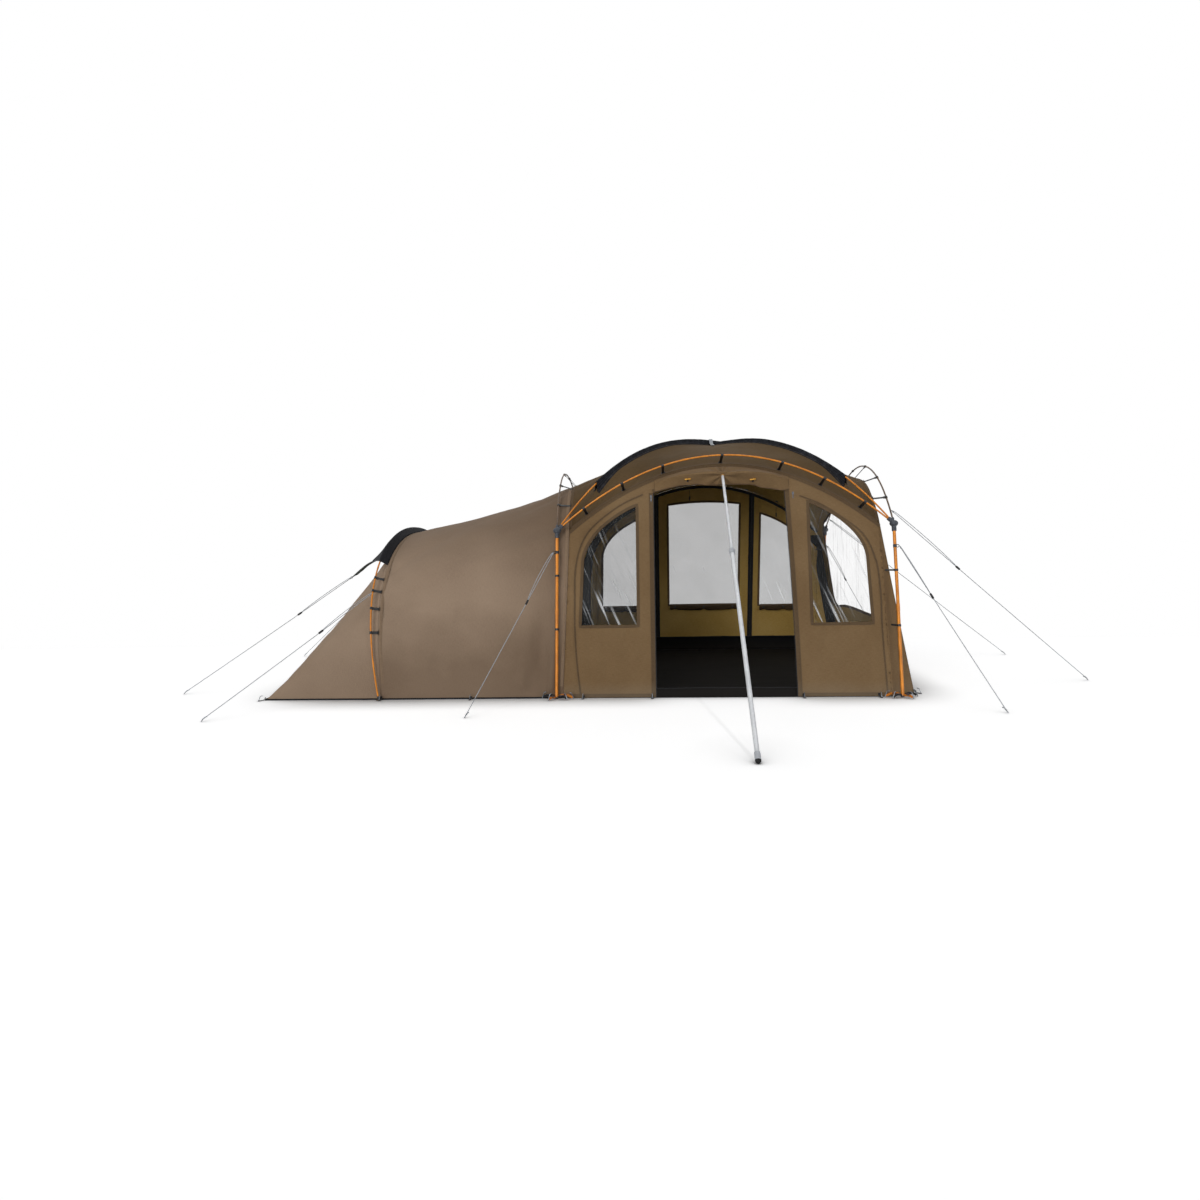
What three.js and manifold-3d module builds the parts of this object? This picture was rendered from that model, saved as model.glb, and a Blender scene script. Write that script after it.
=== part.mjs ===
// A family tunnel-dome tent: a square living dome on four legs, a sleeping tunnel that ends in a leaning
// hoop, and a sloped tail. Millimetres, +Z up, +X to the right of somebody facing the front door, +Y to
// the rear. The origin is on the ground below the point where the two diagonal poles cross.

import * as THREE from "three";
import { mergeVertices } from "three/addons/utils/BufferGeometryUtils.js";
import Module from "manifold-3d";

const wasm = await Module();
wasm.setup();

// ---------------------------------------------------------------- driving dimensions

// Clearances.
const seatGap = 0.3; // between pieces that touch
const seamGap = 0.6; // between the edges of two fabric panels that are sewn together
const groundBlock = 200; // of the ground that is cut away below a foot or a peg

// Frame of the living dome.
const legFootX = 1350; // from the centre to a leg's foot
const legFootY = 1408;
const hubX = 1343; // from the centre to a hub
const hubY = 1178;
const hubZ = 1348;
const frontArchRise = 574; // from the hubs to the arch's apex
const sideArchRise = 565;
const sideArchBulge = 46; // how far a side arch leans out at its apex
const crossingHeight = 2170; // axis of the upper diagonal pole where the two cross
const diagonalPower = 2.65; // how flat the diagonals are over the middle
const crossingReach = 0.35; // share of its half length over which the lower diagonal dips
const poleRadius = 6.5;
const legRadius = 12.5;
const hookWidth = 12; // of the hooks that hold the cloth, along the pole
const hookBack = 10; // how far a hook reaches behind its pole's axis
const hookClear = 9; // what its tongue stops short of the cloth

// Hubs.
const hubCoreRadius = 36;
const hubPoleStart = 38; // from the hub's centre to a pole's end
const hubSocketEnd = 92; // from the hub's centre to a socket's mouth
const hubSocketWall = 3.5;

// Fabric shell of the living dome.
const fabric = 3;
const shellCornerX = 1245; // roof corner, inside the hub
const shellCornerY = 1130;
const shellCornerZ = 1345;
const frontSeamTop = 1865; // apex of the seam between roof and front wall
const sideSeamTop = 1775; // apex of the seam between roof and side wall
const sideSeamPower = 3.6; // how square-shouldered the side seam is
const sideSeamBulge = 35;
const frontBaseY = 1375; // front and rear walls' foot
const frontBaseLeft = -1300;
const frontBaseRight = 1280;
const rightBaseX = 1490; // right wall's foot
const rightBaseY = 1240;
const sleeveWall = 3;
const sleeveClear = 2;
const sleeveCells = 5; // cells of the roof, counted from its middle, that a sleeve covers

// Door and windows.
const doorHalf = 560;
const doorSill = 70;
const doorSideTop = 1652; // door opening's height at its sides
const doorMidTop = 1712; // and at its middle
const windowOuter = 1160;
const frontWindowInner = 690;
const rearWindowInner = 620;
const frontWindowSill = 565;
const rearWindowSill = 512;
const windowShoulder = 1090; // height at which a corner window's outer side starts to curve
const windowTopDrop = 300; // from a corner window's inner top corner to its shoulder curve's end
const windowLean = 22; // how far its outer side leans in at the shoulder
const windowCurveLean = 34; // and at the shoulder curve's first handle
const windowCurveReach = 210; // from its outer side in to the curve's second handle
const windowInnerTop = 1545;
const rearMiddleHalf = 395;
const rearMiddleTop = 1655;
const rearMiddleCrown = 55;
const sideWindowFront = -600;
const sideWindowRear = 1000;
const sideWindowSill = 520;
const sideWindowTop = 1440;
const sideWindowCorner = 120;
const paneThickness = 1;

// Sleeping tunnel, hoop, hood and tail.
const hoopHalf = 1430; // hoop's half width at the ground
const hoopHeight = 1423;
const hoopFootX = -2804;
const hoopLean = 95;
const hoopRoundY = 2.2; // exponents of the hoop's rounded outline
const hoopRoundZ = 2.8;
const hoopSideGap = 30; // from the hoop's axis in to the fabric's seam, at the ground
const hoopTopGap = 40; // and at the top
const hoopFootGap = 14; // how far the seam's foot stands in front of the hoop's
const seamLean = 55;
const tunnelSag = 22;
const tailX = -3772;
const hoodFirst = 8; // step of the hoop at which the hood begins
const hoodTipX = -3390;
const hoodTipY = 450;
const hoodTipZ = 970;
const hoodLift = 15; // from the hoop's axis up to the hood's inner face
const hoodSeamLift = 5.3; // from the seam up to the hood's inner edge
const hoodBow = 30; // how much higher the brim's middle is than its tips
const seamHalf = hoopHalf - hoopSideGap;
const seamHeight = hoopHeight - hoopTopGap;
const seamFootX = hoopFootX + hoopFootGap;
const tailHalf = seamHalf;

// Groundsheet and inner tent.
const floorThickness = 3;
const tubHeight = 150;
const tubInset = 9;
const innerWallX = -1345;
const innerDoorHalf = 420;
const innerDoorTop = 1250;
const innerDoorCrown = 90;
const innerWallInset = 14;

// Mesh curtain inside the side window.
const curtainLow = 330;
const curtainHigh = 1290;
const curtainMiddle = 1045; // from the dome's centre to the rear
const curtainHalf = 62;
const curtainTie = 1130; // height at which it is tied
const curtainTieReach = 130;
const curtainTilt = 20;
const curtainDepth = 46;
const curtainBelly = 20;
const curtainFold = 5;

// Door canopy and awning pole.
const canopyHalf = 545;
const canopyRidgeReach = 26; // from the grommet up to the canopy's ridge
const canopyFallReach = 74; // and down to its hem
const canopySeamDrop = 22; // from the arch's seam down to the canopy's own
const grommetHole = 5;
const poleTopY = -1196; // centre of the grommet
const poleTopZ = 1762;
const poleFootY = -3168;
const footRadius = 18;
const upperTubeRadius = 11;
const lowerTubeRadius = 14.5;
const lowerTubeWall = 1.7;
const upperTubeShown = 905; // from the grommet to the lower tube's mouth
const upperTubeHidden = 480; // length that stays inside the lower tube
const poleTravel = 420; // how far the lower tube can slide up
const spikeRadius = 4;
const spikeLength = 26;

// Guy lines.
const guyRadius = 2.2;
const pegRadius = 3.5;
const pegLength = 70;
const runnerLength = 46;
const runnerRadius = 9;
const runnerPlace = 0.33; // share of the line between its eye and the runner
const eyeRing = 11;
const eyeWire = 2.5;
const guyEyeHeight = 1170; // eyes on the legs
const leftPegX = 1930;
const leftPegY = 2060;
const frontRightPegX = 1880;
const frontRightPegY = 1960;
const rearRightPegX = 2100;
const rearRightPegY = 1600;
const sidePegX = 3090;
const sidePegY = 740;
const hoopPegX = 3850;
const hoopPegY = 2150;
const hoodPegX = 4660;
const hoodPegY = 1120;

// Door zips.
const zipWidth = 16;
const zipDepth = 7;
const zipHeight = 38;
const zipTop = 1610;

// ---------------------------------------------------------------- solids

const { sign, abs, min, max, cos, sin, sqrt, pow, PI, hypot } = Math;
const vec = (x, y, z) => new THREE.Vector3(x, y, z);
const lerp = THREE.MathUtils.lerp;
const smooth = (x, a, b) => THREE.MathUtils.smoothstep(x, a, b);

function bare(geometry) {
  const copy = geometry.clone();
  for (const name of Object.keys(copy.attributes)) {
    if (name !== "position") copy.deleteAttribute(name);
  }
  return mergeVertices(copy, 1e-3);
}

function toManifold(geometry) {
  const merged = bare(geometry);
  return new wasm.Manifold(
    new wasm.Mesh({
      numProp: 3,
      vertProperties: new Float32Array(merged.attributes.position.array),
      triVerts: new Uint32Array(merged.index.array),
    }),
  );
}

function toGeometry(solid) {
  const mesh = solid.getMesh();
  const geometry = new THREE.BufferGeometry();
  geometry.setAttribute("position", new THREE.BufferAttribute(mesh.vertProperties, 3));
  geometry.setIndex(new THREE.BufferAttribute(mesh.triVerts, 1));
  return geometry;
}

const join = (first, ...rest) =>
  toGeometry(rest.reduce((sum, g) => sum.add(toManifold(g)), toManifold(first)));

const cut = (first, ...rest) =>
  toGeometry(rest.reduce((sum, g) => sum.subtract(toManifold(g)), toManifold(first)));

const common = (first, second) =>
  toGeometry(toManifold(first).intersect(toManifold(second)));

// A closed solid between two surfaces, each given as a function of (i, j) on one grid. The far surface
// lies on the outward side. Cells are split along the diagonal that `fall` picks.
function between(near, far, columns, rows, fall = () => true) {
  const points = [];
  const at = (i, j, side) => side * (columns + 1) * (rows + 1) + j * (columns + 1) + i;
  for (const surface of [near, far]) {
    for (let j = 0; j <= rows; j += 1) {
      for (let i = 0; i <= columns; i += 1) points.push(...surface(i, j).toArray());
    }
  }
  const faces = [];
  const quad = (a, b, c, d) => faces.push(a, b, c, a, c, d);
  for (let j = 0; j < rows; j += 1) {
    for (let i = 0; i < columns; i += 1) {
      const ring = [[i, j], [i + 1, j], [i + 1, j + 1], [i, j + 1]];
      if (!fall(i, j)) ring.push(ring.shift());
      quad(...ring.map(([p, q]) => at(p, q, 1)));
      const [a, b, c, d] = ring.map(([p, q]) => at(p, q, 0));
      quad(a, d, c, b);
    }
  }
  for (let i = 0; i < columns; i += 1) {
    quad(at(i, 0, 0), at(i + 1, 0, 0), at(i + 1, 0, 1), at(i, 0, 1));
    quad(at(i + 1, rows, 0), at(i, rows, 0), at(i, rows, 1), at(i + 1, rows, 1));
  }
  for (let j = 0; j < rows; j += 1) {
    quad(at(0, j + 1, 0), at(0, j, 0), at(0, j, 1), at(0, j + 1, 1));
    quad(at(columns, j, 0), at(columns, j + 1, 0), at(columns, j + 1, 1), at(columns, j, 1));
  }
  const geometry = new THREE.BufferGeometry();
  geometry.setAttribute("position", new THREE.Float32BufferAttribute(points, 3));
  geometry.setIndex(faces);
  return geometry;
}

// A panel of cloth: the surface place(i, j) is its inner face, and it is thickened outwards.
function panel(place, columns, rows, thickness = fabric, fall, offset = 0) {
  const normal = (i, j) => {
    const along = place(min(i + 1, columns), j).sub(place(max(i - 1, 0), j));
    const up = place(i, min(j + 1, rows)).sub(place(i, max(j - 1, 0)));
    return along.cross(up).normalize();
  };
  const lift = (distance) => (i, j) => place(i, j).addScaledVector(normal(i, j), distance);
  return between(lift(offset), lift(offset + thickness), columns, rows, fall);
}

// A rod of round section through a row of points. `side` is a direction that the rod never runs along.
function rod(points, radius, side, corners = 8) {
  const last = points.length - 1;
  const positions = [];
  points.forEach((point, k) => {
    const way = points[min(k + 1, last)].clone().sub(points[max(k - 1, 0)]).normalize();
    const a = side.clone().addScaledVector(way, -side.dot(way)).normalize();
    const b = way.clone().cross(a);
    for (let c = 0; c < corners; c += 1) {
      const angle = (2 * PI * (c + 0.5)) / corners;
      const rim = point.clone().addScaledVector(a, radius * cos(angle));
      positions.push(...rim.addScaledVector(b, radius * sin(angle)).toArray());
    }
  });
  const faces = [];
  for (let k = 0; k < last; k += 1) {
    for (let c = 0; c < corners; c += 1) {
      const [p, q] = [k * corners + c, k * corners + ((c + 1) % corners)];
      faces.push(p, q, q + corners, p, q + corners, p + corners);
    }
  }
  for (let c = 1; c < corners - 1; c += 1) {
    faces.push(0, c + 1, c, last * corners, last * corners + c, last * corners + c + 1);
  }
  const geometry = new THREE.BufferGeometry();
  geometry.setAttribute("position", new THREE.Float32BufferAttribute(positions, 3));
  geometry.setIndex(faces);
  return geometry;
}

function straight(a, b, radius, corners = 8) {
  const way = b.clone().sub(a);
  const side = abs(way.z) > 0.9 * way.length() ? vec(1, 0, 0) : vec(0, 0, 1);
  return rod([a, b], radius, side, corners);
}

// A turned piece: profile points are [distance along the axis, radius], laid from `origin` along `way`.
function turned(profile, origin, way, corners = 12) {
  const outline = profile.map(([along, radius]) => new THREE.Vector2(radius, along));
  const geometry = new THREE.LatheGeometry(outline, corners);
  const turn = new THREE.Quaternion().setFromUnitVectors(vec(0, 1, 0), way.clone().normalize());
  geometry.applyQuaternion(turn);
  geometry.translate(origin.x, origin.y, origin.z);
  return bare(geometry);
}

// A block centred on `middle`, with its own x, y and z turned to the given directions.
function block(size, middle, along, up) {
  const z = up.clone().normalize();
  const x = along.clone().addScaledVector(z, -along.dot(z)).normalize();
  const y = z.clone().cross(x);
  const geometry = new THREE.BoxGeometry(...size);
  geometry.applyMatrix4(new THREE.Matrix4().makeBasis(x, y, z));
  geometry.translate(middle.x, middle.y, middle.z);
  return geometry;
}

// The ground round a foot or a peg, which is cut off level with it.
function groundBelow(point) {
  const ground = new THREE.BoxGeometry(groundBlock, groundBlock, groundBlock);
  return ground.translate(point.x, point.y, -groundBlock / 2);
}

// A prism through the front wall, or with `sideways` through the right wall, of a drawn outline.
function through(outline, sideways = false) {
  const depth = 900;
  const geometry = new THREE.ExtrudeGeometry(outline, { depth, bevelEnabled: false, curveSegments: 5 });
  geometry.rotateX(PI / 2);
  if (sideways) return geometry.rotateZ(PI / 2).translate(rightBaseX - depth / 2, 0, 0);
  return geometry.translate(0, depth / 2 - frontBaseY, 0);
}

// ---------------------------------------------------------------- frame

const frontArchPlace = (s) => vec(hubX * s, -hubY, hubZ + frontArchRise * (1 - s * s));
const rearArchPlace = (s) => frontArchPlace(s).multiply(vec(1, -1, 1));
const sideArchPlace = (s) =>
  vec(hubX + sideArchBulge * (1 - s * s), hubY * s, hubZ + sideArchRise * (1 - s * s));
const diagonalHeight = (s) => crossingHeight - (crossingHeight - hubZ) * pow(abs(s), diagonalPower);
const diagonalPlace = (s, dip) => {
  const fade = max(0, 1 - pow(s / crossingReach, 2));
  return vec(hubX * s, hubY * s, diagonalHeight(s) - dip * fade * fade);
};

// The share of an arch at which its pole ends inside the hub's socket.
function endShare(place) {
  let share = 1;
  while (place(share).distanceTo(place(1)) < hubPoleStart) share -= 0.0005;
  return share;
}

const archSteps = 16;

// The points of an arch's pole, from socket to socket.
function archPoints(place) {
  const reach = endShare(place);
  return Array.from({ length: archSteps + 1 }, (_, k) => place(lerp(-reach, reach, k / archSteps)));
}

// The points of a diagonal pole. Between the hubs they lie over the corners of the roof's cells.
const roofCells = 14;
const halfCells = roofCells / 2;
const cellShare = (k) => (k / halfCells) * (shellCornerX / hubX);

function diagonalPoints(dip) {
  const points = [];
  const reach = endShare((s) => diagonalPlace(s, 0));
  points.push(diagonalPlace(-reach, dip));
  for (let k = -halfCells; k <= halfCells; k += 1) points.push(diagonalPlace(cellShare(k), dip));
  points.push(diagonalPlace(reach, dip));
  return points;
}

const sleeveRadius = poleRadius + sleeveClear + sleeveWall;
const crossingDrop = 2 * sleeveRadius + 1;
const hubCentre = vec(hubX, hubY, hubZ);
const legFoot = vec(legFootX, legFootY, 0);
const legWay = legFoot.clone().sub(hubCentre).normalize();
const legTop = hubCentre.clone().addScaledVector(legWay, hubPoleStart);
const flatSide = { front: vec(0, 1, 0), side: vec(1, 0, 0), diagonal: vec(-hubY, hubX, 0).normalize() };

// A hook that grips a pole and reaches down to the cloth.
function hook(place, share, target) {
  const point = place(share);
  const way = place(share + 0.01).sub(place(share - 0.01)).normalize();
  const reach = target.clone().sub(point);
  const length = reach.length() - 2 * fabric - hookClear;
  const middle = point.clone().addScaledVector(reach.normalize(), (length - hookBack) / 2);
  return block([hookWidth, 2 * poleRadius + 3, length + hookBack], middle, way, reach);
}

const legCorners = 10;

// The leg that stands at +X, +Y. The other three are its mirror images.
function leg() {
  const tube = straight(legFoot, legTop, legRadius, legCorners);
  const eyeSeat = hubCentre.clone().addScaledVector(legWay, (hubZ - guyEyeHeight) / -legWay.z);
  const out = vec(1, 1, 0).normalize();
  const eye = new THREE.TorusGeometry(eyeRing, eyeWire, 4, 8);
  eye.rotateX(PI / 2).rotateZ(PI / 4);
  const eyeAt = eyeSeat.clone().addScaledVector(out, legRadius + eyeRing - 1);
  eye.translate(eyeAt.x, eyeAt.y, eyeAt.z);
  const bandRadius = legRadius + 2;
  const band = turned([[-12, 0], [-12, bandRadius], [12, bandRadius], [12, 0]], eyeSeat, legWay, legCorners);
  const shoeRadius = legRadius + 2.5;
  const shoe = turned([[-60, 0], [-60, shoeRadius], [8, shoeRadius], [8, 0]], legFoot, legWay, legCorners);
  return cut(join(tube, bare(eye), band, shoe), groundBelow(legFoot));
}

// A socket of the hub round the pole that leaves it along `way`.
function socket(way, radius) {
  const start = 0.6 * hubCoreRadius;
  const outer = radius + seatGap + hubSocketWall;
  const mouth = outer + 1.5;
  const profile = [
    [start, 0], [start, outer], [hubSocketEnd - 12, outer], [hubSocketEnd - 12, mouth],
    [hubSocketEnd, mouth], [hubSocketEnd, 0],
  ];
  return turned(profile, hubCentre, way, radius > poleRadius ? legCorners : 8);
}

// The moulded hub at +X, +Y: a ball with four sockets, for the leg, the two arches and the diagonal.
function hub() {
  const bent = (points) => points.slice(-2).reverse();
  const poles = [
    { points: bent(archPoints(rearArchPlace)), side: flatSide.front, radius: poleRadius, corners: 8 },
    { points: bent(archPoints(sideArchPlace)), side: flatSide.side, radius: poleRadius, corners: 8 },
    { points: bent(diagonalPoints(0)), side: flatSide.diagonal, radius: poleRadius, corners: 8 },
    { points: [legTop, legFoot], side: flatSide.side, radius: legRadius, corners: legCorners },
  ];
  let body = new THREE.SphereGeometry(hubCoreRadius, 8, 6);
  body.scale(1, 1, 0.86);
  body.translate(hubX, hubY, hubZ);
  for (const { points, radius } of poles) {
    const way = points[0].clone().sub(hubCentre).normalize();
    body = join(body, socket(way, radius));
  }
  for (const { points, side, radius, corners } of poles) {
    const way = points[1].clone().sub(points[0]).normalize();
    const bore = points.map((point) => point.clone());
    bore[0].addScaledVector(way, -seatGap);
    body = cut(body, rod(bore, radius + seatGap, side, corners));
  }
  return body;
}

const clipShares = [-0.834, -0.6, -0.354, 0, 0.354, 0.6, 0.834];

function frontArch() {
  const arch = rod(archPoints(frontArchPlace), poleRadius, flatSide.front);
  const hooks = clipShares.map((share) => hook(frontArchPlace, share, roofPlace(share, -1)));
  return join(arch, ...hooks);
}

function sideArch() {
  const arch = rod(archPoints(sideArchPlace), poleRadius, flatSide.side);
  const hooks = [-0.52, -0.18, 0.18, 0.52].map((share) =>
    hook(sideArchPlace, share, roofPlace(1, share)),
  );
  return join(arch, ...hooks);
}

const diagonal = (dip) => rod(diagonalPoints(dip), poleRadius, flatSide.diagonal);

// The sleeve that holds a diagonal pole to the roof, open at both ends.
function sleeve(dip) {
  const inside = diagonalPoints(dip).slice(halfCells + 1 - sleeveCells, halfCells + 2 + sleeveCells);
  const longer = inside.map((point) => point.clone());
  longer[0].add(inside[0].clone().sub(inside[1]).setLength(5));
  longer[longer.length - 1].add(inside.at(-1).clone().sub(inside.at(-2)).setLength(5));
  return cut(
    rod(inside, sleeveRadius, flatSide.diagonal),
    rod(longer, sleeveRadius - sleeveWall, flatSide.diagonal),
  );
}

// ---------------------------------------------------------------- cloth of the living dome

const wallY = (z) => frontBaseY - ((frontBaseY - shellCornerY) / shellCornerZ) * z;
const frontSeam = (u) => lerp(frontSeamTop, shellCornerZ, u * u);
const sideSeam = (v) => lerp(sideSeamTop, shellCornerZ, pow(abs(v), sideSeamPower));
const sideSeamX = (v) => shellCornerX + sideSeamBulge * (1 - v * v);

// Height of the ridge under a diagonal pole's sleeve, at a share w of the way to the roof's corner. Near
// the corner the cloth drops away from the pole.
function ridge(w) {
  const share = (w * shellCornerX) / hubX;
  const step = 0.01;
  const run = step * hypot(hubX, hubY);
  const slope = (diagonalHeight(share) - diagonalHeight(share + step)) / run;
  const drop = (sleeveRadius + seatGap + fabric) * sqrt(1 + slope * slope);
  const under = diagonalPlace(share, crossingDrop).z - drop;
  const free = sleeveCells / halfCells;
  return lerp(under, under - cornerFall, smooth(w, free, 1));
}

const cornerFall = diagonalHeight(shellCornerX / hubX) - crossingDrop - shellCornerZ;

// The roof's inner face over (u, v), each from -1 to 1 across the dome. Two ridges follow the diagonal
// poles, and a shallow saddle hangs between each pair of them and the arch.
function roofPlace(u, v) {
  const w = max(abs(u), abs(v));
  const front = abs(v) >= abs(u);
  const s = w === 0 ? 0 : (front ? u : v) / w;
  const bow = front ? 1 - s * s : 1 - pow(abs(s), 2 + (sideSeamPower - 2) * w * w);
  const crest = front
    ? lerp(ridge(0), frontSeamTop, pow(w, 1.4))
    : lerp(ridge(0), sideSeamTop, pow(w, 1.5));
  const corner = lerp(ridge(w), shellCornerZ, w === 1 ? 1 : 0);
  const z = lerp(corner, crest, bow);
  const ridgeHalfY = (shellCornerX * hubY) / hubX;
  const depth = lerp(ridgeHalfY, wallY(frontSeam(u)), smooth(abs(v), 0.75, 1));
  const width = lerp(shellCornerX, sideSeamX(v), smooth(abs(u), 0.75, 1));
  return vec(u * width, v * depth, z);
}

const acrossRoof = (i) => -1 + i / halfCells;

function roof() {
  const place = (i, j) => roofPlace(acrossRoof(i), acrossRoof(j));
  const fall = (i, j) => (i < halfCells) === (j < halfCells);
  return panel(place, roofCells, roofCells, fabric, fall);
}

// The front wall's inner face: flat from seam to seam, then a gusset that turns into the right wall.
const gussetCells = 3;
const gussetTop = 4;

function frontWallPlace(i, j) {
  const u = min(acrossRoof(i), 1);
  const turn = max(0, i - roofCells) / gussetCells;
  const topZ = frontSeam(u) - seamGap;
  const top = vec(u * shellCornerX + turn * gussetTop, -wallY(topZ) + turn * gussetTop, topZ);
  const footZ = floorThickness + seatGap;
  const foot = vec(lerp(frontBaseLeft, frontBaseRight, (u + 1) / 2), -wallY(footZ), footZ);
  foot.lerp(vec(rightBaseX, -rightBaseY, foot.z), turn);
  return foot.lerp(top, j);
}

const wallSheet = (thickness = fabric, offset = 0) =>
  panel(frontWallPlace, roofCells + gussetCells, 1, thickness, () => true, offset);

// Outline of a window beside the door, as (x, z): upright inner side, sill, and a shoulder that follows
// the arch. `grow` moves every side outwards.
function cornerWindow(side, inner, sill, grow = 0) {
  const left = inner - grow;
  const right = windowOuter + grow;
  const shape = new THREE.Shape();
  shape.moveTo(side * left, sill - grow);
  shape.lineTo(side * right, sill - grow);
  shape.lineTo(side * (right - windowLean), windowShoulder);
  shape.bezierCurveTo(
    side * (right - windowCurveLean), windowShoulder + windowTopDrop * 0.55,
    side * (right - windowCurveReach), windowInnerTop - windowTopDrop * 0.36 + grow,
    side * left, windowInnerTop + grow,
  );
  shape.closePath();
  return shape;
}

function archedOutline(half, sill, sideTop, midTop, grow = 0) {
  const shape = new THREE.Shape();
  shape.moveTo(-half - grow, sill - grow);
  shape.lineTo(half + grow, sill - grow);
  shape.lineTo(half + grow, sideTop + grow);
  shape.quadraticCurveTo(0, 2 * midTop - sideTop + grow, -half - grow, sideTop + grow);
  shape.closePath();
  return shape;
}

function roundedOutline(left, right, low, high, corner, grow = 0) {
  const shape = new THREE.Shape();
  const [l, r, b, t] = [left + corner, right - corner, low + corner, high - corner];
  const radius = corner + grow;
  shape.absarc(r, b, radius, -PI / 2, 0, false);
  shape.absarc(r, t, radius, 0, PI / 2, false);
  shape.absarc(l, t, radius, PI / 2, PI, false);
  shape.absarc(l, b, radius, PI, 1.5 * PI, false);
  return shape;
}

const outlines = {
  door: (grow) => archedOutline(doorHalf, doorSill, doorSideTop, doorMidTop, grow),
  front_left: (grow) => cornerWindow(-1, frontWindowInner, frontWindowSill, grow),
  front_right: (grow) => cornerWindow(1, frontWindowInner, frontWindowSill, grow),
  rear_left: (grow) => cornerWindow(-1, rearWindowInner, rearWindowSill, grow),
  rear_right: (grow) => cornerWindow(1, rearWindowInner, rearWindowSill, grow),
  rear_middle: (grow) =>
    archedOutline(rearMiddleHalf, rearWindowSill + 14, rearMiddleTop, rearMiddleTop + rearMiddleCrown, grow),
  right: (grow) =>
    roundedOutline(sideWindowFront, sideWindowRear, sideWindowSill, sideWindowTop, sideWindowCorner, grow),
};

const frontWall = () =>
  cut(wallSheet(), ...["door", "front_left", "front_right"].map((name) => through(outlines[name](0))));

const rearWall = () =>
  cut(wallSheet(), ...["rear_left", "rear_middle", "rear_right"].map((name) => through(outlines[name](0))));

// A clear pane, sewn into its opening with the seat gap all round.
const wallPane = (name) =>
  common(wallSheet(paneThickness, (fabric - paneThickness) / 2), through(outlines[name](-seatGap)));

function rightWallPlace(i, j) {
  const v = acrossRoof(i);
  const top = roofPlace(1, v).add(vec(0, 0, -seamGap));
  if (abs(v) === 1) top.add(vec(gussetTop, -v * (gussetTop + seamGap), 0));
  const foot = vec(rightBaseX, v * (rightBaseY - seamGap), floorThickness + seatGap);
  return foot.lerp(top, j);
}

const rightSheet = (thickness = fabric, offset = 0) =>
  panel(rightWallPlace, roofCells, 1, thickness, () => true, offset);

const rightWall = () => cut(rightSheet(), through(outlines.right(0), true));

const rightPane = () =>
  common(
    rightSheet(paneThickness, (fabric - paneThickness) / 2),
    through(outlines.right(-seatGap), true),
  );

// ---------------------------------------------------------------- tunnel, hoop, hood, tail

// A point on the rounded outline of a hoop, from the foot at -Y (t = 0) over the top to the foot at +Y.
function hoopOutline(t, half, height) {
  const angle = PI * t;
  const y = -sign(cos(angle)) * half * pow(abs(cos(angle)), 2 / hoopRoundY);
  return { y, z: height * pow(max(0, sin(angle)), 2 / hoopRoundZ) };
}

function hoopPlace(t, grow = 0) {
  const { y, z } = hoopOutline(t, hoopHalf + grow, hoopHeight + grow);
  const low = 1 - min(1, z / hoopHeight);
  return vec(hoopFootX - hoopLean * (1 - low * low), y, z);
}

function seamPlace(t, grow = 0) {
  const { y, z } = hoopOutline(t, seamHalf + grow, seamHeight + grow);
  return vec(seamFootX - (seamLean * z) / seamHeight, y, max(z, floorThickness + seatGap));
}

const hoopSteps = 28;
const tunnelRows = 4;
const legCells = 4;
const tunnelCells = roofCells + 2 * legCells;

// The dome's end of the tunnel: up the front wall's edge, along the roof's edge and down again.
function tunnelStart(i) {
  const k = i - legCells;
  const x = (z) => lerp(frontBaseLeft, -shellCornerX, z / shellCornerZ) - seamGap;
  if (k >= 0 && k <= roofCells) {
    const v = acrossRoof(k);
    return roofPlace(-1, v).add(vec(-seamGap * (1 + 4 * smooth(abs(v), 0.6, 1)), 0, 0));
  }
  const rise = (k < 0 ? i : tunnelCells - i) / legCells;
  const z = lerp(floorThickness + seatGap, shellCornerZ, rise);
  return vec(x(z), k < 0 ? -wallY(z) : wallY(z), z);
}

function tunnelPlace(i, j) {
  const t = j / tunnelRows;
  const start = tunnelStart(i);
  const end = seamPlace(i / tunnelCells);
  const point = start.lerp(end, t);
  point.z -= (tunnelSag * 4 * t * (1 - t) * point.z) / shellCornerZ;
  point.z = max(point.z, floorThickness + seatGap);
  return point;
}

const tunnel = () => panel(tunnelPlace, tunnelCells, tunnelRows);

function tailPlace(i, j) {
  const t = i / tunnelCells;
  const start = seamPlace(t).add(vec(-seamGap, 0, 0));
  const end = vec(tailX, -tailHalf * cos(PI * t), floorThickness + seatGap);
  return start.lerp(end, j);
}

const tail = () => panel(tailPlace, tunnelCells, 1);

function hoop() {
  const shares = Array.from({ length: hoopSteps + 1 }, (_, k) => k / hoopSteps);
  const axis = shares.map((t) => hoopPlace(t).add(vec(0, 0, t % 1 === 0 ? 4 : 0)));
  const pole = rod(axis, poleRadius, flatSide.side);
  const ends = [0, 1].map((t) => {
    const foot = hoopPlace(t);
    const shoe = new THREE.CylinderGeometry(poleRadius + 4, poleRadius + 6, 30, 8);
    shoe.rotateX(PI / 2).translate(foot.x, foot.y, 15);
    const reach = hoopHalf - seamHalf - fabric - seatGap;
    const plate = new THREE.BoxGeometry(30, reach, 4);
    plate.translate(seamFootX - 12, sign(foot.y) * (hoopHalf - reach / 2), 2);
    return join(shoe, plate);
  });
  const hooks = [0.12, 0.22].flatMap((t) => [t, 1 - t]);
  return join(pole, ...ends, ...hooks.map((t) => hook(hoopPlace, t, seamPlace(t))));
}

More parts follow.
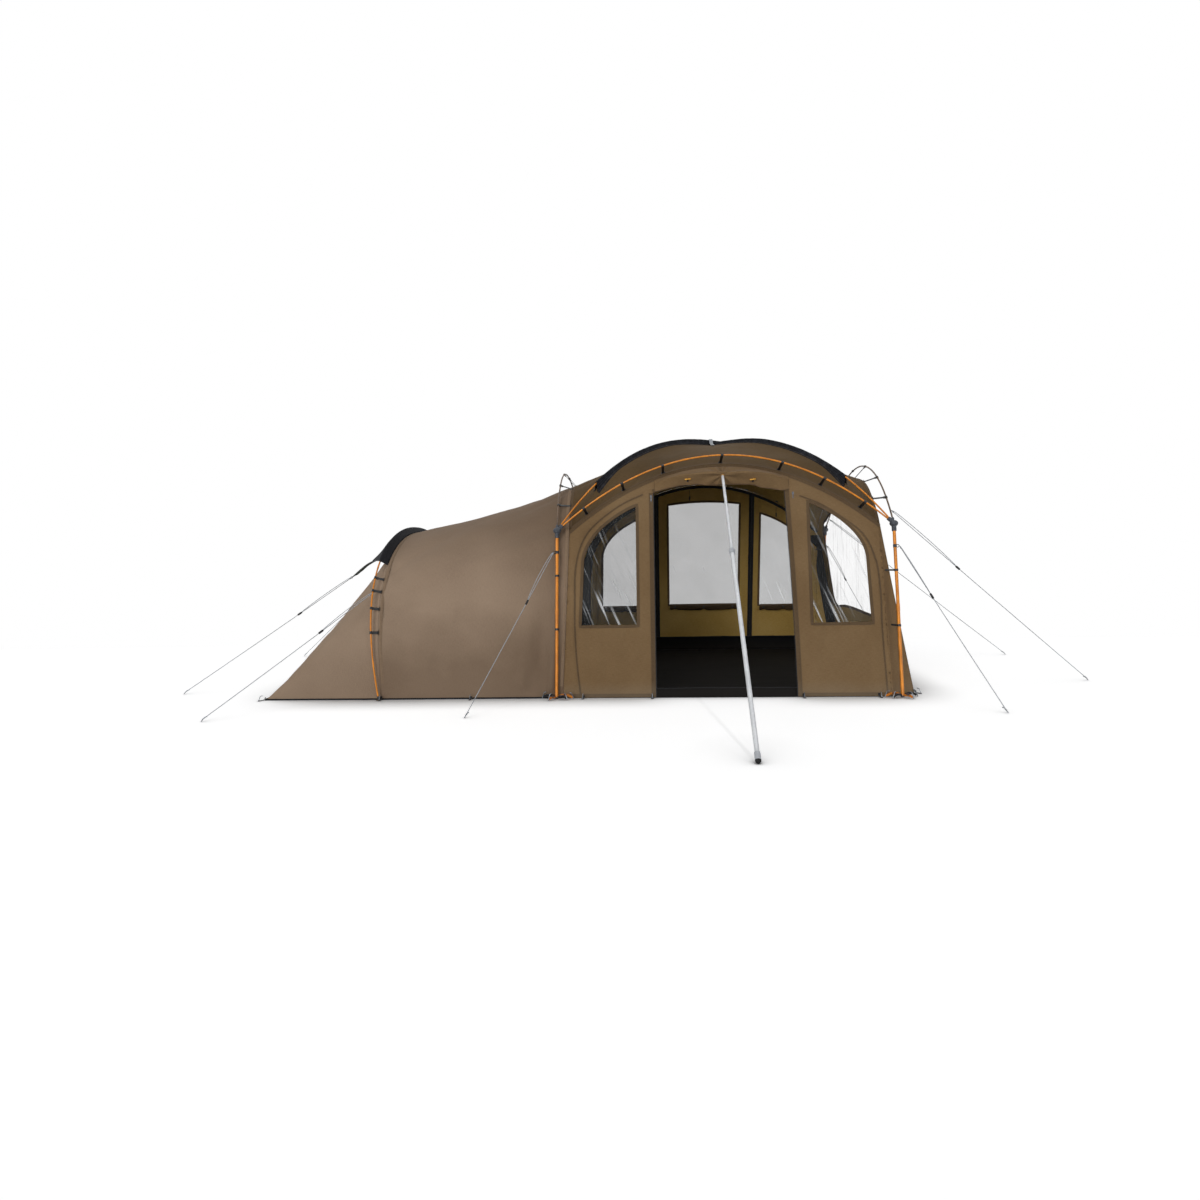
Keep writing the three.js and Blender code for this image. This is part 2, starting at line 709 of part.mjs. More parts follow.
// The rain hood over the hoop's top, drawn out to two tips that its guy lines hold.
function hood() {
  const columns = hoopSteps - 2 * hoodFirst;
  const place = (i, j) => {
    const t = (hoodFirst + i) / hoopSteps;
    const s = (2 * i) / columns - 1;
    if (j === 0) return seamPlace(t, hoodSeamLift);
    if (j === 1) return hoopPlace(t, hoodLift);
    const over = hoopPlace(t, hoodLift);
    const brim = vec(hoodTipX, s * hoodTipY, hoodTipZ + hoodBow * (1 - s * s));
    return over.lerp(brim, (j - 1) / 3);
  };
  return panel(place, columns, 4, fabric);
}

// ---------------------------------------------------------------- floor and inner tent

// Corner points of the floor, seen from above, moved inwards by `inset`, at the height z on the walls.
function floorOutline(inset, z) {
  const lean = (1 - wallY(z) / frontBaseY) * frontBaseY;
  const leanX = ((rightBaseX - shellCornerX) / shellCornerZ) * z;
  const y = frontBaseY - inset - lean;
  return [
    [rightBaseX - inset - leanX, -(rightBaseY - inset - lean)],
    [rightBaseX - inset - leanX, rightBaseY - inset - lean],
    [frontBaseRight - inset, y],
    [seamFootX + 2 * inset, y],
    [seamFootX + 2 * inset, -y],
    [frontBaseRight - inset, -y],
  ];
}

function frustum(low, high, z0, z1) {
  const outline = low.map(([x, y]) => new THREE.Vector2(x, y));
  const lid = THREE.ShapeUtils.triangulateShape(outline, []);
  const count = low.length;
  const points = [];
  low.forEach(([x, y]) => points.push(x, y, z0));
  high.forEach(([x, y]) => points.push(x, y, z1));
  const faces = [];
  for (const [a, b, c] of lid) faces.push(a, c, b, a + count, b + count, c + count);
  for (let i = 0; i < count; i += 1) {
    const n = (i + 1) % count;
    faces.push(i, n, n + count, i, n + count, i + count);
  }
  const geometry = new THREE.BufferGeometry();
  geometry.setAttribute("position", new THREE.Float32BufferAttribute(points, 3));
  geometry.setIndex(faces);
  return geometry;
}

// The groundsheet: a flat sheet under everything, with a tub's rim under the dome and the tunnel.
function groundsheet() {
  const [r, s, f] = [rightBaseX + fabric, rightBaseY + fabric, frontBaseY + fabric];
  const slab = [
    [r, -s], [r, s], [frontBaseRight, f], [frontBaseLeft, f], [seamFootX, seamHalf + fabric],
    [tailX - fabric, tailHalf], [tailX - fabric, -tailHalf], [seamFootX, -seamHalf - fabric],
    [frontBaseLeft, -f], [frontBaseRight, -f],
  ];
  const rim = cut(
    frustum(floorOutline(tubInset, 0), floorOutline(tubInset, tubHeight), 0, tubHeight),
    frustum(
      floorOutline(tubInset + fabric, 0),
      floorOutline(tubInset + fabric, tubHeight + 2),
      floorThickness - 1,
      tubHeight + 2,
    ),
  );
  const notch = new THREE.BoxGeometry(2 * doorHalf - 40, 200, tubHeight);
  notch.translate(0, -frontBaseY, tubHeight / 2 + doorSill - 30);
  return join(frustum(slab, slab, 0, floorThickness), cut(rim, notch));
}

// The sleeping cabin's front wall: a flat panel inside the tunnel's mouth, with a doorway.
function innerWall() {
  const shape = new THREE.Shape();
  const t = (innerWallX + shellCornerX) / (seamFootX + shellCornerX);
  const edge = [];
  for (let i = 0; i <= tunnelCells; i += 1) {
    const point = tunnelStart(i).lerp(seamPlace(i / tunnelCells), t + 0.02);
    const pull = 1 - innerWallInset / hypot(point.y, point.z);
    edge.push(new THREE.Vector2(point.y * pull, max(point.z * pull, tubHeight + 5)));
  }
  const side = wallY(tubHeight) - tubInset - 2 * fabric - 4;
  shape.moveTo(-side, floorThickness + seatGap);
  shape.lineTo(-side, tubHeight + 3);
  edge.slice(1, -1).forEach((p) => shape.lineTo(p.x, p.y));
  shape.lineTo(side, tubHeight + 3);
  shape.lineTo(side, floorThickness + seatGap);
  shape.closePath();
  const door = archedOutline(innerDoorHalf, tubHeight + 30, innerDoorTop - innerDoorCrown, innerDoorTop);
  const upright = (outline, depth) =>
    new THREE.ExtrudeGeometry(outline, { depth, bevelEnabled: false, curveSegments: 6 })
      .rotateX(PI / 2)
      .rotateZ(PI / 2)
      .translate(innerWallX - depth / 2, 0, 0);
  return cut(upright(shape, fabric), upright(door, 10 * fabric));
}

// The inner mesh curtain of the side window, gathered at the rear and tied.
function curtain() {
  const columns = 8;
  const rows = 6;
  const place = (front) => (i, j) => {
    const z = lerp(curtainLow, curtainHigh, j / rows);
    const waist = 1 - 0.45 * Math.exp(-pow((z - curtainTie) / curtainTieReach, 2));
    const s = (2 * i) / columns - 1;
    const y = curtainMiddle + s * curtainHalf * waist - curtainTilt * (z / curtainHigh);
    const wall = lerp(rightBaseX, shellCornerX, z / shellCornerZ) + curtainBelly;
    const belly = curtainBelly * sqrt(max(0, 1 - s * s)) + curtainFold * cos(i * PI);
    return vec(wall - front * waist * (curtainDepth + belly), y, z);
  };
  const reach = 2 * (curtainDepth + curtainBelly + curtainFold);
  const inside = rightSheet(reach, -reach - seatGap);
  return common(between(place(1), place(0), columns, rows), inside);
}

// ---------------------------------------------------------------- canopy, awning pole, zips

const poleTop = vec(0, poleTopY, poleTopZ);
const footCentre = vec(0, poleFootY, footRadius);
const poleWay = poleTop.clone().sub(footCentre).normalize(); // from the foot to the grommet
const poleLength = poleTop.distanceTo(footCentre);

// The flap over the door that the awning pole holds out: a slope down to the ridge, then a short fall
// that faces the pole and takes its spike through a grommet.
function canopy() {
  const columns = 10;
  const rows = 6;
  const fallEnd = poleTop.clone().addScaledVector(vec(0, poleWay.z, -poleWay.y), canopyFallReach);
  const ridgePoint = poleTop.clone().addScaledVector(vec(0, -poleWay.z, poleWay.y), canopyRidgeReach);
  const place = (i, j) => {
    const s = (2 * i) / columns - 1;
    const x = s * canopyHalf;
    const top = frontSeam(x / shellCornerX) - canopySeamDrop;
    const near = (z) => -wallY(z) - fabric - seatGap;
    const out = pow(1 - s * s, 0.8);
    const side = doorSideTop + 6;
    const ridgeZ = lerp(lerp(side, top, 0.55), ridgePoint.z, out);
    const hemZ = lerp(side, fallEnd.z, out);
    if (j <= 3) {
      const z = lerp(top, ridgeZ, j / 3);
      return vec(x, near(z) + lerp(0, ridgePoint.y - near(ridgePoint.z), out) * pow(j / 3, 1.1), z);
    }
    const k = (j - 3) / (rows - 3);
    const start = lerp(near(ridgeZ), ridgePoint.y, out);
    const end = lerp(near(hemZ), fallEnd.y, out);
    return vec(x, lerp(start, end, k), lerp(ridgeZ, hemZ, k));
  };
  const sheet = panel((i, j) => place(columns - i, j), columns, rows, fabric);
  const hole = straight(
    poleTop.clone().addScaledVector(poleWay, -20),
    poleTop.clone().addScaledVector(poleWay, 20),
    grommetHole,
    12,
  );
  return cut(sheet, hole);
}

// Distances along the pole are measured from the grommet down to the foot.
const downPole = poleWay.clone().negate();

function upperTube() {
  const shoulder = 16;
  const bottom = upperTubeShown + upperTubeHidden;
  const profile = [
    [-spikeLength, 0], [-spikeLength + 3, spikeRadius - 1.5], [-spikeLength + 8, spikeRadius],
    [4, spikeRadius], [shoulder, upperTubeRadius - 2], [shoulder + 3, upperTubeRadius],
    [bottom, upperTubeRadius], [bottom, 0],
  ];
  return turned(profile, poleTop, downPole);
}

function lowerTube() {
  const bore = upperTubeRadius + 0.5;
  const mouth = upperTubeShown;
  const end = poleLength - 6;
  const depth = upperTubeShown + upperTubeHidden + poleTravel + 20;
  const profile = [
    [mouth, bore], [mouth, lowerTubeRadius], [end, lowerTubeRadius], [end, 0],
    [depth, 0], [depth, lowerTubeRadius - lowerTubeWall], [mouth + 40, lowerTubeRadius - lowerTubeWall],
    [mouth + 40, bore], [mouth, bore],
  ];
  return turned(profile, poleTop, downPole);
}

// The twist collar that locks the two tubes, with its grip ribs.
function clampCollar() {
  const [start, lip, length] = [upperTubeShown - 16, 16 - seatGap, 46];
  const facetRoom = 1 / cos(PI / 12);
  const neck = (upperTubeRadius + seatGap) * facetRoom;
  const inner = (lowerTubeRadius + seatGap) * facetRoom;
  const outer = lowerTubeRadius + 5;
  const profile = [
    [start, neck], [start, outer - 2.5], [start + 6, outer], [start + length, outer],
    [start + length, inner], [start + lip, inner], [start + lip, neck], [start, neck],
  ];
  const ring = turned(profile, poleTop, downPole);
  const side = vec(1, 0, 0);
  const ribs = [0, 1, 2, 3, 4, 5].map((k) => {
    const way = side.clone().applyAxisAngle(downPole, (k * PI) / 3);
    const middle = poleTop.clone().addScaledVector(downPole, start + 24).addScaledVector(way, outer);
    return block([3, 4, 30], middle, way, downPole);
  });
  return join(ring, ...ribs);
}

function poleFoot() {
  const inner = lowerTubeRadius + seatGap;
  const end = poleLength - 6;
  const profile = [
    [end - 46, inner], [end - 46, footRadius - 1], [end - 40, footRadius], [poleLength, footRadius],
  ];
  for (let k = 1; k < 4; k += 1) {
    const angle = (k * PI) / 8;
    profile.push([poleLength + footRadius * sin(angle), footRadius * cos(angle)]);
  }
  profile.push([poleLength + footRadius, 0], [end + seatGap, 0], [end + seatGap, inner], [end - 46, inner]);
  return turned(profile, poleTop, downPole);
}

const zipWay = vec(0, shellCornerY - frontBaseY, -shellCornerZ).normalize(); // down the door's edge

function zipSlider(side) {
  const out = vec(0, zipWay.z, -zipWay.y);
  const lift = fabric + seatGap + zipDepth / 2;
  const middle = vec(side * (doorHalf + zipWidth / 2 + 4), -wallY(zipTop), zipTop).addScaledVector(out, lift);
  const body = block([zipWidth, zipDepth, zipHeight * 0.55], middle, vec(1, 0, 0), zipWay);
  const tagAt = middle.clone().addScaledVector(zipWay, zipHeight * 0.5).addScaledVector(out, 1);
  const tag = block([7, 2.5, zipHeight], tagAt, vec(1, 0, 0), zipWay);
  return join(body, tag);
}

// ---------------------------------------------------------------- guy lines

const mirrored = (point, sx, sy) => point.clone().multiply(vec(sx, sy, 1));

const legEye = hubCentre
  .clone()
  .addScaledVector(legWay, (hubZ - guyEyeHeight) / -legWay.z)
  .addScaledVector(vec(1, 1, 0).normalize(), legRadius + 2 * eyeRing + eyeWire + 0.5);
const sideGuyShare = 0.9;
const sideEye = sideArchPlace(sideGuyShare).add(vec(poleRadius + 1.4, 0, 0));
const hoopGuyShare = 0.165;
const hoopEye = hoopPlace(hoopGuyShare).add(vec(-4.6, -4.6, 0));
const hoodEye = vec(hoodTipX - 0.9, -hoodTipY, hoodTipZ);

const guys = [
  { name: "front_left", from: mirrored(legEye, -1, -1), to: vec(-leftPegX, -leftPegY, 0) },
  { name: "front_right", from: mirrored(legEye, 1, -1), to: vec(frontRightPegX, -frontRightPegY, 0) },
  { name: "rear_left", from: mirrored(legEye, -1, 1), to: vec(-leftPegX, leftPegY, 0) },
  { name: "rear_right", from: mirrored(legEye, 1, 1), to: vec(rearRightPegX, rearRightPegY, 0) },
  { name: "side_front", from: mirrored(sideEye, 1, -1), to: vec(sidePegX, -sidePegY, 0) },
  { name: "side_rear", from: sideEye, to: vec(sidePegX, sidePegY, 0) },
  { name: "hoop_front", from: hoopEye, to: vec(-hoopPegX, -hoopPegY, 0) },
  { name: "hoop_rear", from: mirrored(hoopEye, 1, -1), to: vec(-hoopPegX, hoopPegY, 0) },
  { name: "hood_front", from: hoodEye, to: vec(-hoodPegX, -hoodPegY, 0) },
  { name: "hood_rear", from: mirrored(hoodEye, 1, -1), to: vec(-hoodPegX, hoodPegY, 0) },
];

// A taut line with its peg: the peg leans away from the tent and its hook holds the line's loop.
function guyLine({ from, to }) {
  const way = to.clone().sub(from).normalize();
  const flat = vec(way.x, way.y, 0).normalize();
  const peg = flat.clone().add(vec(0, 0, -1.1)).normalize().negate();
  const shift = vec(flat.x, flat.y, 0).multiplyScalar(6);
  const bend = to.clone().add(shift).addScaledVector(peg, pegLength * 0.55);
  const bottom = to.clone().add(shift).addScaledVector(peg, -10);
  const hookEnd = bend.clone().addScaledVector(flat, -16);
  const pegRod = rod([bottom, bend, hookEnd], pegRadius, vec(flat.y, -flat.x, 0), 6);
  const tied = to.clone().add(shift).addScaledVector(peg, pegLength * 0.4);
  const line = straight(from, tied, guyRadius, 6);
  return cut(join(line, pegRod), groundBelow(to));
}

// The line runner: a small plastic grip with the line through it.
function runner({ from, to }) {
  const flat = vec(to.x - from.x, to.y - from.y, 0).normalize();
  const peg = flat.clone().add(vec(0, 0, -1.1)).normalize().negate();
  const tied = to.clone().addScaledVector(flat, 6).addScaledVector(peg, pegLength * 0.4);
  const way = tied.clone().sub(from).normalize();
  const middle = from.clone().lerp(tied, runnerPlace);
  const half = runnerLength / 2;
  const body = turned(
    [[-half, 0], [-half, runnerRadius], [half, runnerRadius], [half, 0]],
    middle, way, 6,
  );
  const bore = straight(
    middle.clone().addScaledVector(way, -runnerLength),
    middle.clone().addScaledVector(way, runnerLength),
    guyRadius + seatGap,
    6,
  );
  return cut(body, bore);
}

// ---------------------------------------------------------------- materials and assembly

const finish = (color, roughness, metalness = 0) => ({ color, roughness, metalness });
const finishes = {
  canvas: finish(0x7d6b55, 0.9),
  black_canvas: finish(0x15151a, 0.85),
  inner_cloth: finish(0x2a241e, 0.9),
  groundsheet: finish(0x121216, 0.7),
  clear_film: finish(0xdfe3e6, 0.15),
  orange_pole: finish(0xe88f28, 0.4, 0.3),
  grey_pole: finish(0x6b6660, 0.4, 0.6),
  hub_grey: finish(0x707888, 0.6),
  alloy: finish(0xd8dadf, 0.35, 0.8),
  black_plastic: finish(0x1a1a1c, 0.55),
  rubber: finish(0x202022, 0.85),
  zip_metal: finish(0xb9bcc2, 0.3, 0.9),
  guy_cord: finish(0xb9bdc0, 0.7),
};

const tent = new THREE.Group();

function add(name, geometry, finishName, sx = 1, sy = 1) {
  const mesh = new THREE.Mesh(geometry, new THREE.MeshStandardMaterial(finishes[finishName]));
  mesh.name = name;
  mesh.scale.set(sx, sy, 1);
  tent.add(mesh);
}

const corners = [["front_left", -1, -1], ["front_right", 1, -1], ["rear_left", -1, 1], ["rear_right", 1, 1]];

const legShape = leg();
const hubShape = hub();
for (const [place, sx, sy] of corners) {
  add("leg_" + place, legShape, "orange_pole", sx, sy);
  add("hub_" + place, hubShape, "hub_grey", sx, sy);
}

const frontArchShape = frontArch();
add("arch_front", frontArchShape, "orange_pole");
add("arch_rear", frontArchShape, "orange_pole", 1, -1);
const sideArchShape = sideArch();
add("arch_right", sideArchShape, "grey_pole");
add("arch_left", sideArchShape, "grey_pole", -1, 1);
add("diagonal_upper", diagonal(0), "orange_pole");
add("diagonal_lower", diagonal(crossingDrop), "orange_pole", -1, 1);
add("sleeve_upper", sleeve(0), "black_canvas");
add("sleeve_lower", sleeve(crossingDrop), "black_canvas", -1, 1);
add("hoop_rear", hoop(), "orange_pole");

add("roof", roof(), "canvas");
add("wall_front", frontWall(), "canvas");
add("wall_rear", rearWall(), "canvas", 1, -1);
add("wall_right", rightWall(), "canvas");
add("tunnel", tunnel(), "canvas");
add("tail", tail(), "canvas");
add("hood", hood(), "black_canvas");
add("groundsheet", groundsheet(), "groundsheet");
add("inner_wall", innerWall(), "inner_cloth");
add("curtain", curtain(), "inner_cloth");

for (const side of ["left", "right"]) add("window_front_" + side, wallPane("front_" + side), "clear_film");
for (const part of ["left", "middle", "right"]) {
  add("window_rear_" + part, wallPane("rear_" + part), "clear_film", 1, -1);
}
add("window_side", rightPane(), "clear_film");

add("door_canopy", canopy(), "canvas");
add("awning_pole_upper", upperTube(), "alloy");
add("awning_pole_lower", lowerTube(), "alloy");
add("awning_pole_collar", clampCollar(), "black_plastic");
add("awning_pole_foot", poleFoot(), "rubber");
add("zip_left", zipSlider(-1), "zip_metal");
add("zip_right", zipSlider(1), "zip_metal");

for (const guy of guys) {
  add("guy_" + guy.name, guyLine(guy), "guy_cord");
  add("runner_" + guy.name, runner(guy), "black_plastic");
}

export default tent;
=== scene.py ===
"""A family tent on poles: cloth, frame, door, guy lines and pegs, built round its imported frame."""

import logging
import math
from collections.abc import Callable, Iterable, Sequence
from dataclasses import dataclass, field
from enum import Enum

import bmesh
import bpy
import numpy as np
from mathutils import Matrix, Vector, noise
from mathutils.geometry import delaunay_2d_cdt

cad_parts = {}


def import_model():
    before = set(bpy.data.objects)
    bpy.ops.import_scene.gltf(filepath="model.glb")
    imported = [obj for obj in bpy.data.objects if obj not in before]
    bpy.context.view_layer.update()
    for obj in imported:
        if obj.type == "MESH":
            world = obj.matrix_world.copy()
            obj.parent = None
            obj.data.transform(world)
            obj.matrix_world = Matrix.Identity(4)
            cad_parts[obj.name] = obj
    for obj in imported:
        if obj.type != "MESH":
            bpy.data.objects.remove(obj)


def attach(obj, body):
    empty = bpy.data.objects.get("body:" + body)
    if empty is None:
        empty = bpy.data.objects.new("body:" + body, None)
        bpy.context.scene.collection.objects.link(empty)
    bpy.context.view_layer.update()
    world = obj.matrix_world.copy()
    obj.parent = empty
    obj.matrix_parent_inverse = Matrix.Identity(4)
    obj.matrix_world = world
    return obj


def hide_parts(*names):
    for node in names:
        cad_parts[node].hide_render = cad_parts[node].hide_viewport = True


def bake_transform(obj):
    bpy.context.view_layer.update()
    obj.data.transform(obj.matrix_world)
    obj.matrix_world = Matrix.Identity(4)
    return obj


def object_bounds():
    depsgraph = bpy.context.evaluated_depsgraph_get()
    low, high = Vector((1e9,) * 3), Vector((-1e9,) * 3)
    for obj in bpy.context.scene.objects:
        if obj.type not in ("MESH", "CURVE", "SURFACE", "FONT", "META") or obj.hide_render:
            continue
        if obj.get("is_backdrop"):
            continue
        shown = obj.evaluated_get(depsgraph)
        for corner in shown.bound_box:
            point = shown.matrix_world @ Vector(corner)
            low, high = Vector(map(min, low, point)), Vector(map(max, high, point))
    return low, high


log = logging.getLogger("tent")

Array = np.ndarray
Point = Sequence[float]
Faces = list[tuple[int, ...]]
Object = bpy.types.Object
Socket = bpy.types.NodeSocket

FRONT, REAR = -1.0, 1.0
LEFT, RIGHT = -1.0, 1.0
CANVAS_THICKNESS = 0.0018
TAPE_LIFT = CANVAS_THICKNESS + 0.0004
STITCH_RISE = 0.0022
STITCH_LIFT = CANVAS_THICKNESS + STITCH_RISE
FELL_LIFT = CANVAS_THICKNESS + 0.0026
WHITE = (1.0, 1.0, 1.0, 1.0)
X_WAY, Y_WAY, Z_WAY = np.eye(3)


# ---------------------------------------------------------------- numbers and directions


def lerp(a: float | Array, b: float | Array, t: float | Array) -> float | Array:
    """Return the value a share t of the way from a to b."""
    return a + (b - a) * t


def smoothstep(x: float | Array, low: float, high: float) -> float | Array:
    """Return 0 below low, 1 above high, and a smooth rise between them."""
    t = np.clip((np.asarray(x, float) - low) / (high - low), 0.0, 1.0)
    return t * t * (3.0 - 2.0 * t)


def bell(x: float | Array, middle: float, width: float) -> float | Array:
    """Return a smooth hump that is 1 at its middle."""
    return np.exp(-(((x - middle) / width) ** 2))


def vec(*parts: float) -> Array:
    """Return a point or a direction."""
    return np.array(parts, float)


def unit(v: Array) -> Array:
    """Return v, or each row of v, at length one."""
    return v / np.maximum(np.linalg.norm(v, axis=-1, keepdims=True), 1e-12)


def stack(x: float | Array, y: float | Array, z: float | Array) -> Array:
    """Return points whose coordinates are the three given values, broadcast together."""
    return np.stack(np.broadcast_arrays(*(np.asarray(part, float) for part in (x, y, z))), -1)


def mirrored(points: Array, x: float = 1.0, y: float = 1.0) -> Array:
    """Return points with their x and y multiplied by the given signs."""
    return np.asarray(points, float) * (x, y, 1.0)


def circle(middle: Array, a: Point, b: Point, count: int = 17) -> Array:
    """Return points of a closed ring round its middle, with a and b as the arms to its first two quarters."""
    turn = np.linspace(0, 2 * math.pi, count)[:, None]
    return middle + np.cos(turn) * a + np.sin(turn) * b


def run_of(path: Array) -> float:
    """Return the length of a path."""
    return float(np.linalg.norm(np.diff(path, axis=0), axis=-1).sum())


def waves(points: Array, scale: float, seed: float, octaves: int = 3) -> Array:
    """Return smooth noise between about -1 and 1 for each point.

    Args:
        points: Rows of x, y, z in metres.
        scale: Size of the largest wave, in metres.
        seed: Offset that picks one field of noise.
        octaves: How many finer layers are added.

    Returns:
        One value for each point.
    """
    flat = points.reshape(-1, 3) / scale + seed
    out = [noise.fractal(Vector(p), 0.7, 2.1, octaves, noise_basis="PERLIN_ORIGINAL") for p in flat]
    return np.array(out).reshape(points.shape[:-1])


def crease(points: Array, start: Point, end: Point, width: float, depth: float) -> Array:
    """Return the push of one soft fold that fades towards its end.

    Args:
        points: Rows of coordinates.
        start: Where the fold is deepest.
        end: Where it has faded away.
        width: Half width of the fold at its start.
        depth: Its depth; negative for a ridge.

    Returns:
        A distance for each point.
    """
    a = np.asarray(start, float)
    way = np.asarray(end, float) - a
    t = np.clip(((points - a) @ way) / (way @ way), -0.05, 1.0)
    gap = np.linalg.norm(points - (a + t[..., None] * way), axis=-1)
    fade = np.clip(1.0 - t, 0, 1) * np.clip(1.0 + 20.0 * t, 0, 1)
    return -depth * fade * bell(gap, 0.0, width * (1.0 + 1.6 * np.abs(t)))


def creased(points: Array, rows: Iterable[tuple[Point, Point, float, float]], push: Array) -> Array:
    """Return the push with the folds of all the rows added: each one's start, end, half width and depth.

    Args:
        points: Flat points.
        rows: The folds.
        push: Their push so far.

    Returns:
        The push.
    """
    for row in rows:
        push = push + crease(points, *row)
    return push


# ---------------------------------------------------------------- meshes


def linked(obj: Object) -> Object:
    """Put an object into the scene."""
    bpy.context.scene.collection.objects.link(obj)
    return obj


def piece(name: str, points: Array, faces: Iterable[Sequence[int]], uv: Array | None = None) -> Object:
    """Make a smooth-shaded mesh object at the origin.

    Args:
        name: Name of the object and its mesh.
        points: Rows of x, y, z in metres.
        faces: Corner numbers of each face.
        uv: One row of u, v for each point, in metres of cloth.

    Returns:
        The linked object.
    """
    mesh = bpy.data.meshes.new(name)
    mesh.from_pydata(np.asarray(points, float).reshape(-1, 3).tolist(), [], [tuple(f) for f in faces])
    if uv is not None:
        corner = np.zeros(len(mesh.loops), np.int32)
        mesh.loops.foreach_get("vertex_index", corner)
        mesh.uv_layers.new(name="cloth").data.foreach_set("uv", np.asarray(uv, np.float32)[corner].ravel())
    mesh.shade_smooth()
    return linked(bpy.data.objects.new(name, mesh))


def grid_faces(rows: int, columns: int, start: int = 0, closed: bool = False) -> Faces:
    """Return the quads of a grid of points that is stored row after row.

    Args:
        rows: Number of rows of points.
        columns: Number of points in each row.
        start: Number of the first point.
        closed: Whether each row's last point joins its first.

    Returns:
        Corner numbers of each quad.
    """
    pairs = [(i, (i + 1) % columns) for i in range(columns if closed else columns - 1)]
    lines = [start + j * columns for j in range(rows - 1)]
    return [(a + i, a + k, a + columns + k, a + columns + i) for a in lines for i, k in pairs]


def grid_uv(grid: Array) -> Array:
    """Return u, v for a grid of points, measured along its middle row and middle column.

    Args:
        grid: Rows of points.

    Returns:
        u and v of each point, in metres.
    """
    runs = [np.r_[0, np.cumsum(np.linalg.norm(np.diff(line, axis=0), axis=-1))]
            for line in (grid[grid.shape[0] // 2], grid[:, grid.shape[1] // 2])]
    return np.stack(np.meshgrid(*runs), -1).reshape(-1, 2)


def grid_normals(grid: Array) -> Array:
    """Return the unit normals of a grid of points: the row's way crossed with the column's."""
    return unit(np.cross(np.gradient(grid, axis=1), np.gradient(grid, axis=0)))


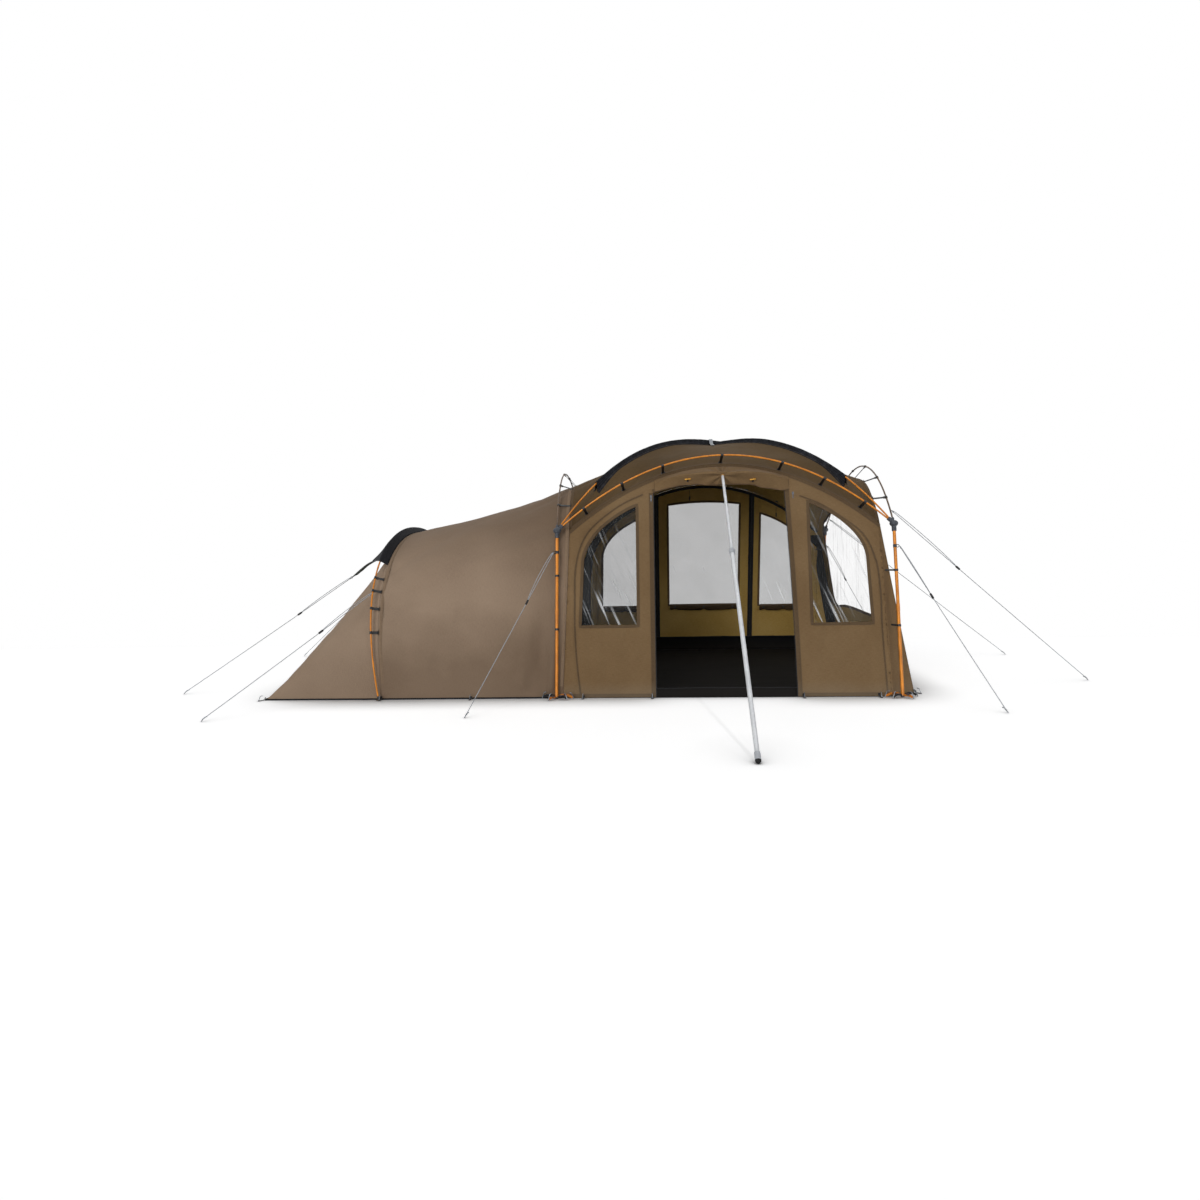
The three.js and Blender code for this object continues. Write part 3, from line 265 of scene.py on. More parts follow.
@dataclass
class Heap:
    """Small closed shapes that end up in one mesh."""

    points: list[Array] = field(default_factory=list)
    faces: Faces = field(default_factory=list)
    count: int = 0

    def add(self, points: Array, faces: Iterable[Sequence[int]]) -> None:
        """Add one shape.

        Args:
            points: Its points.
            faces: Corner numbers of its faces, from 0.
        """
        rows = np.asarray(points, float).reshape(-1, 3)
        self.faces += [tuple(k + self.count for k in f) for f in faces]
        self.points.append(rows)
        self.count += len(rows)

    def skin(self, rim: Array) -> None:
        """Add a skin over rings of points, with flat ends.

        Args:
            rim: Rings of points, one row for each ring.
        """
        rows, sides = rim.shape[:2]
        ends = tuple(range(sides))
        last = (rows - 1) * sides
        self.add(rim, grid_faces(rows, sides, closed=True) + [ends[::-1], tuple(last + k for k in ends)])

    def tube(self, path: Array, radius: float, sides: int = 12, side: Point = (0, 0, 1)) -> None:
        """Add a round tube with flat ends.

        Args:
            path: Rows of points that its middle follows.
            radius: Its radius.
            sides: Corners of its section.
            side: A direction that the tube never runs along.
        """
        path, side = np.asarray(path, float), np.asarray(side, float)
        way = unit(np.gradient(path, axis=0))
        a = unit(side - way * (way @ side)[:, None])
        angle = (2 * math.pi * np.arange(sides) / sides)[None, :, None]
        self.skin(path[:, None] + (np.cos(angle) * a[:, None] + np.sin(angle) * np.cross(way, a)[:, None])
                  * radius)

    def turned(self, profile: Sequence[Point], origin: Point, way: Point, sides: int = 32) -> None:
        """Add a turned shape.

        Args:
            profile: Rows of distance along the axis and radius; it starts and ends on the axis, or where
                its first and last rows are the same it closes on itself.
            origin: Where the axis starts.
            way: Direction of the axis.
            sides: Corners of its section.
        """
        rows, origin = np.asarray(profile, float), np.asarray(origin, float)
        way = unit(np.asarray(way, float))
        a = unit(np.cross(X_WAY if abs(way[2]) > 0.9 else Z_WAY, way))
        angle = (2 * math.pi * np.arange(sides) / sides)[:, None]
        arms = np.cos(angle) * a + np.sin(angle) * np.cross(way, a)
        closed = np.allclose(rows[0], rows[-1])
        inner = rows[:-1] if closed else rows[1:-1]
        rim = (origin + inner[:, None, :1] * way + inner[:, None, 1:] * arms).reshape(-1, 3)
        faces = grid_faces(len(inner), sides, closed=True)
        low, last = len(rim), len(rim) - sides
        for i in range(sides):
            k = (i + 1) % sides
            faces += [(last + i, last + k, k, i)] if closed else [(low, k, i), (low + 1, last + i, last + k)]
        self.add(rim if closed else np.vstack([rim, origin + rows[[0, -1], :1] * way]), faces)

    def band(self, half: float, inner: float, outer: float, middle: Point, way: Point, sides: int) -> None:
        """Add a plain ring that is half a width long on each side of its middle."""
        rows = [(-half, inner), (-half, outer), (half, outer), (half, inner), (-half, inner)]
        self.turned(rows, middle, way, sides)

    def strap(self, path: Array, width: float, thickness: float, across: Array | Point) -> None:
        """Add a flat webbing strap with soft edges.

        Args:
            path: Rows of points that its middle follows.
            width: Width of the webbing.
            thickness: Its thickness.
            across: Direction of its width, one for the strap or one for each point.
        """
        path = np.asarray(path, float)
        way = unit(np.gradient(path, axis=0))
        wide = np.broadcast_to(np.asarray(across, float), path.shape)
        wide = unit(wide - way * np.sum(way * wide, -1, keepdims=True))
        corners = np.array([(-1, 0), (-0.94, -1), (0.94, -1), (1, 0), (0.94, 1), (-0.94, 1)])
        section = corners * (width / 2, thickness / 2)
        self.skin(np.stack([path + wide * a + np.cross(way, wide) * b for a, b in section], 1))

    def block(self, size: Point, middle: Point, along: Point, up: Point, bevel: float = 0.15) -> None:
        """Add a block with chamfered edges.

        Args:
            size: Its length, width and height.
            middle: Its centre.
            along: Direction of its length.
            up: Direction of its height.
            bevel: Size of the chamfer as a share of the smallest side.
        """
        z = unit(np.asarray(up, float))
        x = np.asarray(along, float)
        x = unit(x - z * (x @ z))
        half = np.asarray(size, float) / 2
        made = bmesh.new()
        bmesh.ops.create_cube(made, size=2.0)
        for v in made.verts:
            v.co = Vector(tuple(np.asarray(v.co) * half))
        bmesh.ops.bevel(made, geom=made.edges[:], offset=bevel * 2 * half.min(), segments=2, profile=0.6,
                        affect="EDGES")
        made.verts.ensure_lookup_table()
        axes = np.array([x, np.cross(z, x), z])
        points = np.array([v.co for v in made.verts]) @ axes + np.asarray(middle, float)
        faces = [tuple(v.index for v in f.verts) for f in made.faces]
        made.free()
        self.add(points, faces)

    def build(self, name: str, finish: "Finish", body: str = "tent", node: str = "") -> Object:
        """Turn the heap into one dressed piece whose faces point outwards.

        Args:
            name: Name of the piece.
            finish: Its finish.
            body: Body that it rides on.
            node: The frame's node that it replaces.

        Returns:
            The piece.
        """
        obj = piece(name, np.concatenate(self.points), self.faces)
        made = bmesh.new()
        made.from_mesh(obj.data)
        bmesh.ops.recalc_face_normals(made, faces=made.faces[:])
        made.to_mesh(obj.data)
        made.free()
        obj.data.shade_smooth()
        sharpen(obj)
        return Wardrobe.dress(obj, finish, body=body, node=node)


def sharpen(obj: Object, degrees: float = 38.0) -> None:
    """Mark the edges that turn more than the given angle as sharp, so that flat sides stay flat.

    Args:
        obj: The piece.
        degrees: The angle.
    """
    made = bmesh.new()
    made.from_mesh(obj.data)
    for edge in made.edges:
        edge.smooth = len(edge.link_faces) == 2 and edge.calc_face_angle(0.0) < math.radians(degrees)
    made.to_mesh(obj.data)
    made.free()


def inside(points: Array, loops: Sequence[Array]) -> Array:
    """Return which of the flat points lie inside the first closed loop and outside the others.

    Args:
        points: Flat points.
        loops: Closed outlines.

    Returns:
        True for each point inside.
    """
    x, y = points[:, 0], points[:, 1]
    found = np.zeros(len(points), bool)
    for loop in loops:
        for (x0, y0), (x1, y1) in zip(loop, np.roll(loop, -1, axis=0)):
            if y0 != y1:
                found ^= ((y0 > y) != (y1 > y)) & (x < (x1 - x0) * (y - y0) / (y1 - y0) + x0)
    return found


def evenly(loop: Array, step: float, closed: bool = True) -> Array:
    """Return points along a line, about one step apart, that keep its corners.

    Args:
        loop: Corner points of the line, flat or in space.
        step: Largest distance between neighbours.
        closed: Whether the last corner joins the first.

    Returns:
        The denser line.
    """
    corners = np.asarray(loop, float)
    out = []
    for a, b in zip(corners, np.roll(corners, -1, axis=0) if closed else corners[1:]):
        count = max(1, int(math.ceil(np.linalg.norm(b - a) / step - 1e-6)))
        out.append(a + (b - a) * (np.arange(count) / count)[:, None])
    return np.concatenate(out if closed else out + [corners[-1:]])


def cut_cloth(outline: Array, holes: Sequence[Array], step: float) -> tuple[Array, Faces]:
    """Lay an even net of triangles over a flat pattern piece with holes.

    Args:
        outline: The piece's outline, anticlockwise.
        holes: Outlines of its openings.
        step: Size of the triangles.

    Returns:
        The flat points and the triangles between them.
    """
    loops = [evenly(loop, step) for loop in (outline, *holes)]
    rim = np.concatenate(loops)
    edges, first = [], 0
    for loop in loops:
        edges += [(first + k, first + (k + 1) % len(loop)) for k in range(len(loop))]
        first += len(loop)
    low, high = loops[0].min(0), loops[0].max(0)
    net = []
    for k, y in enumerate(np.arange(low[1] + step / 2, high[1], step * 0.87)):
        x = np.arange(low[0] + step * (0.25 + 0.5 * (k % 2)), high[0], step)
        net.append(np.c_[x, np.full(len(x), y)])
    net = np.concatenate(net)
    net = net[inside(net, loops)]
    near = [np.min(np.linalg.norm(part[:, None] - rim[None], axis=-1), axis=1)
            for part in np.array_split(net, 40)]
    points = np.concatenate([rim, net[np.concatenate(near) > 0.55 * step]])
    found = delaunay_2d_cdt([Vector(p) for p in points], edges, [], 0, 1e-7)
    flat = np.array([tuple(v) for v in found[0]])
    faces = [tuple(f) for f in found[2] if len(f) == 3]
    keep = inside(flat[np.array(faces)].mean(1), loops)
    return flat, [f for f, k in zip(faces, keep) if k]


def baked(obj: Object) -> Object:
    """Apply an object's modifiers to its mesh.

    Args:
        obj: The object.

    Returns:
        The same object.
    """
    graph = bpy.context.evaluated_depsgraph_get()
    graph.update()
    made = bpy.data.meshes.new_from_object(obj.evaluated_get(graph), depsgraph=graph)
    old = obj.data
    obj.modifiers.clear()
    obj.data = made
    made.name = obj.name
    bpy.data.meshes.remove(old)
    return obj


def thickened(obj: Object, thickness: float, finishes: Sequence["Finish"]) -> Object:
    """Give an open sheet its thickness, with the first finish outside and the last inside.

    Args:
        obj: The sheet.
        thickness: Thickness of the cloth; negative grows it against its normals.
        finishes: One finish or two.

    Returns:
        The same object.
    """
    Wardrobe.cover(obj, finishes)
    solid = obj.modifiers.new("thickness", "SOLIDIFY")
    solid.thickness, solid.offset = thickness, 1.0
    solid.use_even_offset, solid.use_quality_normals = False, True
    solid.material_offset = len(finishes) - 1
    return baked(obj)


def sheet(name: str, points: Array, faces: Faces, uv: Array, flat: tuple[float, float],
          finishes: Sequence["Finish"],
          thickness: float = CANVAS_THICKNESS, node: str = "") -> Object:
    """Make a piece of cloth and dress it.

    Args:
        name: Name of the piece.
        points: Points of its inner face.
        faces: The faces between them.
        uv: Flat place of each point.
        flat: Width and height of the cloth that it is cut from.
        finishes: Outer and inner finish.
        thickness: Thickness of the cloth.
        node: The frame's node that it replaces.

    Returns:
        The piece.
    """
    obj = piece(name, points, faces, uv)
    area = min(sum(p.area for p in obj.data.polygons), flat[0] * flat[1])
    Wardrobe.dress(thickened(obj, thickness, finishes), *finishes, node=node)
    log.info("%s is cut from %.2f x %.2f m, %.2f square metres", name, *flat, area)
    return obj


# ---------------------------------------------------------------- the tent's lines


@dataclass(frozen=True)
class Plan:
    """Sizes that the frame and the cloth share, in metres, and the lines and surfaces they give."""

    hub_x: float = 1.343
    hub_y: float = 1.178
    hub_z: float = 1.348
    leg_foot: tuple[float, float, float] = (1.35, 1.408, 0.0)
    front_rise: float = 0.574
    side_rise: float = 0.565
    side_bulge: float = 0.046
    crossing: float = 2.19
    diagonal_power: float = 2.45
    crossing_reach: float = 0.35
    crossing_drop: float = 0.024
    pole_start: float = 0.038
    pole_radius: float = 0.0065
    shell_x: float = 1.245
    shell_y: float = 1.13
    shell_z: float = 1.345
    front_top: float = 1.865
    side_top: float = 1.775
    side_power: float = 3.6
    side_bow: float = 0.035
    base_y: float = 1.375
    base_left: float = -1.3
    base_right: float = 1.28
    right_x: float = 1.49
    right_y: float = 1.24
    ground: float = 0.0033
    seam_gap: float = 0.0006
    sleeve_share: float = 5 / 7
    under_sleeve: float = 0.0148
    hoop_half: float = 1.43
    hoop_height: float = 1.423
    hoop_foot: float = -2.804
    hoop_lean: float = 0.095
    round_y: float = 2.2
    round_z: float = 2.8
    seam_half: float = 1.4
    seam_height: float = 1.383
    seam_foot: float = -2.79
    seam_lean: float = 0.055
    sag: float = 0.022
    tail_x: float = -3.772
    fan: float = 0.2
    hood_tip: tuple[float, float, float] = (-3.39, 0.45, 0.97)
    hood_from: float = 0.252
    brim_cut: float = 0.3
    tunnel_cells: int = 22
    leg_cells: int = 4
    arch_hooks: tuple[float, ...] = (-0.834, -0.6, -0.354, 0.0, 0.354, 0.6, 0.834)

    def arch(self, s: Array, end: float = FRONT) -> Array:
        """Return points of the front or rear arch at shares s of its half span."""
        return stack(self.hub_x * s, end * self.hub_y, self.hub_z + self.front_rise * (1 - s * s))

    def side_arch(self, s: Array, side: float = RIGHT) -> Array:
        """Return points of the arch over one side wall.

        Args:
            s: Share along it, from -1 to 1.
            side: 1 for the right, -1 for the left.

        Returns:
            The points.
        """
        bulge = 1 - s * s
        return stack(side * (self.hub_x + self.side_bulge * bulge), self.hub_y * s,
                     self.hub_z + self.side_rise * bulge)

    def diagonal_height(self, s: Array) -> Array:
        """Return the height of a diagonal pole's axis, without its dip at the crossing."""
        return self.crossing - (self.crossing - self.hub_z) * np.abs(s) ** self.diagonal_power

    def diagonal(self, s: Array, dip: float = 0.0, side: float = RIGHT) -> Array:
        """Return points of a diagonal pole; the lower one dips where the two cross."""
        fade = np.maximum(0, 1 - (s / self.crossing_reach) ** 2)
        return stack(side * self.hub_x * s, self.hub_y * s, self.diagonal_height(s) - dip * fade * fade)

    def reach(self, line: Callable[[Array], Array]) -> float:
        """Return the share at which a pole ends inside its hub's socket.

        Args:
            line: Points of the pole at given shares.

        Returns:
            The share.
        """
        shares = np.linspace(1, 0.9, 401)
        gap = np.linalg.norm(line(shares) - line(shares[:1]), axis=-1)
        return float(shares[np.argmax(gap >= self.pole_start)])

    def leg(self, height: float | Array) -> Array:
        """Return points of the leg at +X, +Y at the given heights."""
        t = np.asarray(height, float) / self.hub_z
        return stack(lerp(self.leg_foot[0], self.hub_x, t), lerp(self.leg_foot[1], self.hub_y, t), height)

    def wall_y(self, z: float | Array) -> float | Array:
        """Return how far in front of the centre the front wall stands at a height."""
        return self.base_y - (self.base_y - self.shell_y) / self.shell_z * z

    def front_seam(self, u: float | Array) -> float | Array:
        """Return the height of the seam over the front wall."""
        return lerp(self.front_top, self.shell_z, u * u)

    def ridge(self, w: Array) -> Array:
        """Return the height of the ridge under a sleeve at a share w of the way to the roof's corner.

        Args:
            w: Share from 0 to 1.

        Returns:
            The height.
        """
        share = w * self.shell_x / self.hub_x
        step = 0.01
        run = step * math.hypot(self.hub_x, self.hub_y)
        slope = (self.diagonal_height(share) - self.diagonal_height(share + step)) / run
        under = self.diagonal(share, self.crossing_drop)[...,
                                                         2] - self.under_sleeve * np.sqrt(1 + slope * slope)
        fall = float(self.diagonal_height(self.shell_x / self.hub_x)) - self.crossing_drop - self.shell_z
        return under - fall * smoothstep(w, self.sleeve_share, 1)

    def roof(self, u: Array, v: Array) -> Array:
        """Return points of the roof's inner face, for u and v from -1 to 1 across it.

        Args:
            u: Share across it.
            v: Share from front to rear.

        Returns:
            The points.
        """
        u, v = np.broadcast_arrays(np.asarray(u, float), np.asarray(v, float))
        w = np.maximum(np.abs(u), np.abs(v))
        front = np.abs(v) >= np.abs(u)
        s = np.where(front, u, v) / np.maximum(w, 1e-9)
        bow = np.where(front, 1 - s * s, 1 - np.abs(s) ** (2 + (self.side_power - 2) * w * w))
        peak = self.ridge(np.zeros(1))[0]
        crest = np.where(front, lerp(peak, self.front_top, w**1.4), lerp(peak, self.side_top, w**1.5))
        corner = np.where(w >= 1 - 1e-9, self.shell_z, self.ridge(w))
        depth = lerp(self.shell_x * self.hub_y / self.hub_x, self.wall_y(self.front_seam(u)),
                     smoothstep(np.abs(v), 0.75, 1))
        width = lerp(self.shell_x, self.shell_x + self.side_bow * (1 - v * v), smoothstep(np.abs(u), 0.75, 1))
        return stack(u * width, v * depth, lerp(corner, crest, bow))

    def right_wall(self, v: Array, j: Array) -> Array:
        """Return points of the right wall's inner face, v along it and j from its foot to its seam.

        Args:
            v: Share from front to rear.
            j: Share of the height.

        Returns:
            The points.
        """
        v, j = np.broadcast_arrays(np.asarray(v, float), np.asarray(j, float))
        foot = stack(self.right_x, v * self.right_y, self.ground)
        return lerp(foot, self.roof(np.ones_like(v), v) - (0, 0, self.seam_gap), j[..., None])

    def on_right_wall(self, y: Array, z: Array) -> tuple[Array, Array]:
        """Return the v and j of the right wall's points at the given y and z.

        Args:
            y: Distance to the rear.
            z: Height.

        Returns:
            v and j.
        """
        v, j = y / self.right_y, z / self.side_top
        for _ in range(40):
            top = self.roof(np.ones_like(v), v)
            half = lerp(self.right_y, np.where(np.abs(v) > 1e-6, top[..., 1] / np.where(v == 0, 1, v),
                                               self.right_y), j)
            v = y / half
            j = (z - self.ground) / (top[..., 2] - self.ground)
        return v, j

    def hoop(self, t: Array, grow: float = 0.0) -> Array:
        """Return points of the hoop, t from its front foot over the top to its rear foot.

        Args:
            t: Share from 0 to 1.
            grow: How far outside the pole's line.

        Returns:
            The points.
        """
        y, z = self.rounded(t, self.hoop_half + grow, self.hoop_height + grow)
        low = 1 - np.minimum(1, z / self.hoop_height)
        return stack(self.hoop_foot - self.hoop_lean * (1 - low * low), y, z)

    def seam(self, t: Array, grow: float = 0.0) -> Array:
        """Return points of the seam between tunnel and tail, under the hoop."""
        y, z = self.rounded(t, self.seam_half + grow, self.seam_height + grow)
        return stack(self.seam_foot - self.seam_lean * z / self.seam_height, y, np.maximum(z, self.ground))

    def rounded(self, t: Array, half: float, height: float) -> tuple[Array, Array]:
        """Return y and z of a rounded arch outline.

        Args:
            t: Share from 0 to 1.
            half: Half its width.
            height: Its height.

        Returns:
            y and z.
        """
        a = math.pi * np.asarray(t, float)
        y = -np.sign(np.cos(a)) * half * np.abs(np.cos(a)) ** (2 / self.round_y)
        return y, height * np.maximum(0, np.sin(a)) ** (2 / self.round_z)

    def tunnel_mouth(self, t: Array) -> Array:
        """Return points of the tunnel's edge on the dome, t from the front foot to the rear foot.

        Args:
            t: Share from 0 to 1.

        Returns:
            The points.
        """
        i = np.asarray(t, float) * self.tunnel_cells
        roof_cells = self.tunnel_cells - 2 * self.leg_cells
        v = np.clip((i - self.leg_cells) / roof_cells * 2 - 1, -1, 1)
        edge = self.roof(-np.ones_like(v), v)
        edge[..., 0] -= self.seam_gap * (1 + 4 * smoothstep(np.abs(v), 0.6, 1))
        rise = np.minimum(i, self.tunnel_cells - i) / self.leg_cells
        z = lerp(self.ground, self.shell_z, np.clip(rise, 0, 1))
        x = lerp(self.base_left, -self.shell_x, z / self.shell_z) - self.seam_gap
        return np.where((rise < 1)[..., None], stack(x, np.sign(v) * self.wall_y(z), z), edge)

    def tunnel(self, t: Array, j: Array) -> Array:
        """Return points of the tunnel's inner face, j from the dome to the hoop.

        Args:
            t: Share along the arch.
            j: Share from 0 to 1.

        Returns:
            The points.
        """
        t, j = np.broadcast_arrays(np.asarray(t, float), np.asarray(j, float))
        out = lerp(self.tunnel_mouth(t), self.seam(t), j[..., None])
        out[..., 2] -= self.sag * 4 * j * (1 - j) * out[..., 2] / self.shell_z
        out[..., 2] = np.maximum(out[..., 2], self.ground)
        return out

    def tail(self, t: Array, j: Array) -> Array:
        """Return points of the tail's inner face, j from the hoop to the ground.

        Args:
            t: Share along the arch.
            j: Share from 0 to 1.

        Returns:
            The points.
        """
        t, j = np.broadcast_arrays(np.asarray(t, float), np.asarray(j, float))
        side = np.minimum(t, 1 - t)
        spread = 0.04 * np.minimum(side / self.fan, 1) + smoothstep(side, self.fan * 0.6, 0.5) * 0.46
        spread = np.where(t < 0.5, spread, 1 - spread)
        end = stack(self.tail_x, -self.seam_half * np.cos(math.pi * spread), self.ground)
        return lerp(self.seam(t) - (self.seam_gap, 0, 0), end, j[..., None])

    def hood(self, t: Array, j: Array) -> Array:
        """Return points of the hood's inner face: j from the seam (0) over the hoop (1) to the brim (4).

        Args:
            t: Share along the arch.
            j: Place from 0 to 4.

        Returns:
            The points.
        """
        t, j = np.broadcast_arrays(np.asarray(t, float), np.asarray(j, float))
        s = (t - self.hood_from) / (1 - 2 * self.hood_from) * 2 - 1
        bow = 1 - s * s
        over = self.hoop(t, 0.015)
        brim = stack(self.hood_tip[0], s * self.hood_tip[1], self.hood_tip[2] + 0.03 * bow)
        reach = 1 - self.brim_cut * np.maximum(bow, 0) ** 0.55
        second = (np.clip((j - 1) / 3, 0, 1) * reach)[..., None]
        first = lerp(self.seam(t, 0.0053), over, np.clip(j, 0, 1)[..., None])
        return np.where(j[..., None] <= 1, first, lerp(over, brim, second))


PLAN = Plan()


# ---------------------------------------------------------------- finishes


def hexed(code: str) -> tuple[float, float, float, float]:
    """Return the linear colour of a six-digit screen colour."""
    parts = [int(code[k : k + 2], 16) / 255 for k in (0, 2, 4)]
    return (*[c / 12.92 if c <= 0.04045 else ((c + 0.055) / 1.055) ** 2.4 for c in parts], 1.0)


class Layout:
    """A node tree while it is being laid out."""

    def __init__(self, tree: bpy.types.NodeTree) -> None:
        """Start from an empty tree."""
        self.tree = tree
        tree.nodes.clear()

    def feed(self, socket: Socket, value: object) -> None:
        """Link a socket to another one, or give it a plain value.

        Args:
            socket: The input.
            value: What it gets.
        """
        if isinstance(value, Socket):
            self.tree.links.new(value, socket)
        else:
            socket.default_value = value

    def add(self, kind: str, inputs: dict[str | int, object] | None = None,
            **settings: object) -> bpy.types.Node:
        """Add a node.

        Args:
            kind: The node's type name.
            inputs: Values or sockets for its inputs, by name or number.
            **settings: Properties of the node.

        Returns:
            The node.
        """
        node = self.tree.nodes.new(kind)
        for key, value in settings.items():
            setattr(node, key, value)
        for key, value in (inputs or {}).items():
            self.feed(node.inputs[key], value)
        return node

    def sums(self, a: object, b: object, way: str = "ADD") -> Socket:
        """Return the sum, or another operation, of two values."""
        return self.add("ShaderNodeMath", {0: a, 1: b}, operation=way).outputs[0]

    def span(self, value: object, old: Point, new: Point) -> Socket:
        """Return a value moved from one range to another, held at its ends."""
        keys = {"Value": value, "From Min": old[0], "From Max": old[1], "To Min": new[0], "To Max": new[1]}
        return self.add("ShaderNodeMapRange", keys).outputs[0]

    def seen(self) -> Socket:
        """Return 1 for rays from the eye, through glass and off metal, and 0 for others.

        Returns:
            The value.
        """
        rays = self.add("ShaderNodeLightPath").outputs
        most = self.sums(rays["Is Camera Ray"], rays["Is Transmission Ray"], "MAXIMUM")
        return self.sums(most, rays["Is Glossy Ray"], "MAXIMUM")


class Paint(Layout):
    """A material's node tree while it is being laid out."""

    def __init__(self, name: str) -> None:
        """Start an empty material.

        Args:
            name: Name of the material.
        """
        self.material = bpy.data.materials.new(name)
        self.material.use_nodes = True
        super().__init__(self.material.node_tree)
        self.coords = self.add("ShaderNodeTexCoord").outputs
        self.shader = self.add("ShaderNodeBsdfPrincipled")
        self.out = self.add("ShaderNodeOutputMaterial", {0: self.shader.outputs[0]}).inputs[0]

    def along(self, axis: int) -> Socket:
        """Return the object's coordinate along an axis."""
        return self.add("ShaderNodeSeparateXYZ", {0: self.coords["Object"]}).outputs[axis]

    def noise(self, space: str, scale: float, detail: float = 3.0, stretch: Point = (1, 1, 1)) -> Socket:
        """Return a noise value in the given space, stretched along its axes.

        Args:
            space: The coordinates.
            scale: Waves in a metre.
            detail: Finer layers.
            stretch: Scale along each axis.

        Returns:
            The value.
        """
        turned = self.add("ShaderNodeMapping", {"Vector": self.coords[space], "Scale": tuple(stretch)})
        return self.add("ShaderNodeTexNoise",
                        {"Vector": turned.outputs[0], "Scale": scale, "Detail": detail}).outputs[0]

    def bands(self, space: str, scale: float, axis: str, distortion: float, **more: float) -> Socket:
        """Return the height of parallel bands across an axis."""
        keys = {"Vector": self.coords[space], "Scale": scale, "Distortion": distortion, **more}
        return self.add("ShaderNodeTexWave", keys, bands_direction=axis).outputs["Fac"]

    def threads(self, space: str, pitch: float) -> Socket:
        """Return the height of a plain weave of threads with the given pitch."""
        ways = [self.bands(space, band_scale(pitch), axis, 0.6, Detail=1.0) for axis in ("X", "Y")]
        return self.sums(*ways, way="MULTIPLY")

    def ramp(self, value: Socket, stops: Sequence[tuple[float, str]]) -> Socket:
        """Return a colour that follows a value through the given stops.

        Args:
            value: The value.
            stops: Places and their colours.

        Returns:
            The colour.
        """
        node = self.add("ShaderNodeValToRGB", {0: value})
        bar = node.color_ramp
        while len(bar.elements) < len(stops):
            bar.elements.new(0.5)
        for element, (place, code) in zip(bar.elements, stops):
            element.position, element.color = place, hexed(code)
        return node.outputs[0]

    def mix(self, share: object, a: object, b: object) -> Socket:
        """Return the blend of two colours."""
        return self.add("ShaderNodeMix", {0: share, 6: a, 7: b}, data_type="RGBA").outputs[2]

    def bump(self, height: object, distance: float, strength: float, below: object = None) -> Socket:
        """Return a normal that is raised by a height."""
        keys = {"Height": height, "Distance": distance, "Strength": strength}
        return self.add("ShaderNodeBump", keys if below is None else {**keys, "Normal": below}).outputs[0]

    def finish(self, **values: object) -> bpy.types.Material:
        """Set the shader's inputs and return the material; names use _ for a space.

        Returns:
            The material.
        """
        for key, value in values.items():
            self.feed(self.shader.inputs[key.replace("_", " ")], value)
        return self.material


def band_scale(pitch: float) -> float:
    """Return the scale of a band texture whose bands are a pitch apart."""
    return 2 * math.pi / (20 * pitch)


@dataclass(frozen=True)
class ClothFinish:
    """Woven cloth: mottled yarn, a fine weave, slack ripples, a tone towards the foot that is pale dust by
    default and painted shade where a finish sets a darker one, and optional ramps of painted shade.
    """

    name: str
    dark: str
    middle: str
    light: str
    weave: float = 0.0016
    depth: float = 0.00025
    ripple: float = 0.004
    roughness: float = 0.86
    sheen: float = 0.03
    # Foot colour, share and height: pale dust by default; the tunnel and tail set a darker foot colour, which
    # is painted shade.
    foot: str = "8f8371"
    foot_dust_and_shade_share: float = 0.2
    foot_dust_and_shade_height: float = 0.09
    # Ramps of painted shade: axis, start, end and the share of the foot colour reached at the end.
    painted_shades: tuple[tuple[int, float, float, float], ...] = ()

    def make(self) -> bpy.types.Material:
        """Return the cloth's material.

        Returns:
            The material.
        """
        p = Paint(self.name)
        broad = p.noise("Object", 1.7, 4.0)
        yarn = p.noise("UV", 260.0, 2.0, (1.0, 0.18, 1.0))
        slub = p.noise("UV", 200.0, 2.0, (0.16, 1.0, 1.0))
        tone = p.sums(p.sums(p.sums(yarn, slub), 0.35, "MULTIPLY"), p.sums(broad, 0.65, "MULTIPLY"))
        colour = p.ramp(tone, [(0.38, self.dark), (0.62, self.middle), (0.86, self.light)])
        # Mix in the foot colour towards the bottom: dust on most finishes, painted shade on the tunnel and
        # tail.
        patchy = p.sums(p.noise("Object", 3.0, 4.0), self.foot_dust_and_shade_height, "MULTIPLY")
        foot = p.span(p.sums(p.along(2), patchy, "SUBTRACT"), (0.0, self.foot_dust_and_shade_height), (self.foot_dust_and_shade_share, 0.0))
        colour = p.mix(foot, colour, hexed(self.foot))
        # Painted shade: darken towards the foot colour along an object axis.
        for axis, start, end, share in self.painted_shades:
            colour = p.mix(p.span(p.along(axis), (start, end), (0.0, share)), colour, hexed(self.foot))
        weave = p.threads("UV", self.weave)
        soft = p.bump(p.noise("Object", 14.0, 3.0, (1.0, 1.0, 0.6)), self.ripple, 0.35)
        normal = p.bump(weave, self.depth, 0.6, soft)
        rough = p.span(yarn, (0.3, 0.7), (self.roughness - 0.06, self.roughness + 0.06))
        return p.finish(Base_Color=colour, Roughness=rough, Normal=normal, Specular_IOR_Level=0.14,
                        Sheen_Weight=self.sheen, Sheen_Roughness=0.45)


@dataclass(frozen=True)
class MeshFinish:
    """Fine insect mesh or coarse sleeve mesh: dark holes between paler threads."""

    name: str
    hole: str
    thread: str
    pitch: float = 0.003
    alpha: float = 1.0

    def make(self) -> bpy.types.Material:
        """Return the mesh cloth's material.

        Returns:
            The material.
        """
        p = Paint(self.name)
        weave = p.threads("UV", self.pitch)
        tone = p.sums(weave, p.span(p.noise("Object", 22.0, 3.0), (0.35, 0.7), (-0.25, 0.35)))
        colour = p.ramp(tone, [(0.15, self.hole), (0.8, self.thread)])
        normal = p.bump(weave, 0.0005, 0.7, p.bump(p.noise("Object", 30.0), 0.003, 0.3))
        return p.finish(Base_Color=colour, Roughness=0.8, Normal=normal, Alpha=self.alpha,
                        Specular_IOR_Level=0.15)


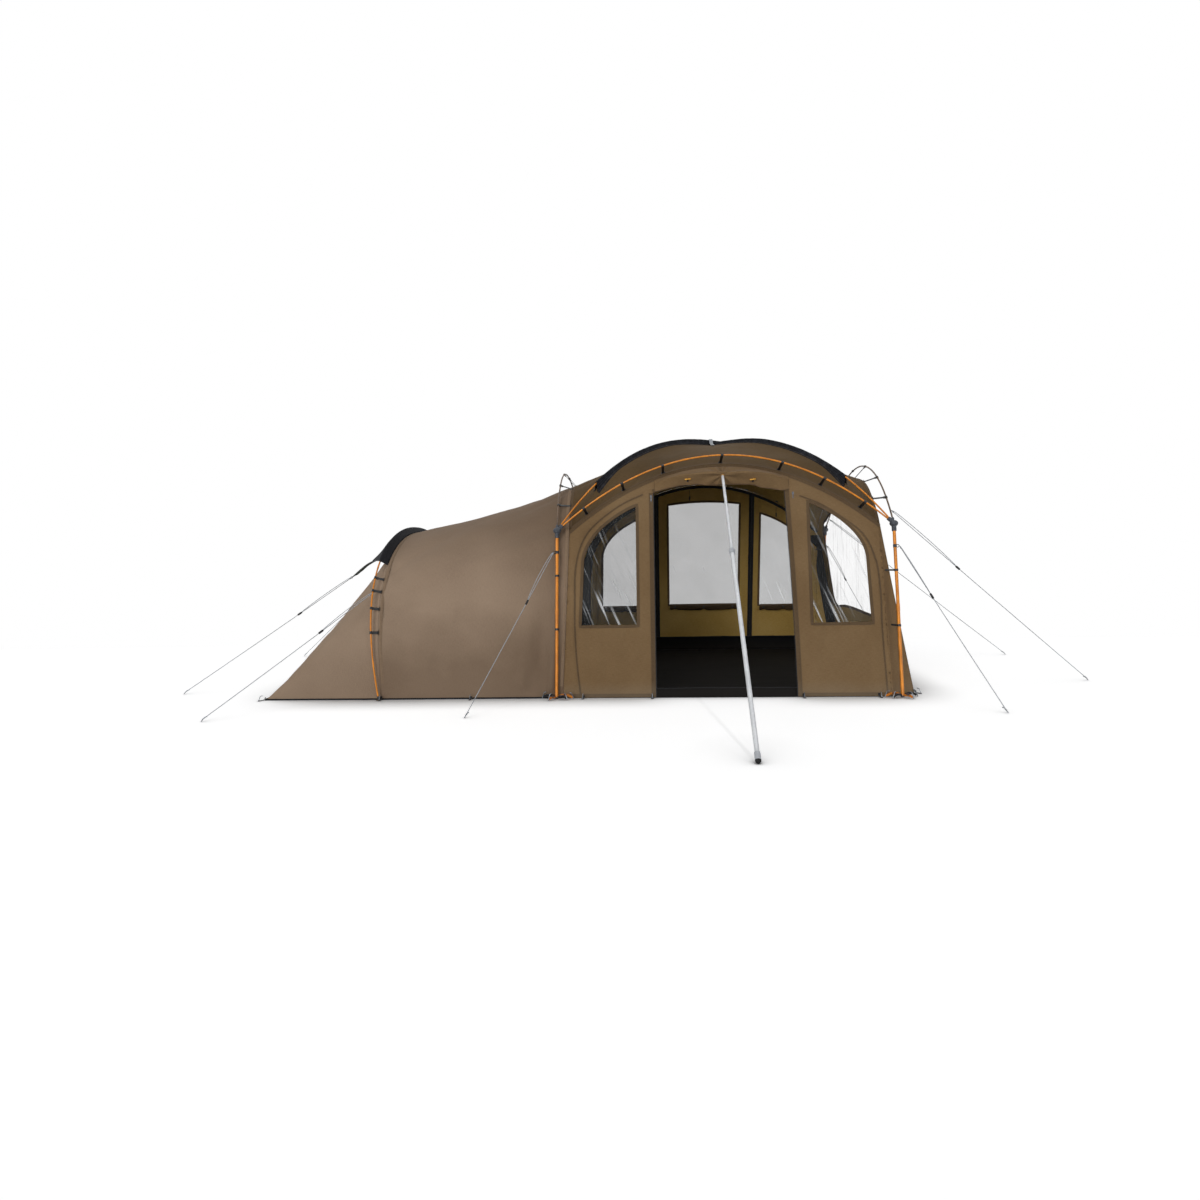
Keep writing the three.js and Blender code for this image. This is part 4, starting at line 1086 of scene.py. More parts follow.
@dataclass(frozen=True)
class WebbingFinish:
    """Flat woven webbing or sewing thread: ribs across its length and fuzzy edges."""

    name: str
    dark: str
    light: str
    rib: float = 0.0022

    def make(self) -> bpy.types.Material:
        """Return the webbing's material.

        Returns:
            The material.
        """
        p = Paint(self.name)
        grain = p.noise("Object", 420.0, 2.0)
        colour = p.ramp(p.sums(p.sums(grain, 0.6, "MULTIPLY"),
                               p.sums(p.noise("Object", 9.0), 0.4, "MULTIPLY")),
                        [(0.35, self.dark), (0.66, self.light)])
        ribs = p.bands("Object", band_scale(self.rib), "DIAGONAL", 1.0)
        normal = p.bump(ribs, 0.0004, 0.5, p.bump(grain, 0.0002, 0.4))
        return p.finish(Base_Color=colour, Roughness=0.82, Normal=normal, Specular_IOR_Level=0.3,
                        Sheen_Weight=0.2)


@dataclass(frozen=True)
class TubeFinish:
    """Anodised or drawn metal tube: long draw lines, handling marks and rubbed highlights."""

    name: str
    deep: str
    base: str
    metallic: float
    roughness: float
    coat: float = 0.0

    def make(self) -> bpy.types.Material:
        """Return the tube's material.

        Returns:
            The material.
        """
        p = Paint(self.name)
        cloudy = p.noise("Object", 11.0, 5.0)
        marks = p.noise("Object", 90.0, 4.0, (1.0, 1.0, 0.08))
        rubbed = p.span(p.sums(cloudy, marks, "MULTIPLY"), (0.16, 0.4), (0.0, 1.0))
        colour = p.mix(rubbed, hexed(self.deep), hexed(self.base))
        rough = p.span(marks, (0.3, 0.7), (self.roughness - 0.07, self.roughness + 0.12))
        normal = p.bump(p.noise("Object", 500.0, 2.0, (1.0, 1.0, 0.03)), 0.0001, 0.35)
        return p.finish(Base_Color=colour, Roughness=rough, Normal=normal, Metallic=self.metallic,
                        Coat_Weight=self.coat, Coat_Roughness=0.2)


@dataclass(frozen=True)
class MouldedFinish:
    """Moulded plastic or rubber: fine sparked grain, scuffs and paler rubbed patches."""

    name: str
    base: str
    scuff: str
    roughness: float = 0.5
    grain: float = 0.00015

    def make(self) -> bpy.types.Material:
        """Return the moulded material.

        Returns:
            The material.
        """
        p = Paint(self.name)
        scuffs = p.span(p.noise("Object", 60.0, 6.0), (0.52, 0.72), (0.0, 0.7))
        colour = p.mix(scuffs, hexed(self.base), hexed(self.scuff))
        rough = p.span(p.noise("Object", 35.0, 4.0), (0.3, 0.7),
                       (self.roughness - 0.1, self.roughness + 0.12))
        normal = p.bump(p.noise("Object", 1400.0, 2.0), self.grain, 0.5)
        return p.finish(Base_Color=colour, Roughness=rough, Normal=normal, Specular_IOR_Level=0.45)


@dataclass(frozen=True)
class FilmFinish:
    """Clear flexible film: see-through, with whitish streaks that are partly crease marks from rolling and
    partly painted reflection, and a soft gloss.
    """

    name: str
    tint: str
    haze: float
    streak_and_glint: float

    def make(self) -> bpy.types.Material:
        """Return the film's material.

        Returns:
            The material.
        """
        p = Paint(self.name)
        turned = p.add("ShaderNodeMapping", {"Vector": p.coords["UV"], "Rotation": (0.0, 0.0, -0.4)})
        drawn = p.add("ShaderNodeMapping", {"Vector": turned.outputs[0], "Scale": (34.0, 1.5, 1.0)})
        lines = p.add("ShaderNodeTexNoise", {"Vector": drawn.outputs[0], "Scale": 1.0, "Detail": 3.0,
                                             "Roughness": 0.55}).outputs[0]
        patch = p.span(p.noise("UV", 2.6, 2.0), (0.36, 0.62), (0.0, 1.0))
        streaks_and_glints = p.sums(p.span(lines, (0.56, 0.7), (0.0, 1.0)), patch, "MULTIPLY")
        alpha = p.sums(p.span(streaks_and_glints, (0, 1), (self.haze, self.haze + self.streak_and_glint)),
                       p.span(p.noise("UV", 2.2), (0.3, 0.7), (-0.02, 0.02)))
        # Painted reflection: the streaks are mixed towards near-white and made less clear, also where they
        # are crease marks.
        colour = p.mix(streaks_and_glints, hexed(self.tint), hexed("f4f6f7"))
        normal = p.bump(lines, 0.002, 0.4, p.bump(p.noise("UV", 5.0, 2.0), 0.006, 0.4))
        return p.finish(Base_Color=colour, Roughness=0.16, Normal=normal, Alpha=alpha,
                        Specular_IOR_Level=0.25)


@dataclass(frozen=True)
class BraidFinish:
    """Braided guy line with a reflective tracer yarn."""

    name: str
    yarn: str
    tracer: str

    def make(self) -> bpy.types.Material:
        """Return the line's material.

        Returns:
            The material.
        """
        p = Paint(self.name)
        stripes = p.bands("Object", 60.0, "DIAGONAL", 2.5, Detail=2.0)
        colour = p.ramp(stripes, [(0.3, self.yarn), (0.75, self.tracer)])
        normal = p.bump(stripes, 0.0004, 0.8, p.bump(p.noise("Object", 900.0), 0.0002, 0.5))
        return p.finish(Base_Color=colour, Roughness=0.6, Normal=normal, Sheen_Weight=0.2)


class Finish(Enum):
    """Every finish on the tent, with the record's slot that it belongs to."""

    # CANVAS, TUNNEL and TAIL are one tan fabric in lit and shaded copies: the dome's darker tones are painted
    # shade, the tunnel's and tail's paler tones painted light, and their darker foot and the tunnel's ramps
    # painted shade.
    CANVAS = ("canvas", ClothFinish("tan dome canvas painted shade", "685238", "775f42", "846c4e"))
    TUNNEL = ("canvas", ClothFinish("tan tunnel canvas painted light and shade", "877260", "97826e", "a38d78", foot="5d4a38",
                                    foot_dust_and_shade_share=0.5,
                                    foot_dust_and_shade_height=0.5, painted_shades=((2, 0.95, 1.42, 0.42), (0, -2.0, -1.35, 0.38))))
    TAIL = ("canvas", ClothFinish("tan tail canvas painted light and shade", "877260", "97826e", "a38d78", foot="5d4a38",
                                  foot_dust_and_shade_share=0.16,
                                  foot_dust_and_shade_height=0.3))
    # The roof is the same canvas in a darker copy: painted shade on its upward-facing cloth.
    ROOF = ("canvas", ClothFinish("roof canvas painted shade", "473824", "55432b", "634f35", ripple=0.005))
    BINDING = ("canvas", ClothFinish("seam binding", "4e3e2b", "5b4935", "67553f", weave=0.0012,
                                     ripple=0.001))
    TUNNEL_TAPE = ("canvas", ClothFinish("tunnel seam tape", "77634f", "846f5a", "8f7a65", weave=0.0012,
                                         ripple=0.001))
    # The lining's mustard is partly the cloth's inner tone and partly painted light: a brighter colour that
    # stands in for light shining through the canvas.
    LINING = ("inner_cloth", ClothFinish("mustard lining with painted glow", "8c7038", "a68748", "b7995c", sheen=0.05,
                                         foot_dust_and_shade_share=0.0))
    HOOD = ("black_canvas", ClothFinish("black hood canvas", "121214", "1a1a1d", "26262a", foot_dust_and_shade_share=0.0))
    BRIM = ("black_canvas", ClothFinish("hood underside", "30352f", "3c423c", "4a514a", foot_dust_and_shade_share=0.0))
    CABIN = ("inner_cloth", ClothFinish("dark cabin cloth", "0c0b09", "12110f", "1c1a18", foot_dust_and_shade_share=0.0))
    ROLL = ("inner_cloth", ClothFinish("rolled blind", "2b2116", "3a2d1e", "4a3b29", ripple=0.003,
                                       foot_dust_and_shade_share=0.0))
    FLOOR = ("groundsheet", ClothFinish("black groundsheet", "060607", "09090b", "0f0f12", weave=0.006,
                                        depth=0.0001,
                                        roughness=0.88, ripple=0.004, sheen=0.0, foot_dust_and_shade_share=0.03))
    NET = ("inner_cloth", MeshFinish("insect mesh", "050504", "100e0c", 0.0022, 0.99))
    SLEEVE = ("black_canvas", MeshFinish("sleeve mesh", "0b0b0e", "34363c", 0.0045))
    BLACK_WEB = ("black_canvas", WebbingFinish("black webbing", "0b0b0c", "1d1d20"))
    GREY_WEB = ("black_canvas", WebbingFinish("grey webbing", "8d9298", "b9bdc2"))
    TAN_WEB = ("canvas", WebbingFinish("tan webbing", "a98a5c", "cdb083"))
    ORANGE_WEB = ("canvas", WebbingFinish("orange webbing", "b8641a", "e08a2c"))
    THREAD = ("canvas", WebbingFinish("sewing thread", "57483a", "75634f", 0.0008))
    ORANGE = ("orange_pole", TubeFinish("orange anodised tube", "bd6f08", "ea9018", 0.15, 0.42, 0.1))
    BRONZE = ("grey_pole", TubeFinish("bronze tube", "4c4036", "7b6148", 0.6, 0.4))
    SILVER = ("alloy", TubeFinish("drawn alloy", "cfd1d4", "e2e4e6", 0.3, 0.5))
    STEEL = ("guy_cord", TubeFinish("plated steel peg", "5b5e63", "a3a7ac", 0.9, 0.38))
    BRASS = ("zip_metal", TubeFinish("brass toggle", "8f6526", "d9a44e", 0.9, 0.3))
    ZIP = ("zip_metal", TubeFinish("plated zip slider", "3c3e43", "7f8389", 0.7, 0.38))
    HUB = ("hub_grey", MouldedFinish("grey nylon hub", "3a3e45", "5d626c", 0.55))
    NYLON = ("hub_grey", MouldedFinish("pale nylon fitting", "b4b7bc", "cfd2d6", 0.5))
    PLASTIC = ("black_plastic", MouldedFinish("black plastic", "101012", "2b2b2e", 0.45))
    RUBBER = ("rubber", MouldedFinish("black rubber", "151516", "2c2c2d", 0.85, 0.0003))
    FILM = ("clear_film", FilmFinish("clear window film", "9a9da0", 0.025, 0.42))
    HAZY = ("clear_film", FilmFinish("rear window film", "8d9092", 0.34, 0.04))
    LINE = ("guy_cord", BraidFinish("guy line braid", "83878d", "bfc3c8"))

    def __init__(self, slot: str, recipe: object) -> None:
        """Keep the record's slot and the recipe."""
        self.slot = slot
        self.recipe = recipe


class Wardrobe:
    """Makes each finish once and dresses pieces in it."""

    made: dict[Finish, bpy.types.Material] = {}

    @classmethod
    def material(cls, finish: Finish) -> bpy.types.Material:
        """Return the material of a finish.

        Args:
            finish: The finish.

        Returns:
            The material, made once.
        """
        if finish not in cls.made:
            cls.made[finish] = finish.recipe.make()
        return cls.made[finish]

    @classmethod
    def cover(cls, obj: Object, finishes: Iterable[Finish]) -> None:
        """Add the materials of the finishes to a piece."""
        for finish in finishes:
            obj.data.materials.append(cls.material(finish))

    @classmethod
    def dress(cls, obj: Object, *finishes: Finish, body: str = "tent", node: str = "") -> Object:
        """Give a piece its materials, the body that it rides on and the node that it replaces.

        Args:
            obj: The piece.
            body: Body that it rides on.
            node: The frame's node that it replaces.
            finishes: Its finishes, in the order of its slots.

        Returns:
            The piece.
        """
        if not obj.data.materials:
            cls.cover(obj, finishes)
        if body:
            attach(obj, body)
        if node:
            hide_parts(node)
        log.info("%s rides on %s", obj.name, body or "two bodies")
        return obj


# ---------------------------------------------------------------- node trees for what repeats


class RowShape(Enum):
    """What is set in a row along a path."""

    STITCH = "stitch"
    TOOTH = "tooth"


class Grower(Layout):
    """A geometry node tree that makes poles, or rows of stitches or teeth, along lines."""

    def __init__(self, name: str, sizes: dict[str, float | int]) -> None:
        """Start a tree whose named inputs have the given defaults.

        Args:
            name: Name of the tree.
            sizes: Names and defaults of its inputs.
        """
        super().__init__(bpy.data.node_groups.new(name, "GeometryNodeTree"))
        face = self.tree.interface
        face.new_socket("Geometry", in_out="INPUT", socket_type="NodeSocketGeometry")
        for label, value in sizes.items():
            kind = "NodeSocketInt" if isinstance(value, int) else "NodeSocketFloat"
            face.new_socket(label, in_out="INPUT", socket_type=kind).default_value = value
        face.new_socket("Material", in_out="INPUT", socket_type="NodeSocketMaterial")
        face.new_socket("Geometry", in_out="OUTPUT", socket_type="NodeSocketGeometry")
        self.size = self.add("NodeGroupInput").outputs
        self.end = self.add("NodeGroupOutput").inputs[0]
        self.line = self.add("GeometryNodeMeshToCurve", {0: self.size["Geometry"]}).outputs[0]

    def points(self, pitch: str) -> bpy.types.NodeOutputs:
        """Return the sockets of points that are spread along the line at a named pitch."""
        return self.add("GeometryNodeCurveToPoints", {"Curve": self.line, "Length": self.size[pitch]},
                        mode="LENGTH").outputs

    def close(self, geometry: Socket) -> bpy.types.NodeTree:
        """Realise what was made, give it its material and finish the tree.

        Args:
            geometry: What was made.

        Returns:
            The tree.
        """
        real = self.add("GeometryNodeRealizeInstances", {0: geometry}).outputs[0]
        dressed = self.add("GeometryNodeSetMaterial", {0: real, "Material": self.size["Material"]})
        self.feed(self.end, dressed.outputs[0])
        return self.tree


def pole_tree() -> bpy.types.NodeTree:
    """Return the tree that sweeps a pole along its line and sets ferrules on its joints.

    Returns:
        The tree.
    """
    t = Grower("pole", {"Radius": PLAN.pole_radius, "Sides": 20, "Section": 0.62, "Ferrule": 0.05,
                        "Swell": 1.12})
    ring = t.add("GeometryNodeCurvePrimitiveCircle",
                 {"Resolution": t.size["Sides"], "Radius": t.size["Radius"]})
    swept = t.add("GeometryNodeCurveToMesh",
                  {"Curve": t.line, "Profile Curve": ring.outputs[0], "Fill Caps": True})
    joints = t.points("Section")
    swollen = t.sums(t.size["Radius"], t.size["Swell"], "MULTIPLY")
    sizes = {"Vertices": t.size["Sides"], "Depth": t.size["Ferrule"], "Radius": swollen}
    sleeve = t.add("GeometryNodeMeshCylinder", sizes)
    index = t.add("GeometryNodeInputIndex").outputs[0]
    count = t.add("GeometryNodeAttributeDomainSize", {0: joints["Points"]}, component="POINTCLOUD").outputs[0]
    bounds = ((0, "GREATER_THAN"), (t.sums(count, 1.0, "SUBTRACT"), "LESS_THAN"))
    tests = [t.add("FunctionNodeCompare", {2: index, 3: bound}, data_type="INT", operation=way).outputs[0]
             for bound, way in bounds]
    within = t.add("FunctionNodeBooleanMath", dict(enumerate(tests)), operation="AND").outputs[0]
    set_on = t.add("GeometryNodeInstanceOnPoints", {"Points": joints["Points"], "Selection": within,
                                                    "Instance": sleeve.outputs[0],
                                                    "Rotation": joints["Rotation"]})
    both = t.add("GeometryNodeJoinGeometry", {0: swept.outputs[0]})
    t.feed(both.inputs[0], set_on.outputs[0])
    return t.close(t.add("GeometryNodeSetShadeSmooth", {0: both.outputs[0]}).outputs[0])


def row_tree(shape: RowShape) -> bpy.types.NodeTree:
    """Return the tree that sets stitches or zip teeth in a row along each of its paths.

    Args:
        shape: What is set in the row.

    Returns:
        The tree.
    """
    t = Grower(shape.value + " row", {"Pitch": 0.01, "Length": 0.007, "Width": 0.001, "Height": 0.001})
    spots = t.points("Pitch")
    size = t.add("ShaderNodeCombineXYZ",
                 {0: t.size["Width"], 1: t.size["Height"], 2: t.size["Length"]}).outputs[0]
    if shape is RowShape.STITCH:
        one = t.add("GeometryNodeMeshCylinder", {"Vertices": 5, "Radius": 0.5, "Depth": 1.0})
    else:
        one = t.add("GeometryNodeMeshCube", {"Size": (1.0, 1.0, 1.0)})
    set_on = t.add("GeometryNodeInstanceOnPoints", {"Points": spots["Points"], "Instance": one.outputs[0],
                                                    "Rotation": spots["Rotation"], "Scale": size})
    return t.close(set_on.outputs[0])


def grown(name: str, lines: Sequence[Array], tree: bpy.types.NodeTree, finish: Finish, node: str = "",
          **sizes: float | int) -> Object:
    """Run a node tree along lines and keep its result as a plain mesh.

    Args:
        name: Name of the piece.
        lines: Each path's points.
        tree: The node tree.
        finish: The finish of the whole piece.
        node: The frame's node that it replaces.
        **sizes: The tree's named sizes.

    Returns:
        The dressed piece.
    """
    mesh = bpy.data.meshes.new(name)
    points, edges = [], []
    for line in lines:
        edges += [(len(points) + k, len(points) + k + 1) for k in range(len(line) - 1)]
        points += np.asarray(line, float).tolist()
    mesh.from_pydata(points, edges, [])
    obj = linked(bpy.data.objects.new(name, mesh))
    if "section" in sizes:
        run = run_of(lines[0])
        sizes["section"] = run / (round(run / sizes["section"]) + 0.01)
    values = {**sizes, "material": Wardrobe.material(finish)}
    grower = obj.modifiers.new("grow", "NODES")
    grower.node_group = tree
    for item in tree.interface.items_tree:
        if item.in_out == "INPUT" and item.name.lower() in values:
            grower[item.identifier] = values[item.name.lower()]
    sharpen(baked(obj))
    return Wardrobe.dress(obj, finish, node=node)


@dataclass
class Sewing:
    """Rows of stitches, laid down at the end as one piece."""

    pitch: float = 0.012
    length: float = 0.0075
    thread: float = 0.0013
    rows: list[Array] = field(default_factory=list)

    def finish(self) -> None:
        """Make every row that was sewn."""
        grown("stitching", self.rows, row_tree(RowShape.STITCH), Finish.THREAD, pitch=self.pitch,
              length=self.length,
              width=self.thread, height=self.thread)


# ---------------------------------------------------------------- stage


@dataclass
class Stage:
    """The camera, a plain pale floor with a painted contact shadow, and soft light."""

    eye: Point = (-0.5559, -7.2218, 1.209)
    right: Point = (0.99718, 0.07226, -0.02025)
    up: Point = (0.01496, 0.07293, 0.99722)
    ahead: Point = (-0.07354, 0.99471, -0.07164)
    lens: float = 22.2
    sensor: float = 36.0
    floor_half: float = 30.0
    floor_level: float = -0.0005
    floor_glow: float = 0.66
    painted_shadow_reach: float = 0.45
    painted_shadow_dark: float = 0.58
    floor_fade: tuple[float, float] = (1.5, 2.1)
    low_sky: float = 0.64
    high_sky: float = 0.1
    lamps: tuple[tuple[str, Point, float, float], ...] = (
        ("key", (-3.5, -8.0, 1.9), 1.35, 34.0), ("fill", (6.0, -7.0, 2.0), 0.3, 40.0),
        ("overhead", (1.2, 0.5, 9.0), 0.36, 1.6),
    )

    def camera(self) -> None:
        """Set up the camera."""
        data = bpy.data.cameras.new("camera")
        data.lens, data.sensor_width, data.clip_end = self.lens, self.sensor, 200.0
        camera = linked(bpy.data.objects.new("camera", data))
        turn = Matrix((self.right, self.up, tuple(-c for c in self.ahead))).transposed().to_4x4()
        camera.matrix_world = Matrix.Translation(self.eye) @ turn
        bpy.context.scene.camera = camera

    def floor(self) -> None:
        """Lay the floor: it keeps the lamps' shadows, has a painted contact shadow where its glow is dimmed
        by ambient occlusion near the tent, and is otherwise as white as the backdrop.
        """
        h = self.floor_half
        corners = [(x, y, self.floor_level) for x, y in ((-h, -h), (h, -h), (h, h), (-h, h))]
        obj = piece("floor", np.array(corners), [(0, 1, 2, 3)])
        p = Paint("pale floor")
        p.finish(Base_Color=hexed("dcdcdc"), Roughness=0.9, Specular_IOR_Level=0.1)
        seen = p.seen()
        # Painted shadow: the floor's glow is dimmed by ambient occlusion near the tent.
        painted_shadow_ao = p.add("ShaderNodeAmbientOcclusion", {"Distance": self.painted_shadow_reach}).outputs["AO"]
        glow = p.sums(p.span(painted_shadow_ao, (self.painted_shadow_dark, 1.0), (0.0, self.floor_glow)), seen, "MULTIPLY")
        glow = p.add("ShaderNodeEmission", {"Color": WHITE, "Strength": glow})
        both = p.add("ShaderNodeAddShader", {0: p.shader.outputs[0], 1: glow.outputs[0]})
        behind = p.sums(p.span(p.along(1), self.floor_fade, (0.0, 1.0)), seen, "MULTIPLY")
        plain = p.add("ShaderNodeEmission", {"Color": WHITE, "Strength": 1.0})
        faded = p.add("ShaderNodeMixShader", {0: behind, 1: both.outputs[0], 2: plain.outputs[0]})
        p.feed(p.out, faded.outputs[0])
        obj.data.materials.append(p.material)
        obj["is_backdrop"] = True

    def world(self) -> None:
        """Light the sky evenly, and show it plain white to the eye, to glass and to metal."""
        world = bpy.data.worlds.new("sky")
        world.use_nodes = True
        sky = Layout(world.node_tree)
        place = sky.add("ShaderNodeTexCoord").outputs["Generated"]
        height = sky.add("ShaderNodeSeparateXYZ", {0: place}).outputs[2]
        strength = sky.span(height, (0.0, 1.0), (self.low_sky, self.high_sky))
        soft = sky.add("ShaderNodeBackground", {0: (0.97, 0.985, 1.0, 1.0), 1: strength})
        plain = sky.add("ShaderNodeBackground", {0: WHITE, 1: 1.0})
        mix = sky.add("ShaderNodeMixShader", {0: sky.seen(), 1: soft.outputs[0], 2: plain.outputs[0]})
        sky.add("ShaderNodeOutputWorld", {0: mix.outputs[0]})
        bpy.context.scene.world = world

    def light(self) -> None:
        """Set up the sky and the soft lamps: each one's name, place, strength and width in degrees."""
        self.world()
        for name, place, strength, spread in self.lamps:
            data = bpy.data.lights.new(name, "SUN")
            data.energy, data.angle = strength, math.radians(spread)
            lamp = linked(bpy.data.objects.new(name, data))
            lamp.rotation_euler = Vector(place).to_track_quat("Z", "Y").to_euler()
        bpy.context.scene.view_settings.view_transform = "Standard"


# ---------------------------------------------------------------- guy lines


def hooked(shank: Sequence[Array], head: Array, over: Array, radius: float, tip: float, count: int) -> Array:
    """Return points of a bent rod.

    Args:
        shank: Points of its straight part below the head.
        head: Where it starts to bend.
        over: Direction that it bends to.
        radius: Radius of the bend.
        tip: Length of the straight tip.
        count: Points of the bend.

    Returns:
        Points from its foot to its tip.
    """
    turn = np.linspace(0, math.pi / 2, count)[:, None]
    hook = head + radius * (np.sin(turn) * unit(head - shank[0]) + (1 - np.cos(turn)) * over)
    return np.vstack([*shank, hook, hook[-1] + tip * over])


@dataclass
class GuyLine:
    """A taut line from its eye on the tent to its peg, with its knots, return strand and runner."""

    name: str
    start: Array
    ground: Array
    diameter: float = 0.0058
    sag: float = 0.004
    runner_share: float = 0.33
    runner_length: float = 0.046
    runner_radius: float = 0.009
    peg_length: float = 0.07
    peg_radius: float = 0.0035
    peg_lean: float = 1.1
    peg_shift: float = 0.006
    peg_rise: float = 0.003
    tied_share: float = 0.4
    bend_share: float = 0.55
    steps: int = 24

    def __post_init__(self) -> None:
        """Work out the peg's lean and where the line is tied to it."""
        self.flat = unit((self.ground - self.start) * (1, 1, 0))
        self.peg_way = -unit(self.flat + (0, 0, -self.peg_lean))
        self.foot = self.ground + self.flat * self.peg_shift
        self.tied = self.foot + self.peg_way * self.peg_length * self.tied_share
        self.way = unit(self.tied - self.start)
        self.side = unit(np.cross(self.way, Z_WAY))
        self.over = np.cross(self.side, self.way)
        self.grip = self.point(np.array([self.runner_share]))[0]

    def point(self, t: Array) -> Array:
        """Return points of the line, a share t of the way down it."""
        return lerp(self.start, self.tied, t[:, None]) - (self.sag * 4 * t * (1 - t))[:, None] * Z_WAY

    def build(self) -> None:
        """Make the line and everything on it."""
        path = self.point(np.linspace(0, 1, self.steps))
        curve = bpy.data.curves.new("guy_line_" + self.name, "CURVE")
        curve.dimensions = "3D"
        curve.bevel_depth, curve.bevel_resolution, curve.use_fill_caps = self.diameter / 2, 2, True
        spline = curve.splines.new("POLY")
        spline.points.add(len(path) - 1)
        for point, place in zip(spline.points, path):
            point.co = (*place, 1.0)
        line = linked(bpy.data.objects.new("guy_line_" + self.name, curve))
        Wardrobe.dress(line, Finish.LINE, node="guy_" + self.name)
        parts = [self.peg(), self.runner(), self.loop(), self.knots()]
        tuple(self.start)
        run_of(path)

    def peg(self) -> Object:
        """Make the steel peg: a rod whose hook bends over towards the tent.

        Returns:
            The peg.
        """
        bend = self.foot + self.peg_way * self.peg_length * self.bend_share
        floor = self.foot - self.peg_way * ((self.foot[2] - self.peg_rise) / self.peg_way[2])
        rod = hooked([floor, lerp(floor, bend, 0.5)], bend, -self.flat, 0.006, 0.01, 7)
        heap = Heap()
        heap.tube(rod, self.peg_radius, 10, self.side)
        return heap.build("peg_" + self.name, Finish.STEEL)

    def runner(self) -> Object:
        """Make the runner: a curved plastic grip with a waist and two collars round the line.

        Returns:
            The runner.
        """
        half, r = self.runner_length / 2, self.runner_radius
        flank = [(1.0, 0.0), (1.0, 0.6), (0.86, 0.86), (0.55, 0.84), (0.35, 0.62)]
        profile = [(-half * a, r * b) for a, b in flank] + [(half * a, r * b) for a, b in flank[::-1]]
        heap = Heap()
        heap.turned(profile, self.grip, self.way, 20)
        heap.block((half * 1.2, 0.003, r * 1.9), self.grip, self.way, self.over)
        body = "runner_" + self.name
        return heap.build("line_" + body, Finish.PLASTIC, body, body)

    def loop(self) -> Object:
        """Make the line's return strand, from the eye back to the runner.

        Returns:
            The strand.
        """
        t = np.linspace(0.0, 1.0, 28)[:, None]
        swell = np.maximum(np.sin(math.pi * (0.1 + 0.9 * t)), 0) ** 0.7 * smoothstep(t, -0.02, 0.05)
        bow = (self.side * 0.8 + self.over) * 0.015 * swell
        heap = Heap()
        heap.tube(lerp(self.start, self.grip, t) + bow - Z_WAY * self.sag * 3 * t * (1 - t),
                  self.diameter * 0.48, 8,
                  (0.3, 0.2, 1.0))
        obj = heap.build("line_return_" + self.name, Finish.LINE, "")
        tuple(self.start)
        tuple(self.grip)
        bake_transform(obj)
        return obj

    def knots(self) -> Object:
        """Make the knot at the eye and the bight round the peg.

        Returns:
            The piece.
        """
        heap = Heap()
        climb = self.way * np.linspace(0, 2 * math.pi, 17)[:, None] * 0.0005
        for k in range(4):
            centre = self.start + self.way * (0.012 + 0.0036 * k)
            heap.tube(circle(centre, 0.0042 * self.side, 0.0042 * self.over) + climb, 0.0017, 6, self.way)
        turn = np.linspace(-2.2, 2.2, 15)[:, None]
        bight = self.tied + 0.0062 * (np.cos(turn) * self.flat + np.sin(turn) * self.side)
        tail = self.tied - self.way * 0.05
        heap.tube(np.vstack([tail, bight, tail]), 0.0018, 6)
        return heap.build("line_knots_" + self.name, Finish.LINE)


def guy_lines() -> list[GuyLine]:
    """Return the ten guy lines, from the eyes on the legs, side arch, hoop and hood.

    Returns:
        The lines.
    """
    leg = PLAN.leg(1.17) + unit(vec(1, 1, 0)) * 0.0375
    side = PLAN.side_arch(np.array(0.9)) + (0.0079, 0, 0)
    hoop = PLAN.hoop(np.array(0.165)) - (0.0046, 0.0046, 0)
    hood = vec(PLAN.hood_tip[0] - 0.0009, -PLAN.hood_tip[1], PLAN.hood_tip[2])
    rows = [
        ("front_left", mirrored(leg, -1, -1), (-1.93, -2.06, 0)),
        ("front_right", mirrored(leg, 1, -1), (1.88, -1.96, 0)),
        ("rear_left", mirrored(leg, -1, 1), (-1.93, 2.06, 0)), ("rear_right", leg, (2.1, 1.6, 0)),
        ("side_front", mirrored(side, 1, -1), (3.09, -0.74, 0)), ("side_rear", side, (3.09, 0.74, 0)),
        ("hoop_front", hoop, (-3.85, -2.15, 0)), ("hoop_rear", mirrored(hoop, 1, -1), (-3.85, 2.15, 0)),
        ("hood_front", hood, (-4.66, -1.12, 0)), ("hood_rear", mirrored(hood, 1, -1), (-4.66, 1.12, 0)),
    ]
    return [GuyLine(name, eye, vec(*peg)) for name, eye, peg in rows]


# ---------------------------------------------------------------- frame


